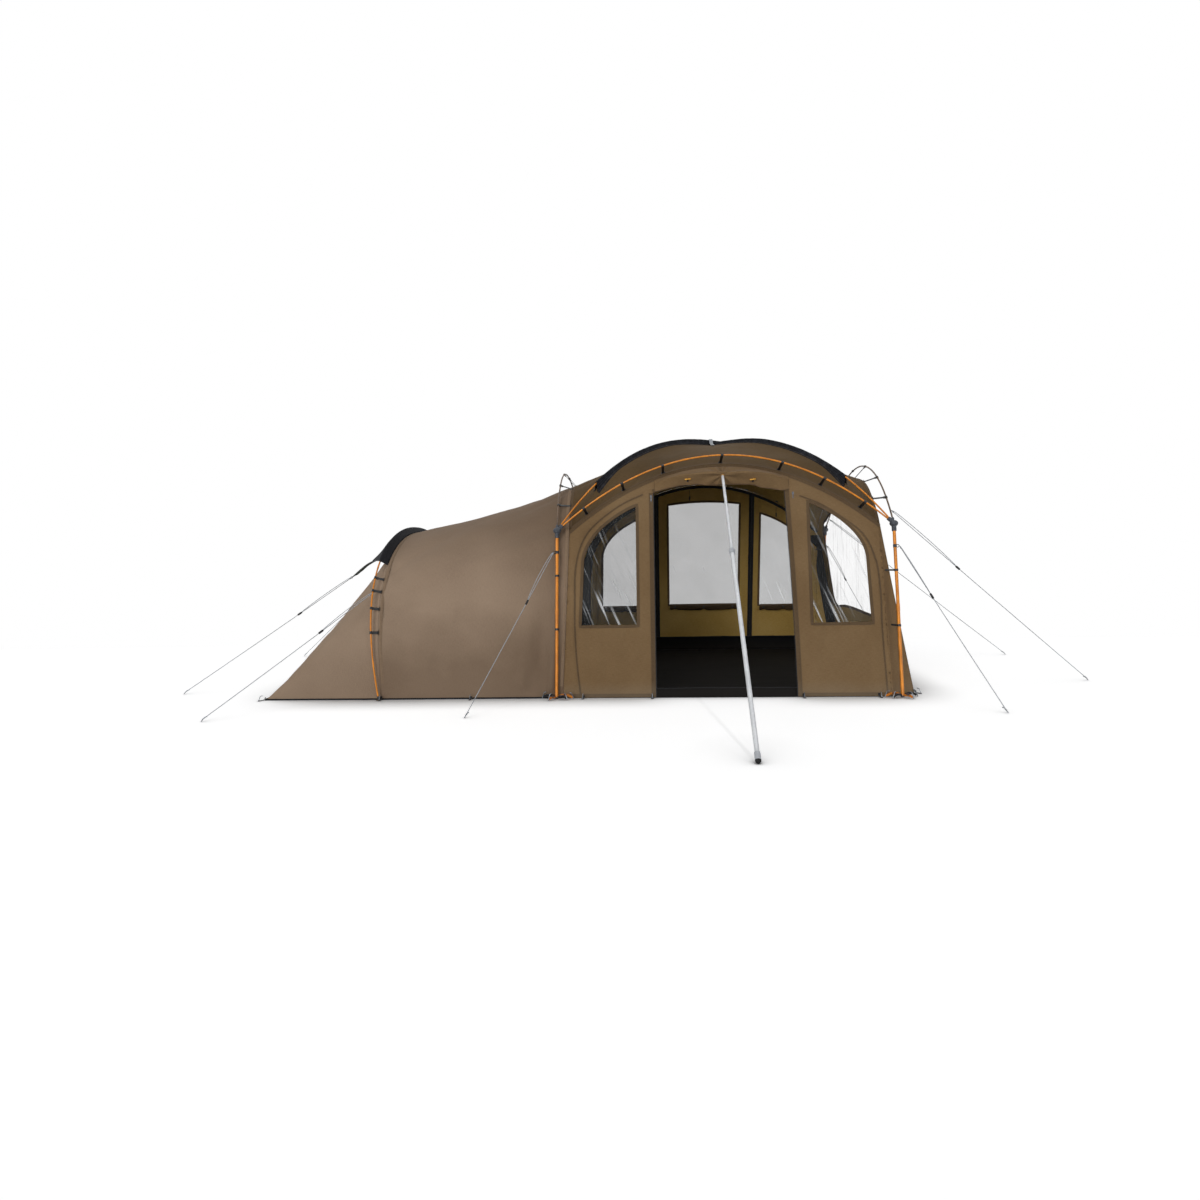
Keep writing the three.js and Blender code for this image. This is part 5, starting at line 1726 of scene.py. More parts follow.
@dataclass
class Frame:
    """The poles, the hooks that hold the cloth to them, and the hoop."""

    section: float = 0.62
    strap_width: float = 0.022
    strap_thickness: float = 0.0022
    clip_width: float = 0.024
    arch_edge: tuple[float, float] = (0.93, 0.97)
    side_edge: tuple[float, float] = (0.96, 1.0)
    side_hooks: tuple[float, ...] = (-0.78, -0.52, -0.18, 0.18, 0.52, 0.78)
    hoop_hooks: tuple[float, ...] = (0.085, 0.132, 0.172, 0.205)
    steps: int = 96

    def build(self) -> None:
        """Make the whole frame but for its corners."""
        share = np.linspace(-1, 1, self.steps + 1)
        arch, side, diagonal = (share * PLAN.reach(line)
                                for line in (PLAN.arch, PLAN.side_arch, PLAN.diagonal))
        hoop = PLAN.hoop(np.linspace(0, 1, 2 * self.steps))
        hoop[[0, -1], 2] += 0.004
        tree = pole_tree()
        for name, node, line, finish in (
            ("front", "arch_front", PLAN.arch(arch, FRONT), Finish.ORANGE),
            ("rear", "arch_rear", PLAN.arch(arch, REAR), Finish.ORANGE),
            ("left", "arch_left", PLAN.side_arch(side, LEFT), Finish.BRONZE),
            ("right", "arch_right", PLAN.side_arch(side, RIGHT), Finish.BRONZE),
            ("diagonal_upper", "diagonal_upper", PLAN.diagonal(diagonal), Finish.ORANGE),
            ("diagonal_lower", "diagonal_lower", PLAN.diagonal(diagonal, PLAN.crossing_drop, LEFT),
             Finish.ORANGE),
            ("hoop", "hoop_rear", hoop, Finish.ORANGE),
        ):
            grown("pole_" + name, [line], tree, finish, node, radius=PLAN.pole_radius, sides=20,
                  section=self.section)
        self.hooks()
        self.hoop_feet()

    def hook(self, heap: Heap, axis: Array, cloth: Array) -> None:
        """Add one hook: a plastic clip on the pole and a webbing tail with its patch on the cloth.

        Args:
            heap: Where the shapes go.
            axis: Three points of the pole's axis, with the hook at the middle one.
            cloth: Points of the cloth, of which it takes the nearest.
        """
        pole, way, cloth = axis[1], axis[2] - axis[0], cloth.reshape(-1, 3)
        gap = np.linalg.norm(cloth - pole, axis=-1)
        reach = unit(cloth[np.argmin(gap)] - pole)
        w, r = self.clip_width / 2, PLAN.pole_radius
        ring = [(-w, r + 0.0002), (-w, r + 0.003), (-w * 0.8, r + 0.0042), (w * 0.8, r + 0.0042),
                (w, r + 0.003),
                (w, r + 0.0002), (-w, r + 0.0002)]
        heap.turned(ring, pole, way, 18)
        start, end = pole + reach * (r + 0.01), pole + reach * max(gap.min() - 0.003, r + 0.014)
        heap.block((self.clip_width * 0.95, 0.009, 0.016), start, way, reach, 0.2)
        heap.strap(lerp(start, end, np.linspace(0, 1, 5)[:, None]), self.strap_width, self.strap_thickness,
                   way)
        heap.block((self.strap_width * 1.5, 0.026, 0.0024), end, way, reach, 0.3)

    def hooks(self) -> None:
        """Make every hook of the arches and the hoop."""
        heap = Heap()
        near = np.linspace(-0.12, 0.12, 61)
        step = np.array([-0.004, 0.0, 0.004])
        for end in (FRONT, REAR):
            edge = end * np.linspace(*self.arch_edge, 3)[:, None]
            for s in PLAN.arch_hooks:
                self.hook(heap, PLAN.arch(s + step, end), PLAN.roof(np.clip(s + near, -1, 1)[None], edge))
        for side in (LEFT, RIGHT):
            edge = side * np.linspace(*self.side_edge, 3)[:, None]
            for s in self.side_hooks:
                self.hook(heap, PLAN.side_arch(s + step, side),
                          PLAN.roof(edge, np.clip(s + near, -1, 1)[None]))
        for t in (*self.hoop_hooks, *(1 - t for t in self.hoop_hooks)):
            self.hook(heap, PLAN.hoop(t + step / 2), PLAN.seam(t + near * 0.3, 0.003))
        heap.build("pole_hooks", Finish.PLASTIC)

    def hoop_feet(self) -> None:
        """Make the hoop's two end caps with their webbing and pins."""
        heap, straps = Heap(), Heap()
        cap = [(0.0, 0.0), (0.0, 0.0125), (0.004, 0.0135), (0.026, 0.011), (0.034, 0.0105), (0.036, 0.0085),
               (0.036, 0.0)]
        for foot in PLAN.hoop(np.array([0.0, 1.0])):
            out = math.copysign(1.0, foot[1])
            heap.turned(cap, foot, Z_WAY, 24)
            heap.tube(circle(foot + (0, out * 0.02, 0.005), 0.011 * X_WAY, 0.011 * Y_WAY, 25), 0.0018, 8)
            path = foot + np.array([(0, -out * 0.024, 0.01), (0, out * 0.004, 0.0065),
                                    (0, out * 0.026, 0.005)])
            straps.strap(evenly(path, 0.006, False), 0.02, 0.0018, X_WAY)
        heap.build("hoop_feet", Finish.PLASTIC)
        straps.build("hoop_foot_straps", Finish.TAN_WEB)


@dataclass
class Corner:
    """One corner of the dome: an orange leg with its fittings and the moulded hub on top of it."""

    name: str
    x: float
    y: float
    leg_radius: float = 0.0125
    hub_radius: float = 0.033
    socket_end: float = 0.062
    eye_height: float = 1.17
    eye_radius: float = 0.011
    eye_wire: float = 0.0025
    clip_heights: tuple[float, ...] = (0.55, 0.98)
    cloth_share: float = 0.3

    def build(self) -> None:
        """Make the leg, the webbing at its foot and the hub."""
        self.leg()
        self.foot_straps()
        self.hub()

    def out(self, points: Array) -> Array:
        """Return points of the corner at +X, +Y moved to this corner."""
        return mirrored(points, self.x, self.y)

    def leg(self) -> None:
        """Make the leg: two tubes with a swaged joint, its foot, the guy line's eye and two cloth clips."""
        hub, foot = self.out(PLAN.leg(PLAN.hub_z)), self.out(PLAN.leg_foot)
        way, long = unit(foot - hub), float(np.linalg.norm(foot - hub))
        r, start = self.leg_radius, PLAN.pole_start
        rows = [(start, 0.0), (start, r), (0.64, r), (0.646, r + 0.0012), (0.69, r + 0.0012), (0.697, r),
                (long - 0.075, r), (long - 0.0035, r), (long - 0.0035, 0.0)]
        tube = Heap()
        tube.turned(rows, hub, way, 32)
        tube.build("tube_leg_" + self.name, Finish.ORANGE, node="leg_" + self.name)
        fittings = Heap()
        shoe = [(0.016, r + 0.0003), (0.016, r + 0.0018), (0.013, r + 0.0024), (0.007, r + 0.0024),
                (0.004, r + 0.0008),
                (0.0028, r * 0.5), (0.0028, r * 0.1), (0.003, r * 0.1), (0.0031, r + 0.0003),
                (0.016, r + 0.0003)]
        fittings.turned([(long - a, b) for a, b in shoe], hub, way, 32)
        eye, outward = self.out(PLAN.leg(self.eye_height)), unit(vec(self.x, self.y, 0))
        fittings.band(0.012, r + 0.0002, r + 0.0018, eye, way, 32)
        centre = eye + outward * (r + self.eye_radius - 0.001)
        fittings.tube(circle(centre, self.eye_radius * outward, self.eye_radius * Z_WAY, 33), self.eye_wire,
                      10,
                      np.cross(outward, Z_WAY))
        for height in self.clip_heights:
            middle, cloth = self.out(PLAN.leg(height)), self.cloth_corner(height)
            reach = unit(cloth - middle)
            fittings.band(0.009, r + 0.0002, r + 0.003, middle, way, 28)
            path = lerp(middle + reach * (r + 0.002), cloth - reach * 0.002, np.linspace(0, 1, 6)[:, None])
            fittings.strap(path, 0.014, 0.0024, Z_WAY)
            fittings.block((0.02, 0.012, 0.007), lerp(path[0], path[-1], 0.35), reach, Z_WAY, 0.25)
        fittings.build("leg_fittings_" + self.name, Finish.PLASTIC)

    def foot_straps(self) -> None:
        """Make the webbing that ties the leg's foot, the cloth's corner and their pegs together."""
        black, orange, steel = Heap(), Heap(), Heap()
        foot, t = PLAN.leg(0.01), np.linspace(0, 1, 9)[:, None]
        rows = [(0.05, 0.075, orange), (-0.085, 0.055, black), (0.11, -0.02, black), (-0.13, 0.012, orange)]
        for k, (a, b, heap) in enumerate(rows):
            end, way = foot + (a, b, 0.004), unit(vec(a, b, 0))
            path = lerp(foot, end, t) + np.sin(math.pi * t) * (0, 0, 0.012 + 0.004 * k)
            heap.strap(self.out(path), 0.018, 0.0024, self.out(vec(b, -a, 1)))
            buckle = lerp(foot, end, 0.55) + (0, 0, 0.016 + 0.003 * k)
            black.block((0.026, 0.03, 0.007), self.out(buckle), self.out(way), Z_WAY, 0.3)
            root, lean = end + way * 0.01, unit(Z_WAY - way * 0.5)
            rod = [root - (0, 0, 0.01), root + lean * 0.04, root + lean * 0.046 - way * 0.014]
            steel.tube(self.out(rod), 0.0034, 8, self.out(np.cross(way, Z_WAY)))
        black.build("foot_webbing_" + self.name, Finish.BLACK_WEB)
        orange.build("foot_loops_" + self.name, Finish.ORANGE_WEB)
        steel.build("foot_pegs_" + self.name, Finish.STEEL)

    def cloth_corner(self, height: float) -> Array:
        """Return the cloth's point behind the leg that the clip at a height holds.

        Args:
            height: The clip's height.

        Returns:
            The point.
        """
        t = height / PLAN.shell_z
        front = float(PLAN.wall_y(height)) + 0.002
        if self.x < 0:
            return self.out((PLAN.leg(height)[0] - 0.012, front + 0.002, height))
        edge = lerp(PLAN.base_right, PLAN.shell_x, t), lerp(PLAN.right_x, PLAN.shell_x + 0.004, t)
        rear = lerp(PLAN.right_y, PLAN.shell_y - 0.004, t)
        return self.out((lerp(*edge, self.cloth_share) + 0.001, lerp(front, rear, self.cloth_share) + 0.001,
                         height))

    def hub(self) -> None:
        """Make the hub, a ribbed moulding with four sockets, and the pins through the sockets."""
        hub = self.out((PLAN.hub_x, PLAN.hub_y, PLAN.hub_z))
        near = np.array([1.0, 0.97])
        lines = [(PLAN.arch(near, REAR), PLAN.pole_radius), (PLAN.side_arch(near), PLAN.pole_radius),
                 (PLAN.diagonal(near), PLAN.pole_radius),
                 (PLAN.leg([PLAN.hub_z, PLAN.hub_z - 0.1]), self.leg_radius)]
        heap, pins, end = Heap(), Heap(), self.socket_end
        angle = np.linspace(0, math.pi, 15)
        core = np.c_[-self.hub_radius * 0.8 * np.cos(angle), self.hub_radius * np.sin(angle)]
        core[[0, -1], 1] = 0.0
        heap.turned(core, hub, Z_WAY, 32)
        for line, radius in lines:
            way, outer = self.out(unit(line[1] - line[0])), radius + 0.0038
            rows = [(0.012, 0.0), (0.012, outer + 0.003), (0.03, outer + 0.002), (0.036, outer),
                    (end - 0.013, outer),
                    (end - 0.012, outer + 0.0016), (end - 0.002, outer + 0.0016), (end, outer + 0.0004),
                    (end, radius + 0.0004), (end - 0.01, radius + 0.0004), (end - 0.01, 0.0)]
            heap.turned(rows, hub, way, 28)
            side = unit(np.cross(way, (0.3, 0.2, 1.0)))
            for rib in circle(np.zeros(3), side, np.cross(way, side), 5)[:-1]:
                heap.block((0.022, 0.0024, 0.004), hub + way * 0.042 + rib * (outer + 0.001), way, rib, 0.2)
            half = radius + 0.0065
            pins.turned([(-half, 0.0), (-half, 0.003), (half, 0.003), (half, 0.0)], hub + way * 0.044, side,
                        12)
        heap.build("moulded_hub_" + self.name, Finish.HUB, node="hub_" + self.name)
        pins.build("hub_pins_" + self.name, Finish.PLASTIC)


# ---------------------------------------------------------------- cloth


@dataclass
class Trim:
    """Open strips of tape or cloth that end up in one piece."""

    points: list[Array] = field(default_factory=list)
    uvs: list[Array] = field(default_factory=list)
    faces: Faces = field(default_factory=list)
    count: int = 0

    def lay(self, grid: Array, out: Array) -> None:
        """Add a grid of points as one strip whose outer side faces the given way.

        Args:
            grid: Rows of points.
            out: The way that its outer side faces.
        """
        if np.sum(grid_normals(grid) * out) < 0:
            grid = grid[:, ::-1]
        rows, columns = grid.shape[:2]
        self.faces += grid_faces(rows, columns, self.count)
        self.points.append(grid.reshape(-1, 3))
        self.uvs.append(grid_uv(grid))
        self.count += rows * columns

    def finish(self, name: str, finish: Finish, thickness: float = 0.0012) -> Object:
        """Give the strips their thickness and finish, as one piece.

        Args:
            name: Name of the piece.
            finish: Its finish.
            thickness: Its thickness.

        Returns:
            The piece.
        """
        obj = piece(name, np.concatenate(self.points), self.faces, np.concatenate(self.uvs))
        sharpen(thickened(obj, thickness, [finish]), 50.0)
        return Wardrobe.dress(obj, finish)


@dataclass(frozen=True)
class Cloth:
    """A surface that cloth lies on, with its folds."""

    place: Callable[[Array], Array]
    side: float
    folds: Callable[[Array], Array]

    def normals(self, flat: Array) -> Array:
        """Return the outward directions at the flat points.

        Args:
            flat: Flat points.

        Returns:
            Unit directions.
        """
        step = 1e-3
        a, b = (self.place(flat + way) - self.place(flat - way) for way in np.eye(2) * step)
        return unit(np.cross(a, b)) * self.side

    def on(self, flat: Array, lift: float | Array = 0.0) -> Array:
        """Return points at a height over the folded cloth's inner face."""
        base = self.place(flat)
        return base + self.normals(flat) * np.asarray(self.folds(base) + lift)[..., None]

    def sew(self, sewing: Sewing, row: Array, lift: float = STITCH_LIFT) -> None:
        """Sew a row of stitches along flat points, at a height over the cloth's inner face."""
        sewing.rows.append(self.on(row, lift))

    def cut(self, name: str, outline: Array, holes: Sequence[Array], step: float,
            lift: float | Callable = 0.0,
            thickness: float = CANVAS_THICKNESS, finishes: Sequence[Finish] = (Finish.CANVAS, Finish.LINING),
            node: str = "") -> Object:
        """Cut a pattern piece and lay it on the surface.

        Args:
            name: Name of the piece.
            outline: Its flat outline.
            holes: Flat outlines of its openings.
            step: Size of its net.
            lift: Height over the surface, or a function of the flat points that gives it.
            thickness: Thickness of the cloth.
            finishes: Outer and inner finish.
            node: The frame's node that it replaces.

        Returns:
            The dressed piece.
        """
        flat, faces = cut_cloth(outline, holes, step)
        if self.side < 0:
            faces = [face[::-1] for face in faces]
        size = tuple(map(float, np.ptp(flat, axis=0) * (1.02, 1.03)))
        points = self.on(flat, lift(flat) if callable(lift) else lift)
        return sheet(name, points, faces, flat, size, finishes, thickness, node=node)

    def strip(self, trim: Trim, path: Array, low: float, high: float, lift: float = TAPE_LIFT,
              closed: bool = False,
              cells: int = 3, bulge: float = 0.0) -> None:
        """Lay a strip of tape along a flat path.

        Args:
            trim: Where the strip goes.
            path: Flat points that it follows.
            low: Distance from the path to its right edge, negative to the right.
            high: Distance from the path to its left edge.
            lift: Height over the cloth's inner face.
            closed: Whether the path is a loop.
            cells: Cells across the strip.
            bulge: How much its middle stands out.
        """
        line = np.vstack([path, path[:1]]) if closed else path
        way = unit(np.gradient(line, axis=0))
        if closed:
            way[0] = way[-1] = unit(line[1] - line[-2])
        share = np.linspace(0, 1, cells + 1)
        flat = (line[:, None] + leftward(way)[:, None] * lerp(low, high, share)[None, :, None]).reshape(-1, 2)
        height = np.tile(lift + bulge * np.sin(math.pi * share), len(line))
        shape = (len(line), cells + 1, 3)
        trim.lay(self.on(flat, height).reshape(shape), self.normals(flat).reshape(shape))


def shell(name: str, grid: Array, out: Point, push: float | Array, finishes: Sequence[Finish],
          thickness: float = CANVAS_THICKNESS, node: str = "") -> Object:
    """Make a cloth piece from a grid of points on its inner face.

    Args:
        name: Name of the piece.
        grid: Rows and columns of points.
        out: Outward direction, one or one for each point.
        push: How far the folds push each point outwards.
        finishes: Outer and inner finish.
        thickness: Thickness of the cloth.
        node: The frame's node that it replaces.

    Returns:
        The dressed piece.
    """
    push = np.broadcast_to(push, grid.shape[:2])
    if np.sum(grid_normals(grid) * out) < 0:
        grid, push = grid[:, ::-1], push[:, ::-1]
    flat = tuple(float(np.linalg.norm(np.diff(grid, axis=k), axis=-1).sum(k).max()) * 1.02 for k in (1, 0))
    points = grid + grid_normals(grid) * push[..., None]
    return sheet(name, points, grid_faces(*grid.shape[:2]), grid_uv(grid), flat, finishes, thickness,
                 node)


def leftward(way: Array) -> Array:
    """Return flat directions turned a quarter to the left."""
    return np.stack([-way[:, 1], way[:, 0]], -1)


def level(z: float, start: float, end: float, count: int = 120) -> Array:
    """Return flat points of a level line."""
    return np.c_[np.linspace(start, end, count), np.full(count, z)]


def upright(x: float, start: float, end: float, count: int = 90) -> Array:
    """Return flat points of an upright line."""
    return level(x, start, end, count)[:, ::-1]


def curve_between(points: Sequence[Point], count: int) -> Array:
    """Return points of the Bezier curve with the given four control points.

    Args:
        points: Its control points.
        count: How many points to give.

    Returns:
        The points.
    """
    a, b, c, d = np.asarray(points, float)
    t = np.linspace(0, 1, count)[:, None]
    return a * (1 - t) ** 3 + 3 * b * t * (1 - t) ** 2 + 3 * c * t * t * (1 - t) + d * t**3


def smooth_line(points: Sequence[Point], count: int) -> Array:
    """Return evenly spread points of a smooth line through the given flat points.

    Args:
        points: Flat points.
        count: How many points to give.

    Returns:
        The points.
    """
    rows = np.asarray(points, float)
    run = np.r_[0, np.cumsum(np.linalg.norm(np.diff(rows, axis=0), axis=-1))]
    slope = np.gradient(rows, run, axis=0)
    at = np.linspace(0, run[-1], count)
    k = np.clip(np.searchsorted(run, at, side="right") - 1, 0, len(rows) - 2)
    gap = (run[k + 1] - run[k])[:, None]
    t = (at - run[k])[:, None] / gap
    return ((2 * t**3 - 3 * t**2 + 1) * rows[k] + (t**3 - 2 * t**2 + t) * gap * slope[k]
            + (3 * t**2 - 2 * t**3) * rows[k + 1] + (t**3 - t**2) * gap * slope[k + 1])


@dataclass(frozen=True)
class WindowPlan:
    """Outlines of the windows, in metres on the wall that they belong to."""

    outer: float = 1.16
    shoulder: float = 1.09
    lean: float = 0.022
    curve_lean: float = 0.034
    curve_reach: float = 0.21
    top_rise: float = 0.455
    top_drop: float = 0.3

    def corner(self, side: float, inner: float, sill: float) -> Array:
        """Return the outline of a window beside the door.

        Args:
            side: 1 for the right, -1 for the left.
            inner: Its edge beside the door.
            sill: Height of its lower edge.

        Returns:
            The outline.
        """
        right, top = self.outer, self.shoulder + self.top_rise
        curve = curve_between([
            (right - self.lean, self.shoulder),
            (right - self.curve_lean, self.shoulder + self.top_drop * 0.55),
            (right - self.curve_reach, top - self.top_drop * 0.36), (inner, top),
        ], 26)
        loop = np.vstack([[(inner, sill), (right, sill)], curve]) * (side, 1.0)
        return loop if side > 0 else loop[::-1]

    @staticmethod
    def arched(half: float, sill: float, side_top: float, top: float) -> Array:
        """Return the outline of an opening with a slightly arched top."""
        x = np.linspace(half, -half, 25)
        return np.vstack([[(-half, sill), (half, sill)], np.c_[x, lerp(top, side_top, (x / half) ** 2)]])

    @staticmethod
    def rounded(left: float, right: float, low: float, high: float, corner: float) -> Array:
        """Return the outline of an opening with round corners.

        Args:
            left: Its left edge.
            right: Its right edge.
            low: Its lower edge.
            high: Its upper edge.
            corner: Radius of its corners.

        Returns:
            The outline.
        """
        rows = []
        for k, (x, z) in enumerate([(right, low), (right, high), (left, high), (left, low)]):
            middle = (x - math.copysign(corner, x - (left + right) / 2),
                      z + (corner if z == low else -corner))
            angle = (k - 1 + np.linspace(0, 1, 9)) * math.pi / 2
            rows.append(middle + corner * np.c_[np.cos(angle), np.sin(angle)])
        return np.vstack(rows)


WINDOWS = WindowPlan()


@dataclass
class Glazing:
    """A clear window: its film, the binding sewn round it and the stitches."""

    binding: float = 0.024
    overlap: float = 0.01
    film: float = 0.0006
    behind: float = 0.0012
    step: float = 0.03
    bulge: float = 0.004

    def fit(self, name: str, cloth: Cloth, outline: Array, trim: Trim, sewing: Sewing,
            finish: Finish) -> None:
        """Fit a window into its opening.

        Args:
            name: Name of the window.
            cloth: The wall.
            outline: Flat outline of the opening, anticlockwise.
            trim: Where the binding goes.
            sewing: Where the stitches go.
            finish: Finish of the film.
        """
        loop = evenly(outline, 0.02)
        edge, width = self.moved(loop, self.overlap), self.binding

        def lift(flat: Array) -> Array:
            """Return how far the film stands back, with its own soft swell away from the seam.

            Args:
                flat: Flat points.

            Returns:
                The distance at each point.
            """
            gap = np.min(np.linalg.norm(flat[:, None] - edge[None], axis=-1), axis=1)
            base = cloth.place(flat)
            swell = waves(base, 0.55, 3.1 + loop.mean(0)[0], 2) * self.bulge
            own = swell + waves(base, 0.22, 7.7, 2) * self.bulge * 0.35
            return own * smoothstep(gap, 0.01, 0.1) - (self.film + self.behind)

        cloth.cut("film_" + name, edge, [], self.step, lift, self.film, (finish,), "window_" + name)
        cloth.strip(trim, loop, -width * 0.55, width * 0.45, closed=True, cells=4, bulge=0.0008)
        cloth.strip(trim, loop, -width * 0.5, width * 0.4, -0.0036, True, 2)
        for gap in (-width * 0.42, width * 0.02):
            row = self.moved(loop, -gap)
            cloth.sew(sewing, np.vstack([row, row[:1]]))

    @staticmethod
    def moved(loop: Array, gap: float) -> Array:
        """Return an anticlockwise loop moved outwards by a gap."""
        return loop - leftward(unit(np.roll(loop, -1, axis=0) - np.roll(loop, 1, axis=0))) * gap


@dataclass
class EndWall:
    """The front or the rear wall: cloth, windows, seams, gusset and lining details."""

    name: str
    end: float
    step: float = 0.0175
    seam_width: float = 0.012
    door_left: float = -0.556
    door_right: float = 0.56
    door_right_top: float = 0.508
    door_side_top: float = 1.64
    door_top: float = 1.712
    zip_x: tuple[float, float] = (-0.525, 0.525)
    blind_ties: tuple[float, ...] = (0.08, 0.5, 0.92)
    blind_radius: float = 0.026
    blind_back: float = 0.034
    blind_drop: float = 0.012

    def __post_init__(self) -> None:
        """Set out the wall's surface."""
        self.cloth = Cloth(self.place, -self.end, self.folds)

    def place(self, flat: Array) -> Array:
        """Return points of the wall's inner face at flat x and z."""
        return stack(flat[..., 0], self.end * PLAN.wall_y(flat[..., 1]), flat[..., 1])

    def seam_line(self, count: int = 120, drop: float = 0.0) -> Array:
        """Return flat points just under the arch's seam, from right to left."""
        u = np.linspace(1, -1, count)
        return np.c_[u * PLAN.shell_x, PLAN.front_seam(u) - PLAN.seam_gap - drop]

    def outline(self) -> Array:
        """Return the wall's flat outline.

        Returns:
            The outline.
        """
        door = self.door()[::-1] if self.end == FRONT else np.zeros((0, 2))
        return np.vstack([door, (PLAN.base_right, PLAN.ground), self.seam_line(),
                          (PLAN.base_left, PLAN.ground)])

    def door(self) -> Array:
        """Return the doorway's flat line, from the foot of its right side over its top to its left foot.

        Returns:
            The line.
        """
        z = np.linspace(PLAN.ground, self.door_side_top, 30)
        right = np.c_[lerp(self.door_right, self.door_right_top, (z / self.door_side_top) ** 1.6), z]
        x = np.linspace(self.door_right_top, self.door_left, 21)[1:-1]
        middle, half = (self.door_left + self.door_right_top) / 2, (self.door_right_top - self.door_left) / 2
        top = np.c_[x, lerp(self.door_top, self.door_side_top, ((x - middle) / half) ** 2)]
        return np.vstack([right, top, upright(self.door_left, self.door_side_top, PLAN.ground, 12)])

    def windows(self) -> dict[str, Array]:
        """Return each window's outline.

        Returns:
            Outlines by name.
        """
        if self.end == FRONT:
            return {"front_left": WINDOWS.corner(-1, 0.69, 0.565),
                    "front_right": WINDOWS.corner(1, 0.69, 0.565)}
        return {"rear_left": WINDOWS.corner(-1, 0.62, 0.512), "rear_right": WINDOWS.corner(1, 0.62, 0.512),
                "rear_middle": WINDOWS.arched(0.395, 0.526, 1.655, 1.6825)}

    def folds(self, p: Array) -> Array:
        """Return the push of the wall's folds.

        Args:
            p: Flat points.

        Returns:
            The push.
        """
        x, z = p[..., 0], p[..., 2]
        edge = smoothstep(PLAN.front_seam(np.clip(x / PLAN.shell_x, -1, 1)) - z, 0.0,
                          0.1) * smoothstep(z, 0.0, 0.05)
        side = smoothstep(lerp(PLAN.base_right, PLAN.shell_x, z / PLAN.shell_z) - np.abs(x), 0.0, 0.05)
        push = 0.0045 * waves(p, 0.65, 1.3 + self.end)
        push = push + 0.0016 * waves(p * (1, 1, 0.35), 0.16, 5.2 - self.end, 2)
        flat = np.stack([x, z], -1)
        push = creased(flat, self.creases(), push)
        return (push * edge + self.relief(flat) * np.maximum(edge, 0.3)) * side

    def relief(self, flat: Array) -> Array:
        """Return how far the cloth puffs out beyond its panel seams and pulls in at them.

        Args:
            flat: Flat points.

        Returns:
            The push.
        """
        line = np.vstack([smooth_line(row, 60) for row in self.panel_lines()])
        gap = np.sum((flat[..., None, :] - line) ** 2, -1)
        near = np.argmin(gap, -1)
        away = np.sqrt(np.min(gap, -1))
        outer = np.sum(flat * flat, -1) > np.sum(line[near] ** 2, -1)
        puff = np.sin(math.pi * np.clip(away / 0.1, 0, 1)) * np.where(outer, 0.011, 0.004)
        return puff - 0.004 * bell(away, 0, 0.026)

    @staticmethod
    def creases() -> list[tuple[Point, Point, float, float]]:
        """Return the wall's longer folds: start, end, half width and depth.

        Returns:
            The folds.
        """
        rows = [
            ((1.17, 0.53), (1.27, 0.16), 0.02, 0.007), ((1.0, 0.54), (1.12, 0.12), 0.022, -0.005),
            ((0.8, 0.54), (0.72, 0.1), 0.026, 0.006), ((0.62, 0.45), (0.66, 0.05), 0.02, -0.006),
            ((1.18, 1.05), (1.24, 1.3), 0.018, 0.006), ((0.9, 1.45), (1.02, 1.58), 0.016, 0.005),
            ((0.6, 1.5), (0.66, 1.1), 0.016, 0.006), ((0.62, 1.62), (0.8, 1.66), 0.014, 0.006),
            ((1.2, 0.8), (1.22, 0.4), 0.016, -0.005), ((0.95, 0.3), (0.99, 0.02), 0.02, 0.004),
        ]
        return rows + [((-a, b), (-c, d), w, e * 0.9) for (a, b), (c, d), w, e in rows]

    def build(self, sewing: Sewing) -> None:
        """Make the wall with all that is sewn to it.

        Args:
            sewing: Where the stitches go.
        """
        windows, trim = self.windows(), Trim()
        self.cloth.cut("wall_cloth_" + self.name, self.outline(), [*windows.values()], self.step,
                       node="wall_" + self.name)
        for name, outline in windows.items():
            film = Finish.FILM if self.end == FRONT else Finish.HAZY
            Glazing().fit(name, self.cloth, outline, trim, sewing, film)
        trim.finish("window_binding_" + self.name, Finish.BINDING)
        self.seams(sewing)
        self.gusset()
        self.lining()
        if self.end == FRONT:
            self.bundle()
            self.doorway(sewing)
        else:
            self.blinds()

    @staticmethod
    def panel_lines() -> list[list[Point]]:
        """Return flat points of the seams between the wall's panels.

        Returns:
            The lines.
        """
        return [
            [(1.247, 0.025), (1.238, 0.271), (1.228, 0.537), (1.228, 0.842), (1.2, 1.078), (1.119, 1.262),
             (0.946, 1.414), (0.769, 1.529), (0.625, 1.589)],
            [(-1.159, 0.02), (-1.187, 0.262), (-1.205, 0.554), (-1.205, 0.751), (-1.19, 1.082),
             (-1.154, 1.215),
             (-1.103, 1.314), (-0.967, 1.446), (-0.798, 1.559), (-0.64, 1.63)],
        ]

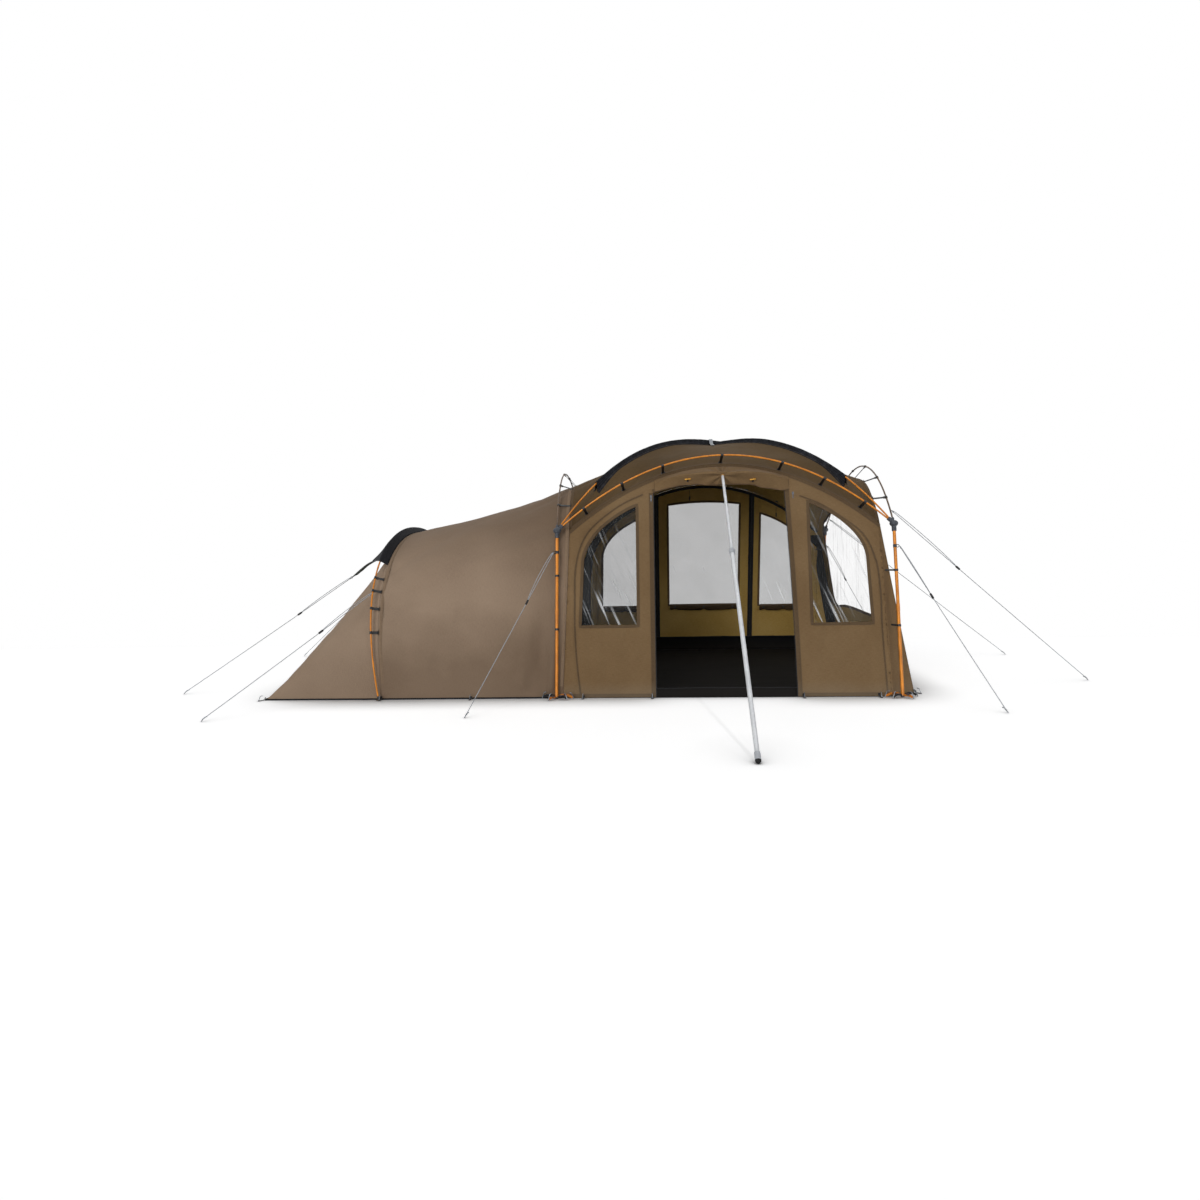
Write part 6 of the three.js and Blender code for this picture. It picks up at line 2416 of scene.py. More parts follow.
    def seams(self, sewing: Sewing) -> None:
        """Lay the felled seams of the wall's panels, the tape under the arch and the hem.

        Args:
            sewing: Where the stitches go.
        """
        trim, half = Trim(), self.seam_width / 2
        for line in self.panel_lines():
            path = smooth_line(line, 90)
            self.cloth.strip(trim, path, -half, half, FELL_LIFT, bulge=0.0012)
            for gap in (-0.3, 0.3):
                row = path + leftward(unit(np.gradient(path, axis=0))) * self.seam_width * gap
                self.cloth.sew(sewing, row, FELL_LIFT + 0.0018)
        self.cloth.strip(trim, self.seam_line(140, 0.014), -0.013, 0.012, bulge=0.0016)
        self.cloth.sew(sewing, self.seam_line(140, 0.024))
        hem = level(0.02, PLAN.base_left + 0.01, PLAN.base_right - 0.01)
        for row in [hem] if self.end == REAR else [hem[hem[:, 0] < -0.57], hem[hem[:, 0] > 0.575]]:
            self.cloth.strip(trim, row, -0.014, 0.012, bulge=0.001)
            self.cloth.sew(sewing, row + (0, 0.01))
        trim.finish("seam_tape_" + self.name, Finish.BINDING)

    def gusset(self) -> None:
        """Make the narrow panel that turns from this wall into the right wall."""
        share, up = np.meshgrid(np.linspace(0, 1, 14), np.linspace(0, 1, 70))
        e, foot, z = self.end, PLAN.ground, PLAN.shell_z - PLAN.seam_gap
        corners = [
            (PLAN.base_right, e * PLAN.wall_y(foot), foot),
            (PLAN.right_x, e * (PLAN.right_y - PLAN.seam_gap), foot),
            (PLAN.shell_x, e * PLAN.wall_y(z), z), (PLAN.shell_x + 0.004, e * (PLAN.wall_y(z) - 0.0046), z),
        ]
        a, b, c, d = (vec(*corner) for corner in corners)
        grid = lerp(lerp(a, b, share[..., None]), lerp(c, d, share[..., None]), up[..., None])
        bulge = np.sin(math.pi * share)
        fade = bulge**0.5 * np.sin(math.pi * up) ** 0.4
        push = (0.006 * waves(grid, 0.3, 9.1 + e) - 0.01 * bulge * (1 - up)) * fade
        shell("gusset_" + self.name, grid, (1, e, 0), push, (Finish.CANVAS, Finish.LINING))

    def lining(self) -> None:
        """Lay the dark tapes on the inside of the wall, and the rear wall's two zips."""
        trim, coils = Trim(), []
        self.cloth.strip(trim, self.seam_line(120, 0.022), -0.014, 0.014, -0.003, cells=2)
        for x in self.zip_x if self.end == REAR else ():
            top = float(PLAN.front_seam(x / PLAN.shell_x))
            self.cloth.strip(trim, upright(x, 0.155, top - 0.02, 60), -0.028, 0.028, -0.0034, cells=4,
                             bulge=-0.002)
            coils.append(self.cloth.on(upright(x, 0.16, top - 0.03, 50), -0.0075))
        trim.finish("inner_tape_" + self.name, Finish.BLACK_WEB)
        if coils:
            grown("rear_zip_coil", coils, row_tree(RowShape.TOOTH), Finish.PLASTIC, pitch=0.0035,
                  length=0.002,
                  width=0.0068, height=0.0022)

    def blinds(self) -> None:
        """Make the rolled blinds that are tied along the bottoms of the windows."""
        rolls, ties = Trim(), Heap()
        turn, ring = np.linspace(0, 2 * math.pi, 29), circle(np.zeros(3), Y_WAY, Z_WAY, 29)
        for number, (start, end, z) in enumerate([(0.63, 1.15, 0.5), (-1.15, -0.63, 0.5),
                                                  (-0.385, 0.385, 0.512)]):
            x = np.linspace(start, end, 90)
            spots = [lerp(start, end, share) for share in self.blind_ties]
            tied = sum(bell(x, spot, 0.022) for spot in spots)
            y, z = self.end * (PLAN.wall_y(z) - self.blind_back), z - self.blind_drop
            middle = stack(x, y, z - 0.006 * np.sin(np.linspace(0, math.pi, 90)) * (1 - tied))
            wobble = waves(stack(x[:, None], np.cos(turn)[None] * 0.1 + number, np.sin(turn)[None] * 0.1),
                           0.07, 2.0, 2)
            radius = self.blind_radius * (1 - 0.34 * tied)[:, None]
            reach = radius * (1 + 0.1 * np.sin(3 * turn + x[:, None] * 9)) + 0.0024 * wobble
            grid = middle[:, None] + ring * reach[..., None]
            grid[:, -1] = grid[:, 0]
            rolls.lay(grid, ring)
            side = lerp(start, end, 0.3)
            hung = PLAN.front_seam(side / PLAN.shell_x)
            cord = vec(side, self.end * (PLAN.wall_y(hung) - 0.02), hung - 0.05)
            ties.tube([cord, cord - (0, 0, 0.075)], 0.0022, 6, Y_WAY)
            ties.turned([(-0.022, 0), (-0.022, 0.005), (0.022, 0.0065), (0.022, 0)], cord - (0, 0, 0.09),
                        Z_WAY, 14)
            for spot in spots:
                at = vec(spot, y, z)
                ties.strap(at + 0.0205 * ring, 0.01, 0.0016, X_WAY)
                ties.turned([(-0.014, 0), (-0.014, 0.003), (-0.008, 0.0046), (0.008, 0.0046), (0.014, 0.003),
                             (0.014, 0)],
                            at + (0, -self.end * 0.025, 0.004), (1, 0, 0.2), 12)
        rolls.finish("rolled_blinds_" + self.name, Finish.ROLL, -0.0015)
        ties.build("blind_ties_" + self.name, Finish.PLASTIC)

    def bundle(self) -> None:
        """Make the dark blind that is gathered up the left side and over the top of the left window."""
        line = smooth_line([(-1.118, 0.53), (-1.122, 0.8), (-1.112, 1.02), (-1.066, 1.19), (-0.97, 1.33),
                            (-0.83, 1.45),
                            (-0.66, 1.55)], 110)
        share, turn = np.linspace(0, 1, 110)[:, None], np.linspace(0, 2 * math.pi, 33)[None]
        radius = lerp(0.043, 0.016, smoothstep(share, 0.35, 0.8)) * (1 - 0.35 * bell(share, 0.5, 0.03))
        middle = stack(line[:, 0], self.end * (PLAN.wall_y(line[:, 1]) - 0.012 - radius[:, 0]), line[:, 1])
        way = unit(np.gradient(middle, axis=0))
        across = unit(np.cross(way, Y_WAY))
        upward = np.cross(way, across)[:, None]
        ring = np.cos(turn)[..., None] * across[:, None] + np.sin(turn)[..., None] * upward
        pleats = 1 + 0.14 * np.sin(5 * turn + 6 * share) + 0.06 * np.sin(9 * turn - 9 * share)
        rolls, ties = Trim(), Heap()
        rolls.lay(middle[:, None] + ring * (radius * pleats)[..., None], ring)
        rolls.finish("gathered_blind_" + self.name, Finish.NET, -0.0015)
        for k in (14, 55, 92):
            ties.strap(middle[k] + ring[k] * (radius[k] * 1.12), 0.012, 0.0016, way[k])
        ties.build("blind_straps_" + self.name, Finish.BLACK_WEB)

    def doorway(self, sewing: Sewing) -> None:
        """Lay the zip along the doorway's sides, with its tapes and flaps.

        Args:
            sewing: Where the stitches go.
        """
        line, tape, flap, teeth = self.door(), Trim(), Trim(), []
        for side, row in ((RIGHT, line[:30]), (LEFT, line[-12:][::-1])):
            row = evenly(row, 0.02, False)
            self.cloth.strip(tape, row, *sorted((-0.02 * side, 0.002 * side)), -0.0016)
            self.cloth.strip(flap, row, *sorted((-0.034 * side, -0.001 * side)), cells=5, bulge=0.0012)
            teeth.append(self.cloth.on(row - (0.004 * side, 0), -0.0006))
            for gap in (0.006, 0.03):
                self.cloth.sew(sewing, row[2:-1] + (gap * side, 0), FELL_LIFT)
        self.cloth.strip(flap, evenly(line[29:-11], 0.02, False), -0.03, 0.0, cells=4, bulge=0.002)
        tape.finish("door_zip_tape", Finish.BLACK_WEB, 0.001)
        flap.finish("door_flap", Finish.BINDING)
        grown("door_zip_teeth", teeth, row_tree(RowShape.TOOTH), Finish.PLASTIC, pitch=0.0034, length=0.0019,
              width=0.006,
              height=0.0026)


@dataclass
class RightWall:
    """The wall on the right: cloth, its wide window and its curtain."""

    width: float = 1.24
    height: float = 1.6
    step: float = 0.0185
    tie_height: float = 1.13

    def __post_init__(self) -> None:
        """Set out the wall's surface."""
        self.cloth = Cloth(self.place, 1.0, self.folds)

    def place(self, flat: Array) -> Array:
        """Return points of the wall's inner face at flat positions."""
        return PLAN.right_wall(np.clip(flat[..., 0] / self.width, -1, 1), flat[..., 1] / self.height)

    @staticmethod
    def folds(p: Array) -> Array:
        """Return the push of the wall's folds.

        Args:
            p: Flat points.

        Returns:
            The push.
        """
        y, z = np.abs(p[..., 1]), p[..., 2]
        edge = smoothstep(z, 0.0, 0.06) * smoothstep(PLAN.shell_y - y + 0.11 * (1 - z / PLAN.shell_z), 0.0,
                                                     0.08)
        high = smoothstep(PLAN.side_top - 0.43 * (y / PLAN.shell_y) ** PLAN.side_power - z, 0.0, 0.08)
        push = creased(p[..., 1:], [
            ((-0.62, 0.5), (-0.95, 0.1), 0.03, 0.008), ((1.02, 0.5), (1.12, 0.08), 0.03, 0.007),
            ((-0.6, 1.45), (-0.85, 1.62), 0.02, 0.006), ((0.1, 0.45), (0.0, 0.06), 0.03, 0.005),
            ((0.98, 1.42), (1.06, 1.52), 0.02, 0.005), ((-0.35, 0.45), (-0.4, 0.1), 0.03, -0.005),
        ], 0.005 * waves(p, 0.7, 4.4) + 0.0016 * waves(p * (1, 1, 0.4), 0.16, 8.2, 2))
        return push * edge * high

    def flat(self, outline: Array) -> Array:
        """Return flat positions of points given as y and z."""
        v, j = PLAN.on_right_wall(outline[:, 0], outline[:, 1])
        return np.c_[v * self.width, j * self.height]

    def build(self, sewing: Sewing) -> None:
        """Make the wall, its window, its seams and its curtain.

        Args:
            sewing: Where the stitches go.
        """
        w, h, cloth = self.width, self.height, self.cloth
        window = self.flat(WINDOWS.rounded(-0.6, 1.0, 0.52, 1.44, 0.12))
        outline = evenly([(-w, 0.0), (w, 0.0), (w, h), (-w, h)], 0.05)
        cloth.cut("wall_cloth_right", outline, [window], self.step, node="wall_right")
        trim, tape = Trim(), Trim()
        Glazing().fit("side", cloth, window, trim, sewing, Finish.FILM)
        trim.finish("window_binding_right", Finish.BINDING)
        cloth.strip(tape, level(0.02, 0.01 - w, w - 0.01), -0.015, 0.012, bulge=0.001)
        cloth.strip(tape, level(h - 0.016, 0.01 - w, w - 0.01), -0.013, 0.013, bulge=0.0016)
        for side in (-1, 1):
            cloth.strip(tape, upright(side * (w - 0.012), 0.03, h - 0.03), -0.01, 0.01, bulge=0.001)
            cloth.sew(sewing, upright(side * (w - 0.02), 0.03, h - 0.03))
        cloth.sew(sewing, level(0.028, 0.01 - w, w - 0.01))
        tape.finish("seam_tape_right", Finish.BINDING)
        self.curtain()

    def curtain(self) -> None:
        """Make the mesh curtain that is gathered and tied at the window's rear side."""
        s, up = np.meshgrid(np.linspace(-1, 1, 150), np.linspace(0, 1, 90))
        top = 1.29
        z = lerp(0.33, top, up)
        waist = 1 - 0.45 * bell(z, self.tie_height, 0.13)
        y = 1.045 + s * 0.068 * waist * (1 + 0.16 * (1 - up)) - 0.02 * z / top
        pleat = np.cos(s * math.pi * 7 + 0.6 * np.sin(up * 5)) + 0.4 * np.cos(s * math.pi * 11 + 1.0 + up * 2)
        pleat = pleat * (0.5 + 0.5 * np.cos(s * math.pi / 2))
        full = 1 + 1.5 * smoothstep(z, 1.14, top)
        depth = 0.026 + (0.062 * np.sqrt(np.maximum(0, 1 - s * s)) + 0.0095 * pleat) * full
        grid = stack(lerp(PLAN.right_x, PLAN.shell_x, z / PLAN.shell_z) - 0.006 - waist * depth, y, z)
        shell("gathered_curtain", grid, -X_WAY, 0.0, (Finish.NET,), 0.0009, "curtain")
        tie, wall = Heap(), lerp(PLAN.right_x, PLAN.shell_x, self.tie_height / PLAN.shell_z)
        middle = vec(wall - 0.0245, 1.0275, self.tie_height)
        loop = circle(middle - (0.014, 0, 0), 0.034 * vec(1, 0, -0.1), 0.044 * Y_WAY, 33)
        tie.strap(loop, 0.016, 0.0018, Z_WAY)
        tie.block((0.01, 0.034, 0.01), middle - (0.05, 0, 0), X_WAY, Z_WAY, 0.3)
        tie.build("curtain_tie", Finish.BLACK_WEB)


@dataclass
class Roof:
    """The dome's roof with the mesh sleeves of its two diagonal poles."""

    cells: int = 140
    sleeve_radius: float = 0.013
    band: float = 0.044
    seam_end: float = 0.985

    @staticmethod
    def folds(u: Array, v: Array, grid: Array) -> Array:
        """Return the push of the roof's folds: none under the sleeves and at the seams.

        Args:
            u: Share across it.
            v: Share from front to rear.
            grid: Its points.

        Returns:
            The push.
        """
        w = np.maximum(np.abs(u), np.abs(v))
        clear = smoothstep(np.abs(np.abs(u) - np.abs(v)), 0.03, 0.16) * smoothstep(1 - w, 0.0, 0.07)
        rows = []
        for sign in (-1.0, 1.0):
            for a in PLAN.arch_hooks:
                rows.append(((a, sign), (a * 0.72 + 0.03, sign * 0.6), 0.02, 0.009))
                rows.append(((sign, a), (sign * 0.62, a * 0.7 - 0.03), 0.02, 0.008))
            rows += [((a, sign * 0.97), (a * 0.4, sign * 0.45), 0.024, -0.006)
                     for a in (-0.45, -0.2, 0.15, 0.42)]
        push = 0.0075 * waves(grid, 0.75, 2.2) + 0.0028 * waves(grid, 0.24, 6.4, 2)
        return creased(np.stack([u, v], -1), rows, push) * clear

    @staticmethod
    def height(x: Array, y: Array) -> Array:
        """Return the height of the roof's inner face over plan points.

        Args:
            x: Distance to the right.
            y: Distance to the rear.

        Returns:
            The height.
        """
        u, v = x / PLAN.shell_x, y / (PLAN.shell_x * PLAN.hub_y / PLAN.hub_x)
        for _ in range(6):
            at = PLAN.roof(u, v)
            u, v = (share * np.where((place == 0) | (now == 0), 1, place / np.where(now == 0, 1, now))
                    for share, place, now in ((u, x, at[..., 0]), (v, y, at[..., 1])))
        return PLAN.roof(u, v)[..., 2]

    def build(self, sewing: Sewing) -> None:
        """Make the roof, the sleeves, the seams and the strap at the crossing.

        Args:
            sewing: Where the stitches go.
        """
        u, v = np.meshgrid(*[np.linspace(-1, 1, self.cells + 1)] * 2)
        grid = PLAN.roof(u, v)
        shell("roof_cloth", grid, Z_WAY, self.folds(u, v, grid), (Finish.ROOF, Finish.LINING), node="roof")
        self.sleeve("upper", RIGHT, 0.0, sewing)
        self.sleeve("lower", LEFT, PLAN.crossing_drop, sewing)
        heap, v = Heap(), np.linspace(0.02, -0.24, 40)
        path = PLAN.roof(np.zeros(40), v) + stack(0, 0, 0.011 + 0.05 * bell(v, 0, 0.075))
        heap.strap(path, 0.032, 0.0024, X_WAY)
        heap.build("crossing_strap", Finish.GREY_WEB)
        self.rim(sewing)

    def rim(self, sewing: Sewing) -> None:
        """Lay the taped seams along the roof's four edges.

        Args:
            sewing: Where the stitches go.
        """
        trim = Trim()
        a, b = np.meshgrid(np.linspace(-self.seam_end, self.seam_end, 120),
                           1 - np.array([0.0, 0.006, 0.014, 0.02]) / 1.2)
        bulge = 0.001 * np.sin(math.pi * (1 - b) / (1 - b[-1, 0]))
        for grid in (PLAN.roof(a, -b), PLAN.roof(a, b), PLAN.roof(-b, a), PLAN.roof(b, a)):
            out = grid_normals(grid)
            out = out * np.sign(out[..., 2:])
            grid = grid + out * (TAPE_LIFT + bulge)[..., None]
            trim.lay(grid, out)
            sewing.rows.append(grid[2] + out[2] * 0.0012)
        trim.finish("roof_seam_tape", Finish.BINDING)

    def sleeve(self, name: str, side: float, dip: float, sewing: Sewing) -> None:
        """Make one sleeve: a strip of mesh that arches over the pole and is sewn down on both sides.

        Args:
            name: Name of the piece.
            side: Which of the two ways it crosses the roof.
            dip: How far it lies below the upper sleeve.
            sewing: Where the stitches go.
        """
        reach = PLAN.sleeve_share * PLAN.shell_x / PLAN.hub_x + 0.11
        axis = PLAN.diagonal(np.linspace(-reach, reach, 240), dip, side)
        left = np.cross(Z_WAY, unit(vec(side * PLAN.hub_x, PLAN.hub_y, 0)))
        r, edge = self.sleeve_radius, np.array([0.0175, 0.022, 0.029, 0.036, self.band])
        gaps = np.r_[-edge[::-1], r * np.sin(np.linspace(-1.5, 1.5, 13)), edge]
        grid = axis[:, None] + left * gaps[None, :, None]
        low = self.height(grid[..., 0], grid[..., 1]) + CANVAS_THICKNESS + 0.0016
        if dip == 0:
            low = low + 0.0265 * bell(np.linalg.norm(axis[:, :2], axis=-1)[:, None], 0, 0.052)
        run = np.linalg.norm(np.gradient(axis[:, :2], axis=0), axis=-1)
        slope = np.gradient(axis[:, 2]) / np.maximum(run, 1e-9)
        arch = axis[:, None, 2] + np.sqrt(np.maximum(r * r - gaps**2, 0.0)) * np.sqrt(1 + slope**2)[:, None]
        over = np.abs(gaps)[None] < r
        grid[..., 2] = np.where(over, np.maximum(low, arch), low)
        grid[..., 2] += 0.0009 * waves(grid, 0.05, 3.3 + side, 2) * over
        shell("pole_sleeve_" + name, grid, Z_WAY, 0.0, (Finish.SLEEVE,), 0.0009, node="sleeve_" + name)
        for gap in (2, len(gaps) - 3):
            sewing.rows.append(grid[:, gap] + Z_WAY * STITCH_RISE)


@dataclass
class Tunnel:
    """The sleeping tunnel, its tail and the rain hood over its hoop."""

    columns: int = 176
    rows: int = 96
    tail_rows: int = 60
    middle: Point = (-2.0, 0, 0.3)
    seam_lift: float = 0.0026
    skirt: tuple[float, ...] = (0.0006, 0.006, 0.013)
    skirt_gap: float = 0.004

    def build(self, sewing: Sewing) -> None:
        """Make the tunnel, the tail and the hood.

        Args:
            sewing: Where the stitches go.
        """
        self.body()
        self.tail()
        self.hood()
        self.seams(sewing)

    def body(self) -> None:
        """Make the tunnel's cloth."""
        leg, wide = PLAN.leg_cells / PLAN.tunnel_cells, 4.4
        dense = leg * np.linspace(0, 1, 37) ** 1.7
        across = np.r_[dense, np.linspace(leg, 1 - leg, self.columns - 71)[1:-1], 1 - dense[::-1]]
        t, j = np.meshgrid(across, np.linspace(0, 1, self.rows + 1))
        grid = PLAN.tunnel(t, j)
        fade = smoothstep(j, 0, 0.06) * smoothstep(1 - j, 0, 0.06) * smoothstep(grid[..., 2], 0.0, 0.1)
        rows = [
            ((0.8, 0.0), (0.35, 1.3), 0.07, 0.024), ((0.8, 0.02), (0.62, 1.2), 0.06, -0.02),
            ((0.82, 0.0), (1.1, 1.1), 0.05, 0.013), ((0.55, 1.6), (0.95, 0.6), 0.07, 0.022),
            ((0.72, 1.6), (1.3, 0.7), 0.06, -0.018), ((0.97, 1.6), (1.7, 0.6), 0.06, 0.018),
            ((1.35, 0.0), (1.25, 1.0), 0.05, 0.012), ((1.8, 0.0), (1.7, 1.0), 0.05, 0.01),
            ((2.2, 0.0), (2.25, 1.2), 0.06, 0.012), ((0.04, 0.11), (0.78, 0.06), 0.045, -0.034),
            ((0.04, 0.21), (0.74, 0.14), 0.05, 0.03), ((0.05, 0.36), (0.66, 0.23), 0.05, -0.022),
            ((0.78, 0.06), (0.52, 0.6), 0.055, -0.024), ((0.66, 0.06), (0.4, 0.72), 0.06, 0.024),
            ((0.5, 0.95), (0.62, 1.58), 0.05, -0.01), ((0.1, 0.3), (0.6, 0.6), 0.04, 0.01),
            ((0.15, 1.2), (0.55, 1.0), 0.04, -0.01), ((0.3, 0.1), (0.05, 0.9), 0.04, 0.01),
        ]
        rows += [((wide - a, b), (wide - c, d), width, depth) for (a, b), (c, d), width, depth in rows]
        push = 0.014 * waves(grid, 0.75, 1.9) + 0.0035 * waves(grid * (0.45, 1, 1), 0.22, 7.3, 2)
        push = creased(np.stack([t * wide, j * 1.6], -1), rows, push)
        push = np.where(push < 0, push * smoothstep(grid[..., 2], 0.13, 0.4), push)
        shell("tunnel_cloth", grid, unit(grid - self.middle), push * fade, (Finish.TUNNEL, Finish.LINING),
              node="tunnel")

    def tail(self) -> None:
        """Make the tail's cloth."""
        turn, j = np.meshgrid(np.linspace(0, math.pi, self.columns + 1),
                              np.linspace(0, 1, self.tail_rows + 1))
        grid = PLAN.tail(0.5 - 0.5 * np.cos(turn), j)
        fade = smoothstep(j, 0, 0.08) * smoothstep(1 - j, 0, 0.08) * smoothstep(grid[..., 2], 0.0, 0.06)
        push = 0.016 * waves(grid, 0.65, 5.9) + 0.003 * waves(grid, 0.2, 1.3, 2)
        shell("tail_cloth", grid, (-1, 0, 0.6), push * fade, (Finish.TAIL, Finish.LINING), node="tail")

    def hood(self) -> None:
        """Make the rain hood, the binding round it and the two rings at its tips."""
        first = PLAN.hood_from
        s, j = np.meshgrid(np.linspace(-1, 1, 97), np.r_[np.linspace(0, 1, 9), np.linspace(1, 4, 57)[1:]])
        grid = PLAN.hood(lerp(0.5, 1 - first, s), j)
        out = np.sin(math.pi * np.clip((j - 1) / 3, 0, 1))
        fade = smoothstep(j, 1.05, 1.5) * smoothstep(1 - np.abs(s), 0.0, 0.12)
        push = (0.014 * waves(grid, 0.45, 3.8) + 0.004 * waves(grid, 0.15, 8.8, 2)) * fade
        tuck = 0.1 * out * np.abs(s) ** 5
        grid[..., 2] -= 0.04 * out * np.maximum(np.cos(s * math.pi / 2), 0) ** 0.7 * smoothstep(j, 1.0, 1.6)
        grid[..., 1] -= tuck * 0.8 * np.sign(s)
        grid[..., 2] += tuck * 0.5
        shell("hood_cloth", grid, (-0.7, 0, 0.7), push, (Finish.HOOD, Finish.BRIM), node="hood")
        trim, rings = Heap(), Heap()
        for edge, radius, side in ((grid[-1], 0.0042, Z_WAY), (grid[8:, 0], 0.0036, Y_WAY),
                                   (grid[8:, -1], 0.0036, Y_WAY)):
            trim.tube(edge + (0, 0, 0.001), radius, 8, side)
        trim.build("hood_binding", Finish.BLACK_WEB)
        for side in (-1.0, 1.0):
            tip = mirrored(PLAN.hood_tip, y=side) - (0.004, 0, 0)
            rings.tube(circle(tip, 0.0095 * X_WAY, 0.0095 * Z_WAY, 25), 0.002, 8, Y_WAY)
        rings.build("hood_rings", Finish.STEEL)

    def seams(self, sewing: Sewing) -> None:
        """Lay the seams round the hoop, at the dome and along the ridge, and the skirt along the ground.

        Args:
            sewing: Where the stitches go.
        """
        trim, dark = Trim(), Trim()
        t = np.linspace(0.012, 0.988, 240)
        for j in (0.987, 0.012):
            grid = PLAN.tunnel(t[:, None], j + np.array([-0.008, -0.003, 0.003, 0.008]))
            out = unit(grid - self.middle)
            n = grid_normals(grid)
            n = n * np.sign(np.sum(n * out, -1, keepdims=True))
            trim.lay(grid + n * self.seam_lift, out)
            sewing.rows.append(grid[:, 1] + n[:, 1] * (self.seam_lift + STITCH_RISE))
        j = np.linspace(0.02, 0.98, 120)
        ridge = PLAN.tunnel(0.5 + np.array([-0.0022, -0.0008, 0.0008, 0.0022]), j[:, None])
        trim.lay(ridge + (0, 0, 0.007), Z_WAY)
        trim.finish("tunnel_seam_tape", Finish.TUNNEL_TAPE)
        gap, half, end = self.skirt_gap, PLAN.seam_half, PLAN.tail_x - 0.004
        runs = []
        for t, sign in ((0.0, -1.0), (1.0, 1.0)):
            foot = PLAN.tunnel(t, np.linspace(0.0, 1.0, 80))
            runs.append((stack(foot[:, 0], sign * (np.abs(foot[:, 1]) + gap), 0.0), (0, sign, 0)))
        runs.append((stack(end, np.linspace(-half - 0.002, half + 0.002, 120), 0.0), (-1, 0, 0)))
        for sign in (-1.0, 1.0):
            runs.append((stack(np.linspace(PLAN.seam_foot, end, 50), sign * (half + gap), 0.0), (0, sign, 0)))
        for path, out in runs:
            dark.lay(path[:, None] + stack(0, 0, self.skirt), out)
        dark.finish("tunnel_skirt", Finish.HOOD)


